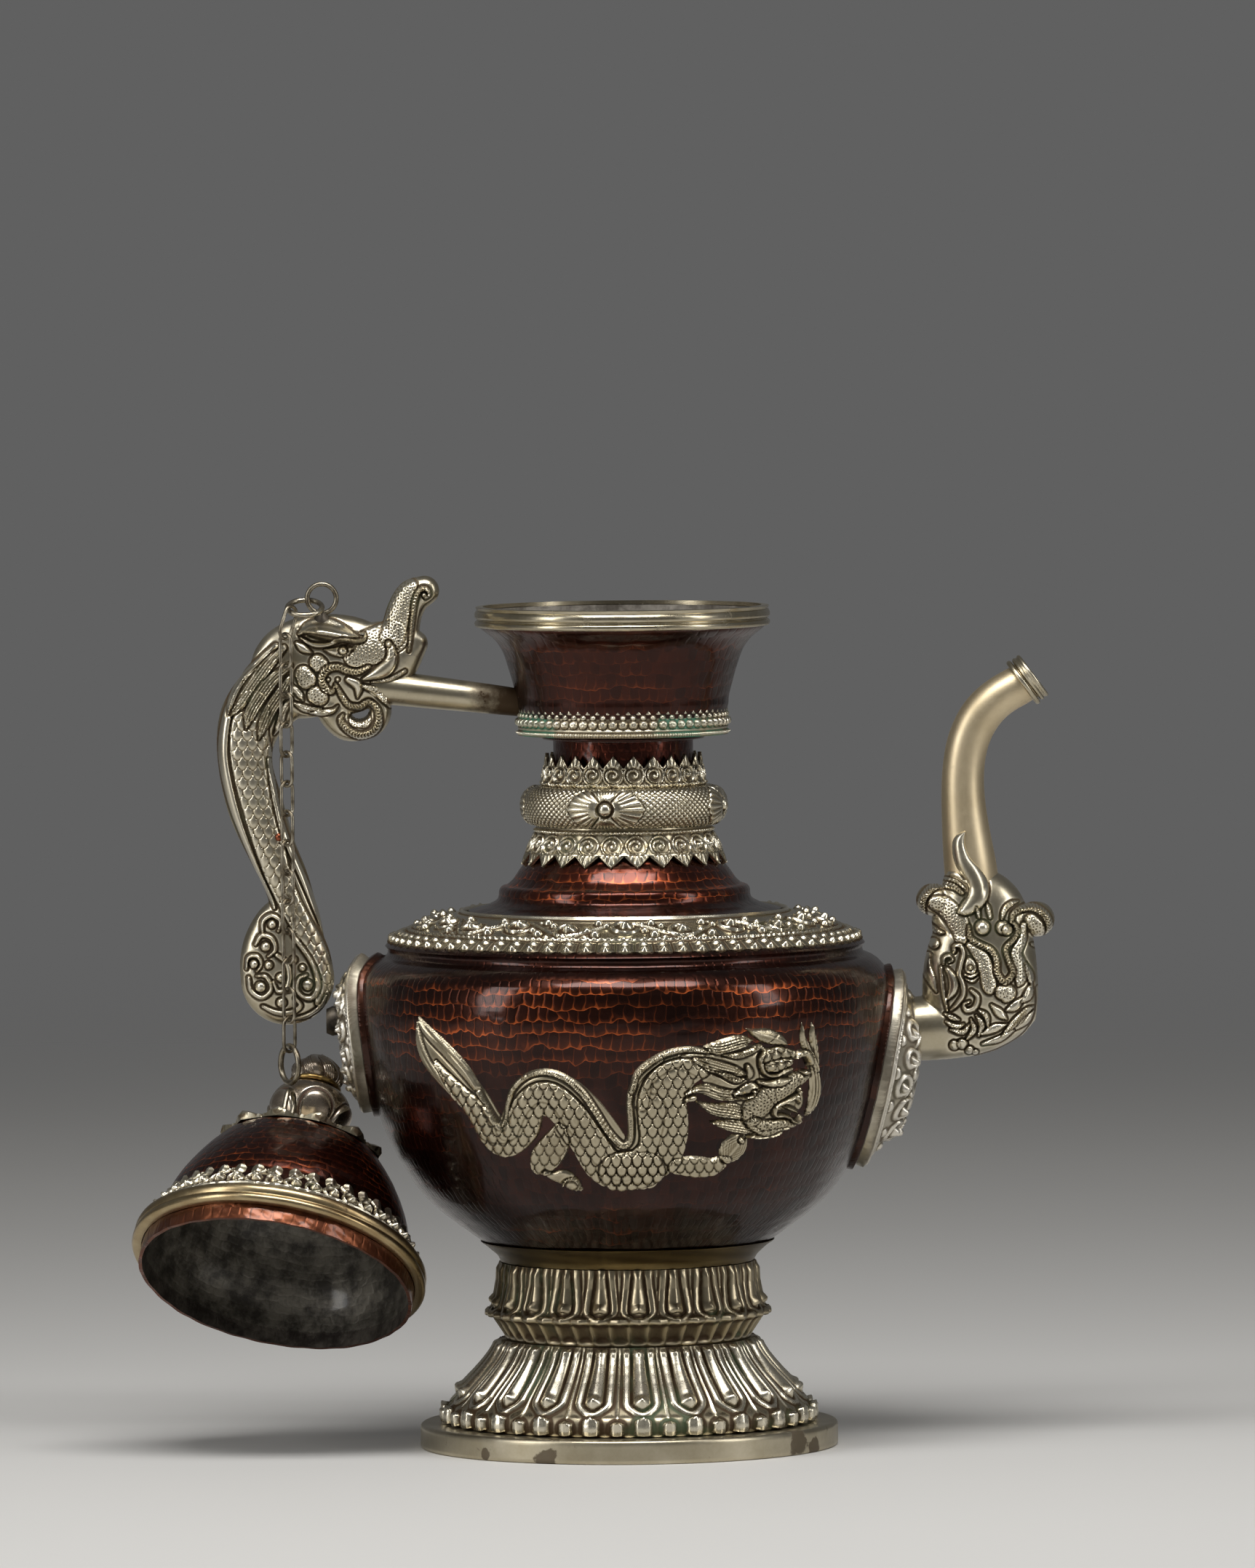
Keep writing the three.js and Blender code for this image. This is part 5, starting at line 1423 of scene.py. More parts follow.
@dataclass
class Chased:
    """A form drawn with strokes in an upright plane: its reach, its depth and the relief on it."""

    left: float
    low: float
    right: float
    high: float
    pitch: float = 0.32

    def __post_init__(self) -> None:
        """Lay out the grid."""
        self.wide = int((self.right - self.left) / self.pitch) + 1
        self.tall = int((self.high - self.low) / self.pitch) + 1
        self.x, self.z = np.meshgrid(
            self.left + self.pitch * np.arange(self.wide), self.low + self.pitch * np.arange(self.tall),
            indexing="ij",
        )
        self.edge = np.full(self.x.shape, 50.0)
        self.depth = np.zeros(self.x.shape)
        self.relief = np.zeros(self.x.shape)

    def course(self, path: Path, reach: float) -> tuple[Any, Grid, Grid, Grid, Grid, float]:
        """Measure a curved course through points.

        Args:
            path: Place and half width of each point.
            reach: How far beside the course it is measured.

        Returns:
            The window of the grid, the distance, the side, the place along, the half width there and
            the length.
        """
        points = np.array(path, float)
        if len(points) > 2:
            ends = np.vstack([2 * points[0] - points[1], points, 2 * points[-1] - points[-2]])
            t = np.linspace(0, 1, 5, endpoint=False)[:, None]
            parts = []
            for n in range(1, len(ends) - 2):
                a, b, c, d = ends[n - 1:n + 3]
                square, cube = (2 * a - 5 * b + 4 * c - d) * t ** 2, (3 * b - a - 3 * c + d) * t ** 3
                parts.append(0.5 * (2 * b + (c - a) * t + square + cube))
            points = np.vstack(parts + [points[-1:]])
        reach += points[:, 2].max()
        start = np.floor((points[:, :2].min(0) - reach - (self.left, self.low)) / self.pitch).astype(int)
        end = np.ceil((points[:, :2].max(0) + reach - (self.left, self.low)) / self.pitch).astype(int) + 1
        window = np.s_[max(start[0], 0):max(end[0], 0), max(start[1], 0):max(end[1], 0)]
        x, z = self.x[window], self.z[window]
        best, side = np.full(x.shape, 1e9), np.zeros(x.shape)
        along, half = np.zeros(x.shape), np.zeros(x.shape)
        length = 0.0
        for (x0, z0, w0), (x1, z1, w1) in zip(points, points[1:]):
            run = max(math.hypot(x1 - x0, z1 - z0), 1e-6)
            share = np.clip(((x - x0) * (x1 - x0) + (z - z0) * (z1 - z0)) / run ** 2, 0, 1)
            dx, dz = x - x0 - share * (x1 - x0), z - z0 - share * (z1 - z0)
            width = np.maximum(w0 + (w1 - w0) * share, 0.05)
            away = np.hypot(dx, dz)
            nearer = away - width < best
            best = np.where(nearer, away - width, best)
            side = np.where(nearer, np.sign((x1 - x0) * dz - (z1 - z0) * dx) * away, side)
            along = np.where(nearer, length + share * run, along)
            half = np.where(nearer, width, half)
            length += run
        return window, best, side, along, half, length

    def form(self, path: Path, depth: float | Sequence[float], flat: float = 2.0) -> None:
        """Add a full form with an oval section.

        Args:
            path: Place and half width of each point.
            depth: Half depth of its section, at each point or all along.
            flat: How flat its broad side is.
        """
        window, out, _, along, half, length = self.course(path, 6.0)
        if isinstance(depth, Sequence):
            depth = np.interp(along / length, np.linspace(0, 1, len(depth)), depth)
        inside = np.clip(-out / half, 0, 1)
        rise = depth * (1 - (1 - inside) ** flat) ** (1 / flat)
        self.depth[window] = np.where(out < 0, np.maximum(self.depth[window], rise), self.depth[window])
        self.edge[window] = np.minimum(self.edge[window], out)

    def cut_below(self, line: Outline, soft: float) -> None:
        """Cut a form away below a line.

        Args:
            line: Places along the line.
            soft: How far above it the form rounds off.
        """
        over = self.z - np.interp(self.x, *np.transpose(line))
        self.edge = np.maximum(self.edge, -over)
        near = np.clip(1 - over / soft, 0, 1)
        self.depth = self.depth * np.sqrt(np.clip(1 - near ** 2, 0, 1))

    def stroke(
        self, path: Path, rise: float, look: Look = Look.ROUND, step: float = 1.3, cut: float = 0.4,
        adds: bool = False,
        lift: float = 0.0,
    ) -> None:
        """Chase a stroke over what lies below it.

        Args:
            path: Place and half width of each point.
            rise: Its height.
            look: How its top is worked.
            step: Distance of its ribs, hatches or scales.
            cut: Depth of the groove round it.
            adds: Whether it also widens the form.
            lift: Height of its edge over the ground.
        """
        window, out, side, along, half, _ = self.course(path, 1.4)
        inside = np.clip(-out / half, 0, 1)
        dome = np.sqrt(inside * (2 - inside))
        across, aside = side / half, np.abs(side)
        work = {
            Look.ROUND: lambda: dome,
            Look.FLAT: lambda: np.minimum(1, 2.4 * inside),
            Look.ROPED: lambda: dome * (0.78 + 0.26 * np.cos((along + 0.7 * aside) * TURN / step)),
            Look.RIBBED: lambda: dome * (0.66 + 0.36 * np.abs(np.sin((along + 1.2 * aside) * np.pi / step))),
            Look.COMBED: lambda: dome * 0.85 + 0.15 * np.cos(side * TURN / step),
            Look.SCALED: lambda: dome * 0.35 + 0.65 * scales(
                -self.z[window], self.x[window], step, step * 1.05,
            ),
            Look.LEAF: lambda: dome * 0.75 + 0.12 * np.cos(
                (along - 1.4 * aside) * TURN / step
            ) * np.abs(across)
            + 0.16 * hill(across, 0.22),
            Look.PITTED: lambda: dome,
        }[look]()
        ground = self.relief[window]
        groove = cut * hill(out - 0.15, 0.75)
        raised = ground * 0.45 + lift + rise * work
        self.relief[window] = np.where(out < 0, raised, ground) - groove * (out > -0.3)
        if look is Look.PITTED:
            self.pits(path, step)
        if adds:
            self.edge[window] = np.minimum(self.edge[window], out)

    def pits(self, path: Path, step: float, depth: float = 0.6) -> None:
        """Punch rows of small pits over the inside of a stroke.

        Args:
            path: Place and half width of each point of the stroke.
            step: Distance of the pits.
            depth: Their depth.
        """
        window, out, *_ = self.course(path, 0.5)
        x, z = self.x[window] / step, self.z[window] / step
        column = np.floor(x)
        row = np.floor(z + 0.5 * (column % 2))
        dx = x - column - 0.5 + 0.17 * np.sin(7.3 * column + 3.1 * row)
        dz = z + 0.5 * (column % 2) - row - 0.5 + 0.17 * np.sin(5.1 * row - 2.3 * column)
        self.relief[window] -= depth * hill(np.hypot(dx, dz) * step, 0.42) * (out < -0.35)

    def ball(self, x: float, z: float, radius: float, rise: float, pupil: float = 0.0) -> None:
        """Chase a ball, with a ring cut round its middle where it is an eye.

        Args:
            x, z: Its middle.
            radius: Its radius.
            rise: Its height.
            pupil: Radius of the ring, or 0.
        """
        away = np.hypot(self.x - x, self.z - z)
        dome = np.sqrt(np.clip(1 - (away / radius) ** 2, 0, 1))
        self.relief = np.where(away < radius, self.relief * 0.4 + rise * dome, self.relief)
        self.relief -= 0.45 * hill(away - radius - 0.1, 0.7)
        if pupil:
            self.relief -= 0.3 * hill(away - pupil, 0.4)

    def work(self, sheet: Sheet, strokes: Strokes, balls: Balls = (), adds: bool = False) -> None:
        """Chase what is drawn on a sheet: its strokes, then its balls.

        Args:
            sheet: The sheet.
            strokes: Look, height, distance of the ribs and course of each stroke.
            balls: Place, radius, height and pupil of each ball.
            adds: Whether the strokes are the form itself.
        """
        for look, rise, step, path in strokes:
            self.stroke([sheet.place(*point) for point in path], rise, look, step, adds=adds)
        for x, y, radius, rise, pupil in balls:
            self.ball(*sheet.place(x, y, radius), rise, pupil)

    def crests(self, times: int = 8) -> Grid:
        """Give the crest of each corner."""
        return np.clip((self.relief - blurred(self.relief, times, False)) / 0.26, -1, 1)

    def squares(self, keep: Grid) -> Grid:
        """Give the squares of the grid that have a corner to keep.

        Args:
            keep: Whether each corner is kept.

        Returns:
            The four corners of each square.
        """
        number = np.arange(keep.size).reshape(keep.shape)
        corners = (np.s_[:-1, :-1], np.s_[1:, :-1], np.s_[1:, 1:], np.s_[:-1, 1:])
        wanted = np.logical_or.reduce([keep[corner] for corner in corners])
        return np.stack([number[corner] for corner in corners], -1)[wanted]

    def sides(self, soft: float = 1.0) -> Skin:
        """Give both sides of a form that stands free, closed round its edge.

        Args:
            soft: How far from the edge the relief fades in.

        Returns:
            The surface, on both sides of its plane.
        """
        inside = self.edge < 0
        grad = np.stack(np.gradient(self.edge, self.pitch))
        grad /= np.maximum(np.hypot(*grad), 0.3)
        out = np.clip(self.edge, 0, None) * (~inside)
        x, z = self.x - grad[0] * out, self.z - grad[1] * out
        fade = smooth(0.0, soft, -self.edge)
        y = np.where(inside, np.maximum(self.depth + self.relief * fade, 0.12), 0.0)
        crest = self.crests()
        front = np.stack([x, -y, z], -1).reshape(-1, 3)
        behind = np.stack([x, y, z], -1).reshape(-1, 3)
        quads = self.squares(inside)
        shared = np.where(inside.ravel(), np.arange(x.size) + x.size, np.arange(x.size))
        faces = np.vstack([quads, shared[quads][:, ::-1]])
        return trimmed(Skin(np.vstack([front, behind]), faces, np.concatenate([crest.ravel()] * 2)))

    def laid(
        self, surface: Callable[[Grid, Grid, Grid], Grid], under: float = -1.0, slope: float = 2.6,
    ) -> Skin:
        """Give a form laid on another surface, its edge sunk into it.

        Args:
            surface: Gives places from the plane's two directions and a height.
            under: How deep the edge sinks.
            slope: How steeply it falls.

        Returns:
            The surface.
        """
        height = np.where(self.edge < 0, self.depth + self.relief, 0.0)
        height = np.maximum(height, 0.25) * smooth(0.05, -0.55, self.edge) + np.clip(
            -self.edge * slope, under, 0.0,
        )
        quads = self.squares(height > under + 0.05)
        places = surface(self.x, self.z, height).reshape(-1, 3)
        return trimmed(Skin(places, quads, self.crests().ravel()))


def trimmed(skin: Skin) -> Skin:
    """Leave out the corners that no face uses."""
    used, faces = np.unique(skin.faces, return_inverse=True)
    return Skin(skin.corners[used], faces.reshape(skin.faces.shape), skin.crest[used])


def swept(
    path: Any, radius: Any, sides: int = 12, closed: bool = False, squash: float = 1.0, bore: float = 0.0,
    deep: int = 8,
) -> Skin:
    """Sweep a round bar along points.

    Args:
        path: The points, in millimetres.
        radius: Its radius, at each point or all along.
        sides: Corners round it.
        closed: Whether it runs back into its start.
        squash: Depth of its section as a share of its width.
        bore: Radius of a hole in its end.
        deep: Points that the hole reaches back.

    Returns:
        The surface.
    """
    line = np.array(path, float)
    count = len(line)
    radii = np.broadcast_to(np.array(radius, float), (count,))
    if closed:
        ahead = np.roll(line, -1, 0) - np.roll(line, 1, 0)
    else:
        ahead = np.gradient(line, axis=0)
    ahead /= np.linalg.norm(ahead, axis=1)[:, None]
    middle = line.mean(0)
    flat = np.linalg.svd(line - middle)[2][2] if count > 2 else np.array([0.0, 1.0, 0.0])
    if abs(flat @ ahead[0]) > 0.9:
        flat = np.array([0.0, 1.0, 0.0])
    out = np.cross(ahead, flat)
    out /= np.linalg.norm(out, axis=1)[:, None]
    over = np.cross(out, ahead)
    angle = np.linspace(0, TURN, sides, endpoint=False)[None, :, None]
    ring = np.cos(angle) * out[:, None] + squash * np.sin(angle) * over[:, None]
    corners = line[:, None] + radii[:, None, None] * ring
    if not closed:
        inner = (line[:, None] + bore * ring)[:-deep - 1:-1] if bore else line[-1:, None] + 0.02 * ring[-1:]
        end = line[-deep, None] + 0.02 * ring[-deep:][:1] if bore else inner[:0]
        corners = np.concatenate([line[:1, None] + 0.02 * ring[:1], corners, inner, end])
    return Skin(
        corners.reshape(-1, 3), tube_faces(len(corners), sides, closed), np.zeros(corners.shape[0] * sides),
    )


# Handle


GRIP: Stations = (
    (-0.15, 0.745, 0.078, 0.385), (-0.18, 0.714, 0.073, 0.385), (-0.2, 0.68, 0.07, 0.385),
    (-0.212, 0.631, 0.063, 0.385), (-0.211, 0.578, 0.06, 0.385), (-0.202, 0.534, 0.061, 0.385),
    (-0.19, 0.491, 0.062, 0.385), (-0.175, 0.447, 0.059, 0.385), (-0.153, 0.391, 0.054, 0.385),
    (-0.127, 0.332, 0.051, 0.385), (-0.112, 0.28, 0.051, 0.38), (-0.112, 0.242, 0.062, 0.385),
    (-0.123, 0.208, 0.08, 0.395), (-0.129, 0.174, 0.092, 0.405), (-0.127, 0.143, 0.101, 0.41),
    (-0.123, 0.109, 0.104, 0.41),
)
HEAD: Stations = (
    (-0.146, 0.748, 0.081, 0.406), (-0.115, 0.78, 0.084, 0.4), (-0.087, 0.795, 0.109, 0.456),
    (-0.043, 0.805, 0.112, 0.489), (0.006, 0.804, 0.111, 0.5), (0.056, 0.807, 0.091, 0.478),
    (0.099, 0.823, 0.078, 0.444), (0.137, 0.842, 0.053, 0.389), (0.168, 0.851, 0.028, 0.289),
)
TRUNK: Stations = (
    (0.127, 0.839, 0.053, 0.389), (0.135, 0.882, 0.043, 0.356), (0.145, 0.922, 0.04, 0.333),
    (0.163, 0.954, 0.039, 0.311), (0.189, 0.968, 0.033, 0.289),
)
CHIN: Stations = (
    (-0.025, 0.739, 0.04, 0.389), (-0.015, 0.699, 0.035, 0.378), (0.009, 0.668, 0.03, 0.356),
    (0.04, 0.66, 0.025, 0.344), (0.071, 0.67, 0.025, 0.344), (0.088, 0.696, 0.025, 0.344),
    (0.087, 0.73, 0.025, 0.344),
)
BROW: Stations = (
    (-0.084, 0.885, 0.01, 0.42), (-0.043, 0.88, 0.016, 0.92), (0, 0.873, 0.015, 0.92),
    (0.037, 0.867, 0.012, 0.92),
    (0.062, 0.87, 0.007, 0.42),
)
GRIP_STROKES: Strokes = (
    (Look.SCALED, 1.5, 3.5, (
        (192, 200, 62), (176, 300, 74), (184, 400, 80), (202, 500, 78), (224, 610, 70), (250, 720, 62),
        (270, 800, 54), (296, 880, 48), (332, 960, 44), (375, 1040, 42), (420, 1120, 40), (455, 1200, 36),
        (472, 1270, 34), (455, 1340, 28),
    )),
    (Look.ROUND, 1.5, 1, (
        (150, 80, 12), (105, 190, 17), (80, 300, 20), (75, 400, 20), (92, 500, 19), (118, 600, 17),
        (145, 680, 14),
        (180, 770, 12), (218, 860, 10), (255, 935, 9), (272, 980, 7),
    )),
    (Look.ROUND, 1.5, 1, (
        (252, 410, 9), (265, 500, 12), (285, 600, 13), (312, 700, 14), (350, 790, 14), (393, 890, 14),
        (435, 990, 14), (475, 1090, 14), (508, 1170, 14), (525, 1240, 13), (518, 1300, 12), (480, 1370, 10),
        (420, 1405, 8),
    )),
    (Look.ROUND, 1.5, 1, (
        (330, 1060, 7), (362, 1110, 9), (405, 1170, 10), (432, 1230, 11), (440, 1285, 12), (418, 1325, 11),
        (382, 1322, 9), (360, 1292, 8), (368, 1252, 7), (395, 1238, 6),
    )),
    (Look.ROUND, 1.3, 1, ((226, 1075, 6), (228, 1030, 9), (262, 1008, 9), (295, 1030, 8), (288, 1068, 6))),
    (Look.ROUND, 1.3, 1, ((200, 1120, 7), (222, 1086, 9), (262, 1096, 9), (275, 1140, 8), (250, 1166, 6))),
    (Look.ROUND, 1.3, 1, ((163, 1215, 6), (170, 1172, 8), (205, 1165, 8), (222, 1196, 7), (205, 1224, 5))),
    (Look.ROUND, 1.4, 1, (
        (172, 1250, 8), (182, 1300, 9), (225, 1325, 10), (260, 1290, 9), (240, 1244, 8), (205, 1242, 6),
    )),
    (Look.ROUND, 1.4, 1, (
        (280, 1160, 8), (318, 1190, 10), (330, 1240, 11), (318, 1290, 10), (285, 1300, 8), (268, 1265, 6),
    )),
    (Look.ROUND, 1.3, 1, ((228, 1360, 7), (275, 1382, 10), (330, 1385, 11), (372, 1358, 9), (352, 1325, 7))),
    (Look.ROUND, 1.2, 1, ((340, 1408, 6), (400, 1395, 9), (450, 1360, 9), (470, 1320, 6))),
)
MANE_STROKES: Strokes = (
    (Look.COMBED, 1.7, 0.95, ((160, 470, 16), (70, 560, 26), (-20, 650, 28), (-80, 760, 24), (-105, 850, 6))),
    (Look.COMBED, 2.0, 0.95, ((205, 480, 16), (120, 570, 34), (40, 680, 42), (-30, 780, 34), (-85, 855, 5))),
    (Look.COMBED, 2.2, 0.95, ((235, 580, 18), (150, 650, 34), (80, 740, 42), (20, 840, 36), (-5, 930, 4))),
    (Look.COMBED, 2.3, 0.95, ((235, 650, 18), (190, 730, 34), (130, 820, 38), (90, 910, 30), (66, 985, 4))),
    (Look.COMBED, 1.8, 0.95, ((245, 760, 10), (200, 830, 22), (180, 900, 20), (150, 960, 4))),
)
GRIP_BALLS: Balls = (
    (262, 1042, 18, 1.7, 0), (238, 1128, 20, 1.7, 0), (192, 1196, 18, 1.6, 0), (218, 1284, 22, 1.8, 0),
    (296, 1248, 18, 1.7, 0), (400, 1276, 22, 1.9, 0), (300, 1345, 20, 1.5, 0), (250, 1200, 17, 1.6, 0),
    (345, 1180, 16, 1.5, 0), (380, 1210, 14, 1.3, 0),
)
HEAD_STROKES: Strokes = (
    (Look.PITTED, 0.9, 1.15, ((600, 520, 70), (700, 470, 100), (800, 420, 90))),
    (Look.PITTED, 0.9, 1.15, ((800, 420, 70), (830, 300, 66), (865, 200, 60), (900, 140, 38))),
    (Look.PITTED, 1.6, 1.2, ((390, 560, 46), (402, 572, 46))),
    (Look.PITTED, 1.8, 1.2, ((312, 625, 48), (330, 655, 54))),
    (Look.PITTED, 1.7, 1.2, ((380, 740, 50), (398, 752, 50))),
    (Look.COMBED, 1.4, 0.95, ((245, 690, 12), (285, 730, 20), (310, 770, 6))),
    (Look.COMBED, 1.4, 0.95, ((262, 785, 10), (320, 815, 22), (385, 825, 18), (410, 815, 5))),
    (Look.COMBED, 1.3, 0.95, ((350, 840, 8), (410, 838, 18), (470, 828, 14), (500, 800, 5))),
    (Look.LEAF, 1.9, 0.7, ((290, 405, 10), (350, 365, 34), (450, 365, 46), (540, 395, 30), (612, 418, 4))),
    (Look.ROUND, 1.7, 1, (
        (298, 425, 7), (360, 462, 13), (440, 464, 14), (520, 434, 15), (590, 442, 16), (642, 436, 11),
        (648, 405, 8), (622, 402, 5),
    )),
    (Look.LEAF, 1.3, 0.6, ((430, 490, 6), (480, 500, 22), (535, 498, 30), (588, 478, 6))),
    (Look.ROUND, 1.5, 1, ((275, 455, 10), (310, 482, 24), (358, 508, 5))),
    (Look.ROUND, 2.2, 1, ((778, 455, 18), (796, 500, 26), (790, 560, 36), (740, 612, 40), (640, 652, 8))),
    (Look.ROPED, 1.7, 1.15, (
        (890, 500, 8), (902, 400, 12), (912, 300, 14), (924, 220, 15), (950, 165, 15), (985, 158, 13),
        (1002, 188, 11), (980, 208, 8),
    )),
    (Look.ROPED, 1.9, 1.15, (
        (672, 585, 12), (610, 612, 18), (555, 606, 20), (500, 585, 20), (442, 598, 22), (412, 645, 23),
        (430, 702, 22), (468, 722, 14), (488, 690, 9),
    )),
    (Look.ROUND, 1.5, 1, ((560, 655, 18), (612, 690, 26), (608, 755, 5))),
    (Look.PITTED, 0.6, 0.9, ((600, 880, 40), (640, 880, 44))),
    (Look.ROPED, 1.9, 1.15, (
        (488, 680, 9), (520, 742, 15), (560, 796, 17), (620, 806, 18), (668, 780, 18), (714, 818, 20),
        (724, 890, 22), (690, 945, 22), (620, 965, 22), (552, 930, 20), (516, 880, 17), (528, 850, 8),
    )),
    (Look.RIBBED, 1.5, 1.1, ((640, 690, 12), (705, 715, 22), (755, 762, 22), (790, 800, 14))),
    (Look.PITTED, 0.8, 0.9, ((690, 668, 8), (790, 652, 14), (870, 610, 10))),
)
HEAD_BALLS: Balls = (
    (530, 494, 25, 1.6, 0), (567, 486, 13, 1.5, 0), (780, 460, 19, 2.3, 0), (974, 192, 14, 1.9, 0),
    (447, 655, 11, 0.9, 0), (500, 655, 12, 0.9, 0),
)


@dataclass
class Handle:
    """The handle: a scaled grip that ends in a bulb, a makara head, and the strut that the head swallows."""

    corner: tuple[float, float] = (-101.0, 151.0)
    height: float = 161.0
    depth: float = 15.5
    eye: Place = (-107.2, -2.9, 304.4)
    eye_radius: float = 5.2
    eye_wire: float = 0.9
    strut: Outline = ((-94.0, 273.6), (-86.0, 272.6), (-70.0, 270.6), (-50.0, 268.2), (-36.2, 266.4))
    strut_radii: tuple[float, ...] = (5.6, 6.3, 5.9, 5.3, 4.8)
    solder: Place = (-107.0, -96.0, 153.0)
    rivet: Place = (-123.1, -6.6, 219.4)
    grip_sheet: Sheet = Sheet(-149.6, 285.2, 0.26 / 2.8)
    head_sheet: Sheet = Sheet(-133.8, 318.4, 0.26 / 4)

    def blank(self, window: Window, forms: Sequence[Stations]) -> Chased:
        """Give the plane of a part with its plain masses.

        Args:
            window: Left, low, right and high edge of the plane.
            forms: The stations of each mass.

        Returns:
            The plane.
        """
        plane = Chased(*window, pitch=0.28)
        for shares in forms:
            stations = placed(shares, *self.corner, self.height, self.depth)
            plane.form([row[:3] for row in stations], [row[3] for row in stations], 2.3)
        plane.depth = blurred(plane.depth, 5, False)
        return plane

    def build(self, shop: Shop) -> None:
        """Build the handle.

        Args:
            shop: Where it is finished and put in place.
        """
        grip = self.blank((-148.0, 142.0, -98.0, 286.0), (GRIP,))
        grip.work(self.grip_sheet, GRIP_STROKES, GRIP_BALLS)
        grip.work(self.head_sheet, MANE_STROKES)
        shop.place("grip", grip.sides(1.4), SILVERY, ("handle_grip",))
        head = self.blank((-142.0, 248.0, -60.0, 316.0), (HEAD, TRUNK, CHIN, BROW))
        head.work(self.head_sheet, MANE_STROKES)
        head.work(self.head_sheet, HEAD_STROKES, HEAD_BALLS)
        shop.place("handle_makara", head.sides(1.4), SILVERY, ("handle_head",))
        line = smoothed(self.strut, 2)
        radii = np.interp(
            np.linspace(0, 1, len(line)), np.linspace(0, 1, len(self.strut_radii)), self.strut_radii,
        )
        strut = swept([(x, 0, z) for x, z in line], radii, 24)
        shop.place("strut", strut, STRUT_METAL, ("handle_strut",))
        start, end, level = self.solder
        stub = swept([(x, 0, level) for x in np.linspace(start, end, 6)], (4.4, 5.4, 5.0, 5.2, 5.6, 5.2), 20)
        shop.place("handle_solder", stub, SOLDERED, ("handle_stub",))
        x, y, z = self.eye
        turn = np.linspace(0, TURN, 40, endpoint=False)
        ring = [(x + self.eye_radius * math.cos(a), y, z + self.eye_radius * math.sin(a)) for a in turn]
        shop.place("eye", swept(ring, self.eye_wire, 12, True), WIRE, ("handle_eye",))
        blob = [(x, y, z - self.eye_radius - drop) for drop in (-0.9, 0.4, 1.4, 2.4, 3.6)]
        shop.place("eye_solder", swept(blob, (0.7, 1.9, 2.5, 3.0, 3.2), 16), SOLDERED)
        x, y, z = self.rivet
        dome = [(x, y - out, z) for out in (0.0, 0.7, 1.1, 1.3)]
        shop.place("rivet", swept(dome, (1.5, 1.4, 0.9, 0.3), 16), BARE_COPPER, ("handle_rivet",))


# Chain


@dataclass
class Chain:
    """The chain: a ring through the eye, long links set crosswise, and the ring that holds the lid."""

    count: int = 15
    length: float = 13.45
    width: float = 6.8
    wire: float = 0.65
    lean: float = math.radians(24)
    turn: float = math.radians(45)
    gap: float = 0.3
    cross_gap: float = 0.55
    top: Place = (-113.2, -6.0, 301.3)
    top_radius: float = 6.15
    top_wire: float = 1.0
    top_tilt: float = math.radians(24)
    hook: float = math.radians(141)
    low_radius: float = 6.6
    low_wire: float = 1.05
    low_turn: float = math.radians(-60)

    def link(self) -> Skin:
        """Give one link, its long axis along Z.

        Returns:
            Its surface.
        """
        bend, draw = self.width / 2 - self.wire, (self.length - self.width) / 2
        turn = np.linspace(0, TURN, 44, endpoint=False)
        line = [(0, bend * math.cos(a), bend * math.sin(a) + draw * math.tanh(9 * math.sin(a))) for a in turn]
        return swept(line, self.wire, 12, True)

    def frame(self, place: Vector, lean: float, turn: float) -> Matrix:
        """Give the frame of a link."""
        return Matrix.Translation(place) @ Euler((-lean, 0, turn - math.pi / 2)).to_matrix().to_4x4()

    def build(self, shop: Shop) -> Vector:
        """Build the chain.

        Args:
            shop: Where it is finished and hung.

        Returns:
            The foot of the lowest ring's wire, in millimetres from the axis.
        """
        axis = Matrix.Translation(shop.axis)
        around = np.linspace(0, TURN, 40, endpoint=False)
        tilt = Matrix.Translation(Vector(self.top)) @ Matrix.Rotation(self.top_tilt, 4, "X")
        circle = [(self.top_radius * math.cos(a), self.top_radius * math.sin(a), 0) for a in around]
        ring = swept(circle, self.top_wire, 12, True)
        shop.place("top_ring_wire", ring.moved(tilt), WIRE, ("top_ring",), "top_ring")
        out = self.top_radius
        hook = tilt @ Vector((out * math.cos(self.hook), -out * math.sin(self.hook), 0))
        reach, draw = self.length / 2 - self.wire, (self.length - self.width) / 2
        bend = self.width / 2 - self.wire
        hang, clear = hook, self.top_wire + self.wire + self.cross_gap
        for number in range(1, self.count + 1):
            lean = self.lean if number == 1 else 0.0
            turn = self.turn if number % 2 else -self.turn
            along = Euler((-lean, 0, turn - math.pi / 2)).to_matrix() @ Vector((0, 0, -1))
            away = along if number == 1 else Vector((0, 0, -1))
            place = hang - away * clear + along * reach
            frame = axis @ Matrix.Translation(place * MM - place) @ self.frame(place, lean, turn)
            node = f"chain_link_{number:02d}"
            shop.place(f"link_{number:02d}", self.link(), WIRE, (node,), node, frame)
            hang = place + along * draw + Vector((0, 0, -bend))
            clear = 2 * self.wire + (self.cross_gap if number == 1 else self.gap)
        low = hang + Vector((0, 0, self.wire + self.low_wire + self.gap - self.low_radius))
        swing = Matrix.Translation(low) @ Matrix.Rotation(self.low_turn, 4, "Z")
        circle = [(self.low_radius * math.cos(a), 0, self.low_radius * math.sin(a)) for a in around]
        ring = swept(circle, self.low_wire, 12, True)
        shop.place("lid_ring_wire", ring.moved(swing), WIRE, ("lid_ring",), "lid_ring")
        return low + Vector((0, 0, -self.low_radius))


# Spout


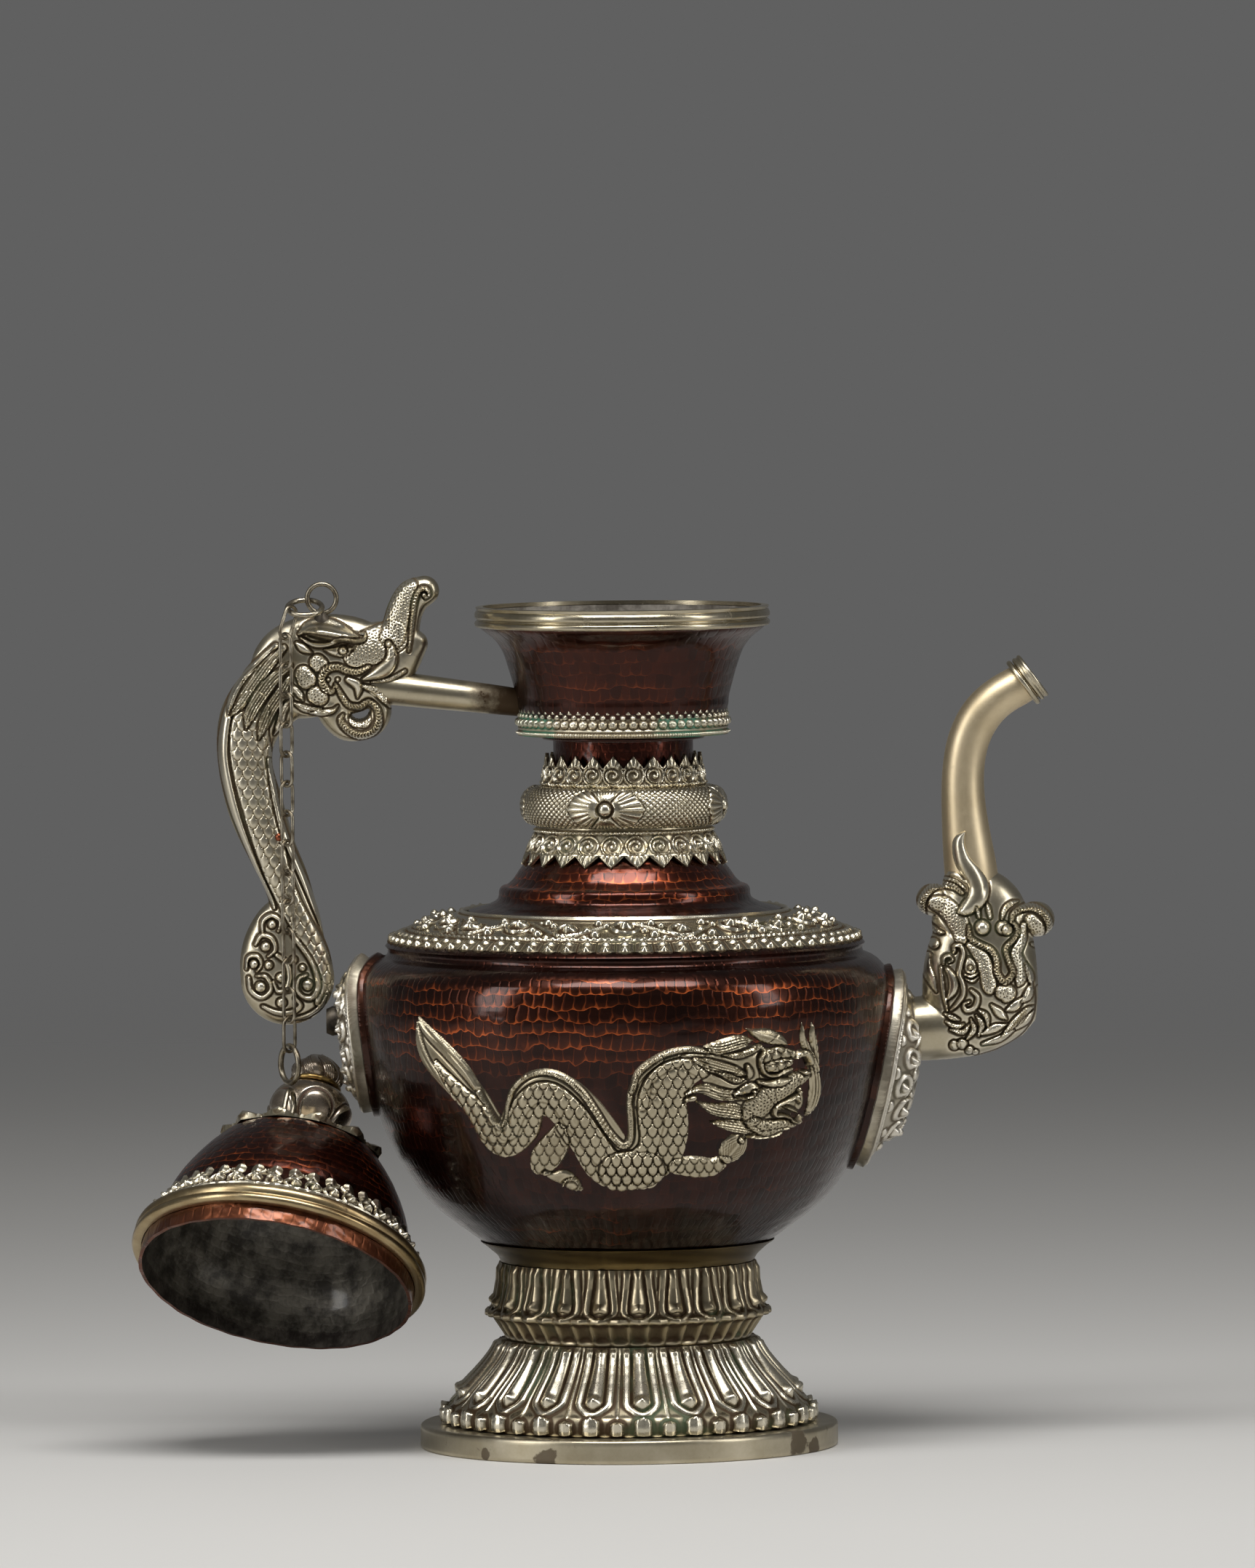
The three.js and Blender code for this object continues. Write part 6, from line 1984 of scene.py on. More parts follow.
SPOUT_HEAD: Stations = (
    (0.088, 0.03, 0.06, 0.3), (0.102, 0.05, 0.096, 0.36), (0.126, 0.075, 0.13, 0.43),
    (0.144, 0.107, 0.145, 0.484), (0.151, 0.164, 0.148, 0.5), (0.152, 0.221, 0.146, 0.484),
    (0.156, 0.271, 0.137, 0.452), (0.159, 0.314, 0.125, 0.419), (0.151, 0.364, 0.122, 0.403),
    (0.14, 0.4, 0.094, 0.385), (0.128, 0.44, 0.073, 0.355), (0.129, 0.475, 0.0645, 0.328),
    (0.124, 0.53, 0.0615, 0.305), (0.117, 0.59, 0.0565, 0.278),
)
SPOUT_JAW: Outline = (
    (94.0, 136.8), (107.0, 137.0), (116.1, 137.5), (126.5, 138.8), (132.0, 140.4), (136.5, 142.6),
    (142.2, 146.0),
    (146.4, 151.0), (149.5, 158.0), (158.0, 190.0),
)
PIPE: Path = (
    (0.135, 0.421, 0.069), (0.13, 0.489, 0.068), (0.121, 0.557, 0.063), (0.113, 0.636, 0.057),
    (0.11, 0.707, 0.054), (0.114, 0.764, 0.053), (0.123, 0.811, 0.053), (0.138, 0.85, 0.053),
    (0.158, 0.884, 0.053), (0.185, 0.914, 0.052), (0.219, 0.939, 0.051), (0.259, 0.959, 0.051),
    (0.293, 0.984, 0.051),
)
SPOUT_STROKES: Strokes = (
    (Look.LEAF, 1.2, 0.9, ((150, 890, 14), (138, 960, 28), (165, 1030, 28), (195, 1100, 8))),
    (Look.PITTED, 0.9, 1.2, ((185, 590, 40), (240, 610, 56), (320, 700, 60), (340, 790, 40))),
    (Look.ROUND, 1.2, 1, ((365, 470, 10), (310, 425, 15), (245, 425, 14), (215, 445, 6))),
    (Look.ROPED, 1.3, 1.15, ((360, 505, 10), (310, 465, 14), (240, 452, 13), (185, 470, 8))),
    (Look.ROPED, 1.8, 1.15, (
        (345, 530, 14), (295, 495, 20), (220, 486, 22), (152, 518, 24), (112, 582, 24), (116, 660, 22),
        (150, 718, 19), (205, 756, 15), (238, 762, 6),
    )),
    (Look.ROUND, 2.6, 1, (
        (358, 180, 10), (330, 222, 34), (326, 272, 42), (350, 350, 50), (400, 420, 57), (438, 490, 60),
        (428, 560, 58), (370, 618, 40), (325, 640, 10),
    )),
    (Look.PITTED, 1.0, 1.2, ((742, 690, 40), (780, 740, 44), (790, 790, 18))),
    (Look.RIBBED, 1.4, 0.9, ((572, 680, 8), (590, 625, 17), (630, 592, 15), (668, 582, 5))),
    (Look.RIBBED, 1.2, 0.9, ((505, 670, 12), (492, 615, 14), (485, 590, 5))),
    (Look.RIBBED, 1.2, 0.9, ((440, 668, 10), (432, 630, 14), (425, 610, 5))),
    (Look.ROPED, 1.9, 1.15, (
        (628, 700, 12), (640, 650, 18), (695, 622, 22), (765, 618, 23), (825, 660, 24), (850, 730, 22),
        (838, 800, 20), (782, 838, 14), (745, 828, 6),
    )),
    (Look.PITTED, 1.5, 1.2, (
        (385, 830, 20), (450, 890, 42), (482, 970, 44), (500, 1060, 44), (505, 1095, 18),
    )),
    (Look.PITTED, 1.5, 1.2, (
        (700, 720, 18), (690, 800, 28), (655, 880, 32), (680, 960, 42), (682, 1020, 36), (668, 1060, 12),
    )),
    (Look.PITTED, 1.8, 1.2, ((575, 1100, 44), (605, 1105, 50), (600, 1130, 34))),
    (Look.ROPED, 2.0, 1.15, (
        (382, 722, 10), (392, 790, 17), (450, 828, 18), (510, 860, 19), (542, 920, 19), (545, 990, 19),
        (590, 1042, 20), (636, 990, 18), (612, 920, 16), (595, 850, 16), (640, 800, 16), (665, 750, 17),
        (640, 705, 10),
    )),
    (Look.LEAF, 1.3, 0.8, ((380, 900, 6), (390, 950, 38), (402, 990, 14))),
    (Look.ROUND, 1.2, 1, ((358, 998, 7), (398, 1010, 10), (432, 990, 7))),
    (Look.ROUND, 1.2, 1, ((364, 1024, 7), (402, 1036, 10), (434, 1014, 7))),
    (Look.ROUND, 1.7, 1, (
        (296, 868, 12), (298, 838, 12), (335, 834, 14), (350, 880, 14), (336, 940, 15), (325, 1000, 15),
        (345, 1050, 16), (350, 1110, 15), (320, 1162, 13), (280, 1205, 7),
    )),
    (Look.ROUND, 1.3, 1, ((236, 940, 8), (240, 905, 10), (270, 892, 10), (288, 915, 8), (266, 930, 6))),
    (Look.LEAF, 1.5, 0.8, ((258, 970, 14), (292, 1030, 28), (290, 1090, 26), (250, 1150, 6))),
    (Look.ROUND, 1.2, 1, ((222, 960, 10), (228, 1040, 13), (238, 1120, 12), (258, 1210, 8))),
    (Look.ROUND, 1.4, 1, (
        (395, 1090, 10), (432, 1128, 14), (415, 1190, 17), (368, 1206, 14), (352, 1170, 10), (385, 1155, 7),
    )),
    (Look.RIBBED, 1.4, 1.0, ((245, 1228, 8), (290, 1250, 16), (325, 1262, 7))),
    (Look.RIBBED, 1.4, 1.0, ((252, 1272, 8), (310, 1302, 18), (352, 1288, 7))),
    (Look.RIBBED, 1.5, 1.0, ((278, 1318, 8), (348, 1332, 18), (388, 1290, 7))),
    (Look.RIBBED, 1.5, 1.0, ((372, 1372, 8), (412, 1318, 20), (395, 1258, 7))),
    (Look.RIBBED, 1.5, 1.0, ((440, 1352, 8), (458, 1288, 20), (425, 1234, 7))),
    (Look.RIBBED, 1.5, 1.0, ((492, 1300, 8), (482, 1240, 18), (440, 1205, 7))),
    (Look.LEAF, 1.4, 0.8, ((512, 1175, 8), (560, 1222, 26), (600, 1258, 6))),
    (Look.LEAF, 1.5, 0.8, ((600, 1205, 8), (650, 1182, 28), (692, 1135, 6))),
    (Look.LEAF, 1.5, 0.8, ((688, 1160, 8), (726, 1120, 28), (748, 1050, 6))),
    (Look.LEAF, 1.3, 0.8, ((712, 940, 8), (738, 1010, 22), (745, 1070, 5))),
    (Look.LEAF, 1.4, 0.8, ((455, 1345, 8), (530, 1312, 26), (602, 1288, 6))),
    (Look.RIBBED, 1.6, 0.8, ((575, 1358, 8), (648, 1282, 26), (718, 1212, 20), (758, 1190, 5))),
    (Look.LEAF, 1.3, 0.8, ((655, 1315, 8), (715, 1268, 22), (758, 1215, 5))),
    (Look.LEAF, 1.2, 0.8, ((462, 1402, 8), (560, 1372, 20), (645, 1322, 5))),
    (Look.ROUND, 1.1, 1, (
        (430, 1486, 6), (560, 1452, 14), (682, 1385, 16), (762, 1290, 15), (786, 1200, 13), (782, 1080, 8),
    )),
)
SPOUT_BALLS: Balls = (
    (183, 825, 32, 1.8, 0), (460, 728, 44, 3, 0), (578, 730, 40, 2.8, 0), (602, 742, 34, 2.8, 0),
    (390, 958, 16, 1.9, 0.5), (300, 1410, 30, 1.4, 0), (345, 1402, 32, 1.5, 0), (388, 1440, 26, 1.4, 0),
    (422, 1452, 18, 1.2, 0), (300, 858, 14, 1.9, 0),
)


@dataclass
class Spout:
    """The spout: a makara head on a stub that breathes out a bent pipe with a ring and a lipped cap."""

    corner: tuple[float, float] = (105.7, 137.0)
    height: float = 140.0
    depth: float = 26.5
    stub: Path = ((106.0, 148.6, 11.6), (120.0, 149.5, 12.2))
    stub_radius: float = 11.2
    ears: Stations = ((109.9, 194.7, 5.7, 8.4), (146.4, 187.4, 6.3, 8.4))
    bore: float = 5.4
    cap_radius: float = 9.1
    cap: float = 3.6
    ring_radius: float = 9.5
    ring: float = 1.9
    sheet: Sheet = Sheet(99.5, 230.5, 0.26 / 4.2)

    def on_tip(self, shop: Shop, name: str, node: str, profile: Outline, back: float) -> None:
        """Turn a ring on the end of the pipe.

        Args:
            shop: Where it is finished.
            name: Its name.
            node: The CAD node that it stands for.
            profile: Its outline.
            back: How far from the end it starts.
        """
        (x0, z0, _), (x1, z1, half) = self.line[-2], self.line[-1]
        lean = math.atan2(x1 - x0, z1 - z0)
        place = Vector((x1 - back * math.sin(lean), 0, z1 - back * math.cos(lean)))
        frame = Matrix.Translation(place) @ Matrix.Rotation(lean, 4, "Y")
        top = profile[-1][1]
        skin = turned(profile, 72, 0.25, None, back=[(half - 0.6, top), (half - 0.6, 0)])
        shop.place(name, skin.moved(frame), SILVERY, (node,))

    def build(self, shop: Shop) -> None:
        """Build the spout.

        Args:
            shop: Where it is finished and put in place.
        """
        (x, z), tall = self.corner, self.height
        self.line = [(x + along * tall, z + up * tall, half * tall) for along, up, half in PIPE]
        head = Chased(94.0, 130.0, 158.0, 230.0, pitch=0.28)
        stations = placed(SPOUT_HEAD, x, z, self.height, self.depth)
        head.form([row[:3] for row in stations], [row[3] for row in stations], 2.3)
        for left, up, half, deep in self.ears:
            head.form([(left, up, half), (left + 1, up, half)], deep, 2.3)
        head.form(self.stub, self.stub_radius, 2.0)
        head.cut_below(SPOUT_JAW, 5.0)
        head.depth = blurred(head.depth, 5, False)
        head.work(self.sheet, SPOUT_STROKES, SPOUT_BALLS)
        shop.place("spout_makara", head.sides(1.4), SILVERY, ("spout_head",))
        course = np.array(self.line)
        at = np.linspace(0, len(course) - 1, 60)
        course = np.stack([np.interp(at, np.arange(len(course)), column) for column in course.T], -1)
        for _ in range(6):
            course[1:-1] = (course[:-2] + 2 * course[1:-1] + course[2:]) / 4
        pipe = swept([(x, 0, z) for x, z, _ in course], course[:, 2], 40, bore=self.bore, deep=14)
        shop.place("pipe", pipe, PIPE_METAL, ("spout_pipe",))
        cap, ring = self.cap_radius, self.ring_radius
        lip = [
            (cap - 0.9, 0), (cap - 0.2, 0.4), (cap, 1.1), (cap - 0.5, 1.7), (cap - 0.4, 2.1), (cap, 2.7),
            (cap - 0.3, 3.4),
        ]
        self.on_tip(shop, "tip_cap", "spout_tip_cap", lip + [(cap - 1.2, self.cap)], self.cap - 0.4)
        bead = [(ring - 0.9, 0), (ring - 0.2, 0.3), (ring, 0.95), (ring - 0.2, 1.6), (ring - 0.9, self.ring)]
        self.on_tip(shop, "tip_ring", "spout_tip_ring", bead, self.cap - 0.1 + self.ring)


# Lid


@dataclass
class Lid:
    """The domed lid that hangs from its staple, mouth down, with its ring, band, leaf plate, knob and bud."""

    turn: float = math.radians(18.5)
    staple_out: float = 20.1
    staple_top: float = 67.4
    arch: float = 4.0
    wire: float = 1.0
    balance: float = 32.5
    hang: float = 2.6
    radius: float = 49.4
    height: float = 59.0
    skirt: float = 6.2
    rim_radius: float = 53.2
    rim_depth: float = 3.6
    scrolls: int = 42
    scroll_tip: float = 3.4
    lobes: int = 12
    lobe_tip: float = 3.0
    plate_width: float = 21.6
    dome: Outline = (
        (1, 0.1), (1, 0.23), (0.899, 0.38), (0.879, 0.475), (0.82, 0.593), (0.729, 0.729), (0.607, 0.864),
        (0.567, 0.898),
        (0.405, 0.953), (0.202, 0.99), (0.002, 1),
    )
    rim: Outline = (
        (1.0, 6.0), (0.3, 6.6), (0.0, 7.6), (0.3, 8.6), (0.9, 9.1), (0.5, 9.9), (0.3, 11.2), (0.8, 12.6),
        (2.0, 13.4),
    )
    band: Outline = ((49.9, 13.9), (48.6, 15.6), (45.0, 22.3), (44.4, 25.2))
    plate: Outline = ((30.0, 52.9), (21.0, 56.8), (12.0, 59.0), (8.0, 59.4))
    knob: Outline = ((8.4, 0), (11.7, 3.5), (14.4, 8.2), (15, 12.2), (12.9, 17.2), (8.4, 19.6))
    bud: Outline = ((7.5, 0), (9.2, 2.3), (9.1, 4.8), (6.4, 8.0), (2.6, 10.5), (0.02, 11.4))

    def frame(self, ring_foot: Vector) -> Matrix:
        """Give the lid's own frame, in millimetres, with its centre of gravity straight below its staple.

        Args:
            ring_foot: Where the wire of the ring lies lowest.

        Returns:
            The frame.
        """
        foot = ring_foot - Vector((0, 0, self.hang))
        high = self.staple_top - self.arch
        tilt = math.atan2(self.staple_out, high - self.balance)
        away, up = Vector((math.sin(self.turn), math.cos(self.turn), 0)), Vector((0, 0, 1))
        axis = away * math.sin(tilt) + up * math.cos(tilt)
        out = up * math.sin(tilt) - away * math.cos(tilt)
        place = foot - up * self.arch - axis * high - out * self.staple_out
        turned_to = Matrix((out, axis.cross(out), axis)).transposed().to_4x4()
        return Matrix.Translation(place) @ turned_to

    def scroll_relief(self, ground: Ground) -> Grid:
        """Give the relief of the pierced band of scrolls.

        Args:
            ground: The surface.

        Returns:
            The height over each place.
        """
        x, cell, number = ground.cell(self.scrolls)
        arc, length = ground.arc, ground.length
        side = np.where(number % 2 == 0, 1.0, -1.0)
        curl = 1.3 * spiral(x - 0.6, arc - 4.2, 3.5, 1.1, 1.0) + 1.2 * ball(x - 0.6, arc - 4.2, 1.5) / 1.5
        leaf = 1.2 * hill(np.hypot(x + 0.9 - 0.25 * (arc - 7), 0.5 * (arc - 7.6)), 1.5)
        stem = 0.9 * hill(x - 0.45 * cell * np.sin((arc - 1.5) * 0.55) * side, 0.9)
        foot = 1.0 * hill(arc - 1.0, 0.9)
        tip = 1.1 * np.clip(1 - np.abs(x) / (0.4 * cell), 0, 1) * smooth(length * 0.55, length * 0.75, arc)
        return np.maximum.reduce([curl, leaf, stem, foot, tip]) * smooth(length, length - 1.0, arc) - 0.5

    def lobe_relief(self, ground: Ground) -> Grid:
        """Give the raised pointed lobes of the leaf plate.

        Args:
            ground: The surface.

        Returns:
            The height over each place.
        """
        x, cell, _ = ground.cell(self.lobes)
        near = smooth(11.0, 4.0, ground.arc)
        ridge = 3.0 * np.clip(1 - np.abs(x) / (0.4 * cell), 0, 1) ** 0.8
        side = 0.9 * hill(np.abs(x) - 0.42 * cell, 1.5)
        edge = smooth(0.0, 2.0, ground.arc + 0.4)
        return near * np.maximum(ridge, side) * edge + 0.2 * np.cos(ground.arc * 2.2) * (1 - near)

    def knob_relief(self, ground: Ground) -> Grid:
        """Give the petals of the knob, outlined and hatched at their bases.

        Args:
            ground: The surface.

        Returns:
            The height over each place.
        """
        x, cell, _ = ground.cell(6)
        arc = ground.arc
        edge = np.hypot(x / (0.5 * cell), (arc - 14.0) / 11.0)
        groove = 0.7 * hill((edge - 0.92) * 6.0, 0.7)
        hatch = 0.22 * np.cos(150 * ground.turn) * smooth(8.0, 3.0, arc) * (edge < 0.95)
        return 0.8 * smooth(1.0, 0.7, edge) - groove + hatch

    def bud_relief(self, ground: Ground) -> Grid:
        """Give the swirling leaf petals of the bud.

        Args:
            ground: The surface.

        Returns:
            The height over each place.
        """
        swirl = ground.turn * 7 + 0.34 * ground.arc
        fine = 0.15 * np.cos(ground.turn * 70 + 4.2 * ground.arc)
        return 1.1 * np.abs(np.sin(swirl / 2)) ** 0.7 + fine * (np.sin(swirl) > 0) - 0.5

    def build(self, shop: Shop, ring_foot: Vector) -> None:
        """Build the lid.

        Args:
            shop: Where it is finished and hung.
            ring_foot: Where the wire of its ring lies lowest, in millimetres from the axis.
        """
        frame = self.frame(ring_foot)
        place = frame.translation.copy()
        level = Matrix.Rotation(math.atan(-frame[0][0] / frame[0][1]), 4, "Z")
        at = Matrix.Translation(shop.axis + place * MM) @ frame.to_3x3().to_4x4() @ level

        def put(name: str, skin: Skin, finish: Any, *nodes: str) -> None:
            """Put a piece of the lid in place."""
            shop.place(name, skin.moved(level.inverted()), finish, nodes, "lid", at)
        # fade sets the band of painted highlight on the dome's copper
        copper = HammeredCopper(
            radius=44.0, facet=(5.4, 3.0), fade=(22.0, 32.0, 56.0, 52.0), showing=1.0, warm=rgb(78, 33, 20),
            lined_above=12.0,
            tin=rgb(112, 107, 97), old_tin=rgb(52, 48, 42),
        )
        outline = smoothed(sized(self.dome, self.radius, self.height), 1)
        put("lid_dome", turned(outline, 300, 1.0, wavy(0.12), wall=1.2), copper, "lid_shell")
        bare = HammeredCopper(
            dark=rgb(84, 46, 29), warm=rgb(160, 96, 64), rosy=rgb(84, 56, 36), showing=0.0, roughness=0.26,
            lined_above=3.0, tin=rgb(92, 86, 78), old_tin=rgb(44, 38, 33), radius=49.0,
        )
        hem = [(self.radius, 0.0), (self.radius, self.skirt)]
        put("lid_skirt", turned(hem, 240, 0.5, wavy(0.25), wall=1.2, edges=self.hem_edge), bare)
        rim = [(self.rim_radius - inward, up) for inward, up in self.rim]
        hollow = self.rim_radius - self.rim_depth
        ring = turned(smoothed(rim), 300, 0.25, wavy(0.05), back=[(hollow, rim[-1][1]), (hollow, rim[0][1])])
        put("lid_rim", ring, WORN_GOLD, "lid_rim_ring")
        band = turned(
            smoothed(self.band), self.scrolls * 22, 0.3, self.scroll_relief, wall=0.5, edges=self.scroll_edge,
        )
        put("lid_scrolls", band, SILVERY, "lid_scroll_band")
        plate = turned(smoothed(self.plate), 360, 0.4, self.lobe_relief, wall=0.5, edges=self.lobe_edge)
        put("lid_leaves", plate, SILVERY, "lid_leaf_plate")
        foot = self.height + 0.3
        knob = [(out, foot + up) for out, up in self.knob]
        skin = turned(
            [(0.02, foot)] + smoothed(knob, 2) + [(0.02, knob[-1][1] + 0.1)], 300, 0.35, self.knob_relief,
        )
        put("knob", skin, SMOOTH_SILVER, "lid_knob")
        top = knob[-1][1] + 0.3
        wire = [
            (0.02, top), (9.0, top), (9.6, top + 0.5), (9.6, top + 1.4), (9.0, top + 1.9), (0.02, top + 1.9),
        ]
        put("knob_ring", turned(wire, 160, 0.25, wavy(0.1)), BRASS, "lid_knob_ring")
        bud = [(out, top + 2.2 + up) for out, up in self.bud]
        skin = turned([(0.02, bud[0][1])] + smoothed(bud, 2), 300, 0.3, self.bud_relief)
        put("bud", skin, SMOOTH_SILVER, "lid_bud")
        high = self.staple_top - self.arch
        turn = np.linspace(0, math.pi, 15)
        bend = [(self.arch * math.cos(a), high + self.arch * math.sin(a)) for a in turn]
        legs = [(self.arch, z) for z in np.linspace(55.4, high, 6)[:-1]]
        line = legs + bend + [(-self.arch, z) for z in np.linspace(high, 55.4, 8)[1:]]
        staple = swept([(self.staple_out + x, 0, z) for x, z in line], self.wire, 14)
        put("staple", staple, WIRE, "lid_staple")

    def hem_edge(self, turn: Grid) -> tuple[Grid, Grid]:
        """Give the wavy cut edge of the skirt."""
        return 0.22 + 0.2 * np.sin(11 * turn) * np.sin(17 * turn + 1), 0 * turn + self.skirt

    def scroll_edge(self, turn: Grid) -> tuple[Grid, Grid]:
        """Give the pointed upper edge of the band."""
        reach = sum(math.dist(a, b) for a, b in zip(self.band, self.band[1:]))
        return 0 * turn, reach - self.scroll_tip * zigzag(turn, self.scrolls, 0.0) ** 1.3

    def lobe_edge(self, turn: Grid) -> tuple[Grid, Grid]:
        """Give the pointed edge of the leaf plate."""
        return self.lobe_tip * zigzag(turn, self.lobes, 0.0) ** 0.8, 0 * turn + self.plate_width


# Mounts on the bowl


TAIL_STROKES: Strokes = (
    (Look.FLAT, 0.9, 1, (
        (398, 610, 8), (450, 730, 44), (540, 850, 68), (640, 950, 78), (720, 1060, 80), (790, 1170, 76),
        (860, 1190, 66),
    )),
    (Look.FLAT, 0.9, 1, (
        (890, 1180, 60), (935, 1060, 66), (1000, 960, 84), (1100, 940, 84), (1200, 985, 96),
        (1300, 1095, 110),
        (1400, 1230, 110), (1490, 1340, 96), (1580, 1320, 80), (1620, 1200, 84), (1640, 1060, 92),
    )),
    (Look.LEAF, 1.3, 0.9, (
        (395, 590, 3), (450, 670, 28), (560, 775, 34), (650, 870, 32), (715, 960, 22), (765, 1040, 6),
    )),
    (Look.LEAF, 1.3, 0.9, (
        (388, 620, 4), (405, 740, 24), (450, 850, 28), (520, 935, 26), (590, 1010, 18), (640, 1060, 5),
    )),
    (Look.RIBBED, 1.5, 0.8, (
        (730, 985, 14), (800, 1110, 17), (855, 1170, 17), (884, 1110, 18), (890, 1030, 19), (920, 950, 19),
        (1000, 882, 20), (1100, 864, 20), (1200, 897, 20), (1290, 977, 20), (1360, 1080, 20),
        (1430, 1190, 20),
        (1500, 1262, 20), (1540, 1240, 20), (1548, 1150, 20), (1540, 1040, 20), (1555, 950, 20),
        (1610, 862, 22),
        (1700, 790, 22),
    )),
    (Look.SCALED, 1.9, 3.4, ((1165, 1180, 40), (1140, 1260, 76), (1090, 1335, 84), (1060, 1380, 56))),
    (Look.ROUND, 1.6, 1, (
        (1090, 1420, 16), (1130, 1440, 26), (1190, 1450, 44), (1240, 1490, 34), (1285, 1515, 6),
    )),
    (Look.ROPED, 1.2, 0.9, (
        (1180, 1500, 6), (1200, 1462, 10), (1245, 1455, 10), (1272, 1490, 8), (1250, 1520, 5),
    )),
    (Look.SCALED, 2.3, 3.4, (
        (500, 830, 6), (560, 915, 26), (640, 1010, 46), (735, 1110, 60), (800, 1215, 72), (880, 1265, 78),
        (965, 1180, 88), (1000, 1060, 88), (1090, 1010, 94), (1200, 1080, 92), (1300, 1220, 96),
        (1400, 1370, 104),
        (1500, 1410, 104), (1620, 1400, 108),
    )),
)
DRAGON_STROKES: Strokes = (
    (Look.FLAT, 0.9, 1, (
        (190, 640, 50), (205, 500, 56), (270, 410, 62), (360, 350, 66), (460, 325, 60), (560, 330, 56),
    )),
    (Look.FLAT, 1.0, 1, (
        (517, 354, 70), (640, 380, 110), (760, 420, 165), (960, 490, 225), (1080, 560, 170), (1050, 690, 170),
    )),
    (Look.RIBBED, 1.5, 0.8, (
        (130, 560, 24), (160, 450, 25), (235, 372, 25), (330, 315, 25), (430, 284, 24), (540, 278, 22),
        (640, 295, 16),
    )),
    (Look.SCALED, 1.9, 3.2, (
        (430, 1080, 60), (560, 1090, 74), (660, 1095, 62), (725, 1065, 46), (770, 1040, 22),
    )),
    (Look.LEAF, 1.9, 1.2, ((755, 1045, 16), (790, 995, 76), (835, 940, 78), (880, 890, 22))),
    (Look.SCALED, 2.4, 3.4, (
        (40, 1110, 132), (190, 1085, 132), (310, 990, 150), (345, 860, 162), (340, 740, 170), (335, 620, 165),
        (385, 510, 146), (480, 440, 104), (590, 420, 56),
    )),
    (Look.COMBED, 1.7, 0.95, ((620, 262, 12), (720, 272, 54), (850, 238, 52), (935, 222, 10))),
    (Look.COMBED, 1.8, 0.95, ((545, 345, 16), (660, 390, 48), (790, 430, 46), (890, 455, 14))),
    (Look.COMBED, 1.7, 0.95, ((485, 575, 8), (600, 550, 38), (720, 590, 46), (850, 605, 32), (885, 625, 6))),
    (Look.COMBED, 1.8, 0.95, ((565, 638, 10), (680, 690, 44), (790, 710, 60), (885, 735, 40))),
    (Look.COMBED, 1.7, 0.95, ((655, 780, 6), (760, 800, 40), (870, 822, 50), (965, 852, 22))),
    (Look.COMBED, 1.6, 0.95, ((900, 892, 8), (1000, 882, 34), (1090, 872, 36), (1175, 838, 6))),
    (Look.LEAF, 1.9, 0.8, ((902, 148, 5), (970, 182, 34), (1050, 205, 54), (1130, 235, 36), (1172, 270, 6))),
    (Look.COMBED, 1.5, 0.95, ((1345, 125, 3), (1350, 220, 24), (1362, 320, 26), (1375, 440, 26))),
    (Look.COMBED, 1.6, 0.95, (
        (1278, 125, 3), (1282, 220, 20), (1305, 300, 32), (1345, 400, 34), (1368, 500, 38), (1368, 610, 42),
        (1345, 700, 30), (1305, 765, 4),
    )),
    (Look.PITTED, 2.2, 1.2, (
        (920, 760, 50), (960, 690, 86), (1040, 620, 84), (1130, 570, 70), (1220, 520, 60), (1290, 480, 40),
    )),
    (Look.PITTED, 2.1, 1.2, (
        (940, 790, 50), (1020, 830, 56), (1110, 815, 46), (1200, 810, 34), (1262, 785, 12),
    )),
    (Look.RIBBED, 2.0, 0.9, ((740, 318, 7), (830, 326, 24), (920, 302, 22), (985, 268, 22), (1005, 290, 10))),
    (Look.RIBBED, 2.0, 0.9, ((688, 432, 6), (770, 466, 26), (830, 492, 26), (875, 482, 8))),
    (Look.ROUND, 2.0, 1, ((900, 400, 14), (916, 445, 26), (905, 482, 10))),
    (Look.ROUND, 1.9, 1, ((495, 620, 20), (540, 612, 24), (560, 600, 8))),
    (Look.SCALED, 2.3, 3.2, ((1035, 345, 46), (1110, 325, 54), (1195, 335, 40))),
    (Look.SCALED, 2.2, 3.2, ((1050, 412, 38), (1120, 400, 42), (1185, 385, 28))),
    (Look.ROUND, 2.3, 1, (
        (1018, 290, 10), (988, 350, 14), (996, 420, 14), (1032, 464, 14), (1090, 470, 14), (1150, 442, 13),
        (1200, 424, 10),
    )),
    (Look.ROUND, 2.4, 1, ((975, 512, 14), (1050, 522, 24), (1120, 512, 30), (1168, 498, 12))),
    (Look.LEAF, 2.1, 0.8, ((805, 588, 5), (870, 565, 30), (930, 545, 36), (975, 545, 8))),
    (Look.ROUND, 2.2, 1, ((812, 598, 5), (880, 618, 9), (940, 594, 9), (975, 556, 5))),
    (Look.FLAT, 0.4, 1, (
        (1120, 700, 16), (1180, 690, 34), (1240, 690, 40), (1262, 650, 30), (1270, 610, 16),
    )),
    (Look.ROUND, 1.5, 1, ((1150, 690, 8), (1195, 708, 15), (1240, 735, 12))),
    (Look.ROUND, 1.6, 1, ((1236, 620, 9), (1252, 652, 12), (1258, 672, 4))),
    (Look.ROUND, 2.5, 1, (
        (1272, 590, 10), (1235, 615, 14), (1155, 650, 15), (1088, 690, 15), (1082, 738, 14), (1135, 744, 13),
        (1185, 765, 13), (1222, 796, 12), (1268, 762, 8),
    )),
    (Look.ROUND, 2.4, 1, (
        (1225, 360, 12), (1258, 335, 26), (1300, 340, 28), (1322, 385, 20), (1312, 415, 8),
    )),
)
DRAGON_BALLS: Balls = (
    (942, 573, 15, 2.5, 0), (1290, 443, 38, 2.6, 16), (1250, 576, 24, 2.7, 9), (862, 908, 22, 2, 10),
)


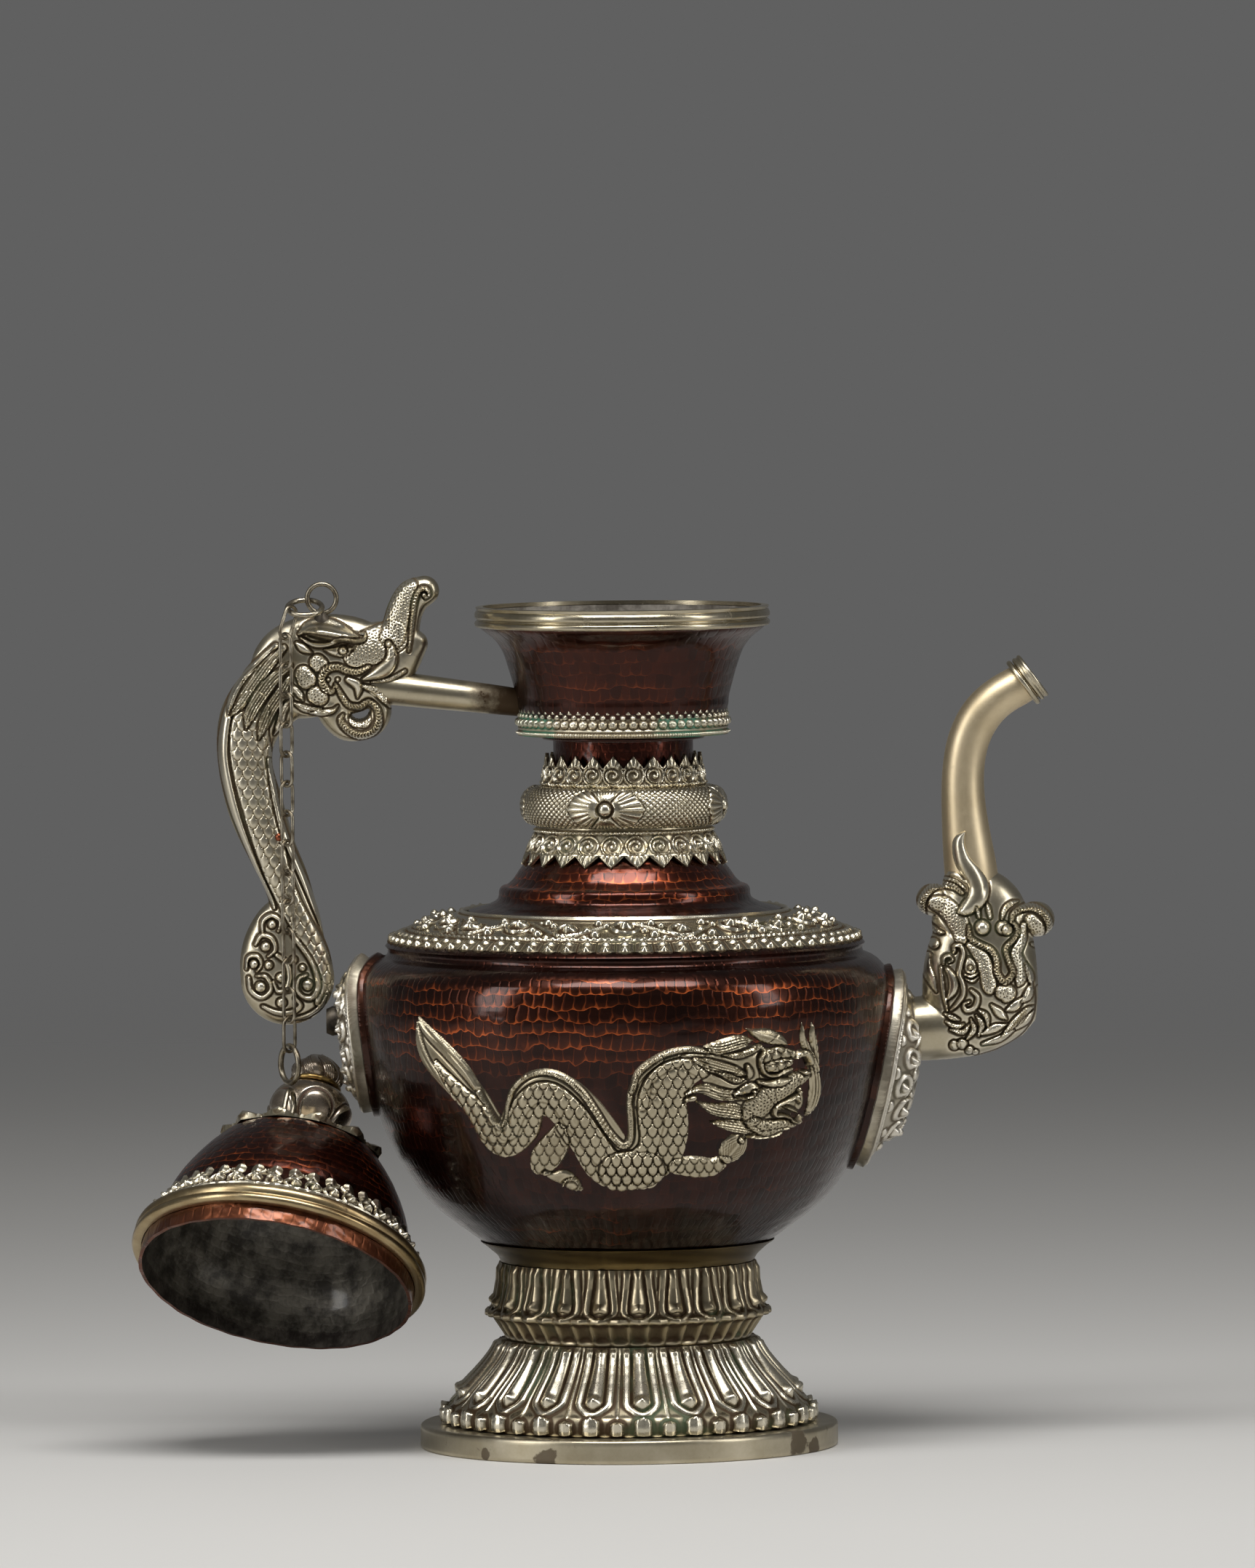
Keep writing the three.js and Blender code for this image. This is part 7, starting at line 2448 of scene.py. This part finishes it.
@dataclass
class Mounts:
    """What is laid on the bowl: a dragon on each broad side, and a plate with a medallion on each end."""

    bowl: Body = field(default_factory=Body)
    plate: float = 2.0
    margin: float = 2.2
    border: float = 3.0
    tail_sheet: Sheet = Sheet(-98.4, 197.2, 0.26 / 4)
    dragon_sheet: Sheet = Sheet(-4.4, 162.8, 0.26 / 5)
    handle: tuple[float, float, float, float] = (147.5, 21.0, 29.0, 7.0)
    spout: tuple[float, float, float, float] = (135.0, 27.0, 36.5, 11.0)

    def on_bowl(self, x: Grid, z: Grid, height: Grid) -> Grid:
        """Give places at a height over the front of the bowl.

        Args:
            x, z: Place seen from the front.
            height: Its height over the bowl.

        Returns:
            Its place.
        """
        rows = np.array(smoothed(sized(self.bowl.shares, self.bowl.radius, self.bowl.height, self.level)[2:]))
        radius = np.interp(z, rows[:, 1], rows[:, 0])
        slope = (np.interp(z + 1, rows[:, 1], rows[:, 0]) - np.interp(z - 1, rows[:, 1], rows[:, 0])) / 2
        out = height / np.hypot(1, slope)
        share = np.clip(x / radius, -0.98, 0.98)
        return np.stack(
            [(radius + out) * share, -(radius + out) * np.sqrt(1 - share ** 2), z - out * slope], -1,
        )

    def dragon(self) -> Skin:
        """Chase the dragon.

        Returns:
            Its surface.
        """
        plane = Chased(-80.0, 92.0, 74.0, 164.0, 0.28)
        plane.work(self.tail_sheet, TAIL_STROKES, (), True)
        plane.work(self.dragon_sheet, DRAGON_STROKES, DRAGON_BALLS, True)
        return plane.laid(self.on_bowl)

    def oval(self, middle: float, wide: float, tall: float) -> tuple[Chased, Grid]:
        """Give an oval plane on the side of the bowl.

        Args:
            middle: The level of its middle.
            wide: Its half width.
            tall: Its half height.

        Returns:
            The plane, and how far each place is from the middle as a share of the way to the edge.
        """
        plane = Chased(-wide - 2, middle - tall - 2, wide + 2, middle + tall + 2, 0.32)
        share = np.hypot(plane.x / wide, (plane.z - middle) / tall)
        plane.edge = (share - 1) * wide
        return plane, share

    def medallion(self, middle: float, wide: float, tall: float, boss: float) -> Skin:
        """Chase a stepped medallion with a ring of clouds and balls.

        Args:
            middle: The level of its middle.
            wide: Its half width.
            tall: Its half height.
            boss: How far its middle stands out.

        Returns:
            The surface.
        """
        plane, share = self.oval(middle, wide - self.margin, tall - self.margin)
        size = wide - self.margin
        plane.depth = self.plate + self.border + (boss - self.border - 1.5) * smooth(0.9, 0.42, share)
        turn = np.arctan2((plane.z - middle) / tall, plane.x / wide)
        count = 12 if wide < 25 else 14
        cell = size * 0.62 * TURN / count
        place = turn / TURN * count
        x = (place - np.floor(place) - 0.5) * cell * (0.4 + share * 0.75)
        up = (share - 0.62) * size
        hand = np.where(np.floor(place) % 2 == 0, 1.0, -1.0)
        cloud = 1.3 * spiral(
            x, up + 0.8 * hand, 0.47 * cell, 1.2, 1.0,
        ) + 1.1 * ball(x, up + 0.8 * hand, 0.2 * cell)
        y = (place - np.floor(place + 0.5)) * cell * (0.4 + share * 0.75)
        knob = 1.1 * ball(y, up - 0.16 * size, 0.17 * cell) + 1.0 * ball(y, up + 0.15 * size, 0.15 * cell)
        line = 0.8 * hill((share - 0.93) * size, 0.9) + 0.7 * hill((share - 0.84) * size, 0.6)
        rim = 0.35 * np.cos(70 * turn) * hill((share - 0.885) * size, 0.9)
        petal = 0.9 * np.abs(np.cos(5 * turn)) * smooth(0.42, 0.3, share) * smooth(0.08, 0.16, share)
        ring = np.maximum(cloud, knob) * smooth(0.84, 0.78, share) * smooth(0.36, 0.44, share)
        plane.relief = np.maximum(ring, line) + rim + petal
        return plane.laid(self.on_bowl, slope=4.0)

    def build(self, shop: Shop) -> None:
        """Build the dragons, the plates and the medallions.

        Args:
            shop: Where it is finished and put in place.
        """
        self.level = span("vessel_base")[0]
        dragon, back = self.dragon(), Matrix.Rotation(math.pi, 4, "Z")
        shop.place("dragon", dragon, DRAGON_SILVER, ("dragon_front",))
        shop.place("dragon_behind", dragon.moved(back), DRAGON_SILVER, ("dragon_back",))
        for name, sizes, turn in (("handle", self.handle, -90), ("spout", self.spout, 90)):
            middle, wide, tall, _ = sizes
            plane, _ = self.oval(middle, wide, tall)
            plane.depth = plane.depth + self.plate
            side = Matrix.Rotation(math.radians(turn), 4, "Z")
            shop.place(
                f"{name}_plate", plane.laid(self.on_bowl).moved(side), PLATE_COPPER, (f"{name}_back_plate",),
            )
            medallion = self.medallion(*sizes).moved(side)
            shop.place(f"{name}_clouds", medallion, MATTE_SILVER, (f"{name}_medallion",))


# Studio


@dataclass
class Studio:
    """The pale floor that fades into the room, the soft lamps and the camera."""

    reach: float = 3.4
    floor: Tone = rgb(204, 202, 198)
    floor_shade: Tone = rgb(190, 188, 184)
    world: Tone = rgb(96, 96, 96)
    lens: float = 315.0
    eye: Place = (0.0014, -4.9, 0.48)
    aim: float = 0.237
    roll: float = -0.495
    lamps: tuple[tuple[str, Place, tuple[float, float], float], ...] = (
        ("top_box", (0.0, -0.55, 1.25), (1.0, 0.4), 16.0), ("left_box", (-1.3, -0.8, 0.7), (0.34, 1.2), 8.5),
        ("right_box", (1.35, -0.7, 0.75), (0.3, 1.1), 6.5),
    )

    def lamp(self, name: str, at: Place, size: tuple[float, float], power: float) -> None:
        """Hang a soft box that faces the ewer.

        Args:
            name: Its name.
            at: Its place, in metres.
            size: Its width and height.
            power: Its power in watts.
        """
        light = bpy.data.lights.new(name, "AREA")
        light.shape = "RECTANGLE"
        light.size, light.size_y = size
        light.energy = power
        made = bpy.data.objects.new(name, light)
        made.location = at
        made.rotation_euler = (Vector((0, 0, 0.16)) - Vector(at)).to_track_quat("-Z", "Y").to_euler()
        bpy.context.scene.collection.objects.link(made)

    def build(self, shop: Shop) -> None:
        """Build the floor, the lamps and the camera.

        Args:
            shop: The shop, for its axis.
        """
        corners = np.array([[x, y, -0.02] for x, y in ((-1, -1), (1, -1), (1, 1), (-1, 1))])
        square = Skin(corners * (self.reach / MM, self.reach / MM, 1), np.array([[0, 1, 2, 3]]), np.zeros(4))
        ground = mesh_of("floor", square)
        paint = Paint("floor_paper")
        at = paint.place()
        shade = paint.mix(paint.noise(at, 3.0) * 0.2, self.floor, self.floor_shade)
        away = paint.vector("LENGTH", at, out=1)
        near = away.between(self.reach * 0.98, self.reach * 0.36)
        paper = paint.finish(Base_Color=shade, Roughness=0.6, Metallic=0.0, Alpha=near * near)
        ground.data.materials.append(paper)
        world = bpy.data.worlds.new("room")
        world.use_nodes = True
        world.node_tree.nodes["Background"].inputs["Color"].default_value = self.world
        world.node_tree.nodes["Background"].inputs["Strength"].default_value = 1.0
        bpy.context.scene.world = world
        for lamp in self.lamps:
            self.lamp(*lamp)
        camera = bpy.data.cameras.new("camera")
        camera.lens, camera.sensor_width = self.lens, 36.0
        camera.clip_end = 50.0
        made = bpy.data.objects.new("camera", camera)
        eye = Vector((shop.axis.x + self.eye[0], self.eye[1], self.eye[2]))
        look = (Vector((eye.x, 0, self.aim)) - eye).to_track_quat("-Z", "Y").to_matrix().to_4x4()
        made.matrix_world = Matrix.Translation(eye) @ look @ Matrix.Rotation(math.radians(self.roll), 4, "Z")
        bpy.context.scene.collection.objects.link(made)
        bpy.context.scene.camera = made
        bpy.context.scene.view_settings.view_transform = "Standard"


def main() -> None:
    """Build the ewer piece by piece in its studio."""
    logging.basicConfig(level=logging.INFO, format="%(name)s: %(message)s")
    low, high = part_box("base_ring")
    shop = Shop(Vector(((low.x + high.x) / 2, (low.y + high.y) / 2, 0)))
    for part in (Studio(), Foot(), Body(), Neck(), Mouth(), Handle(), Spout(), Mounts()):
        part.build(shop)
    Lid().build(shop, Chain().build(shop))


if __name__ == "__main__":
    main()
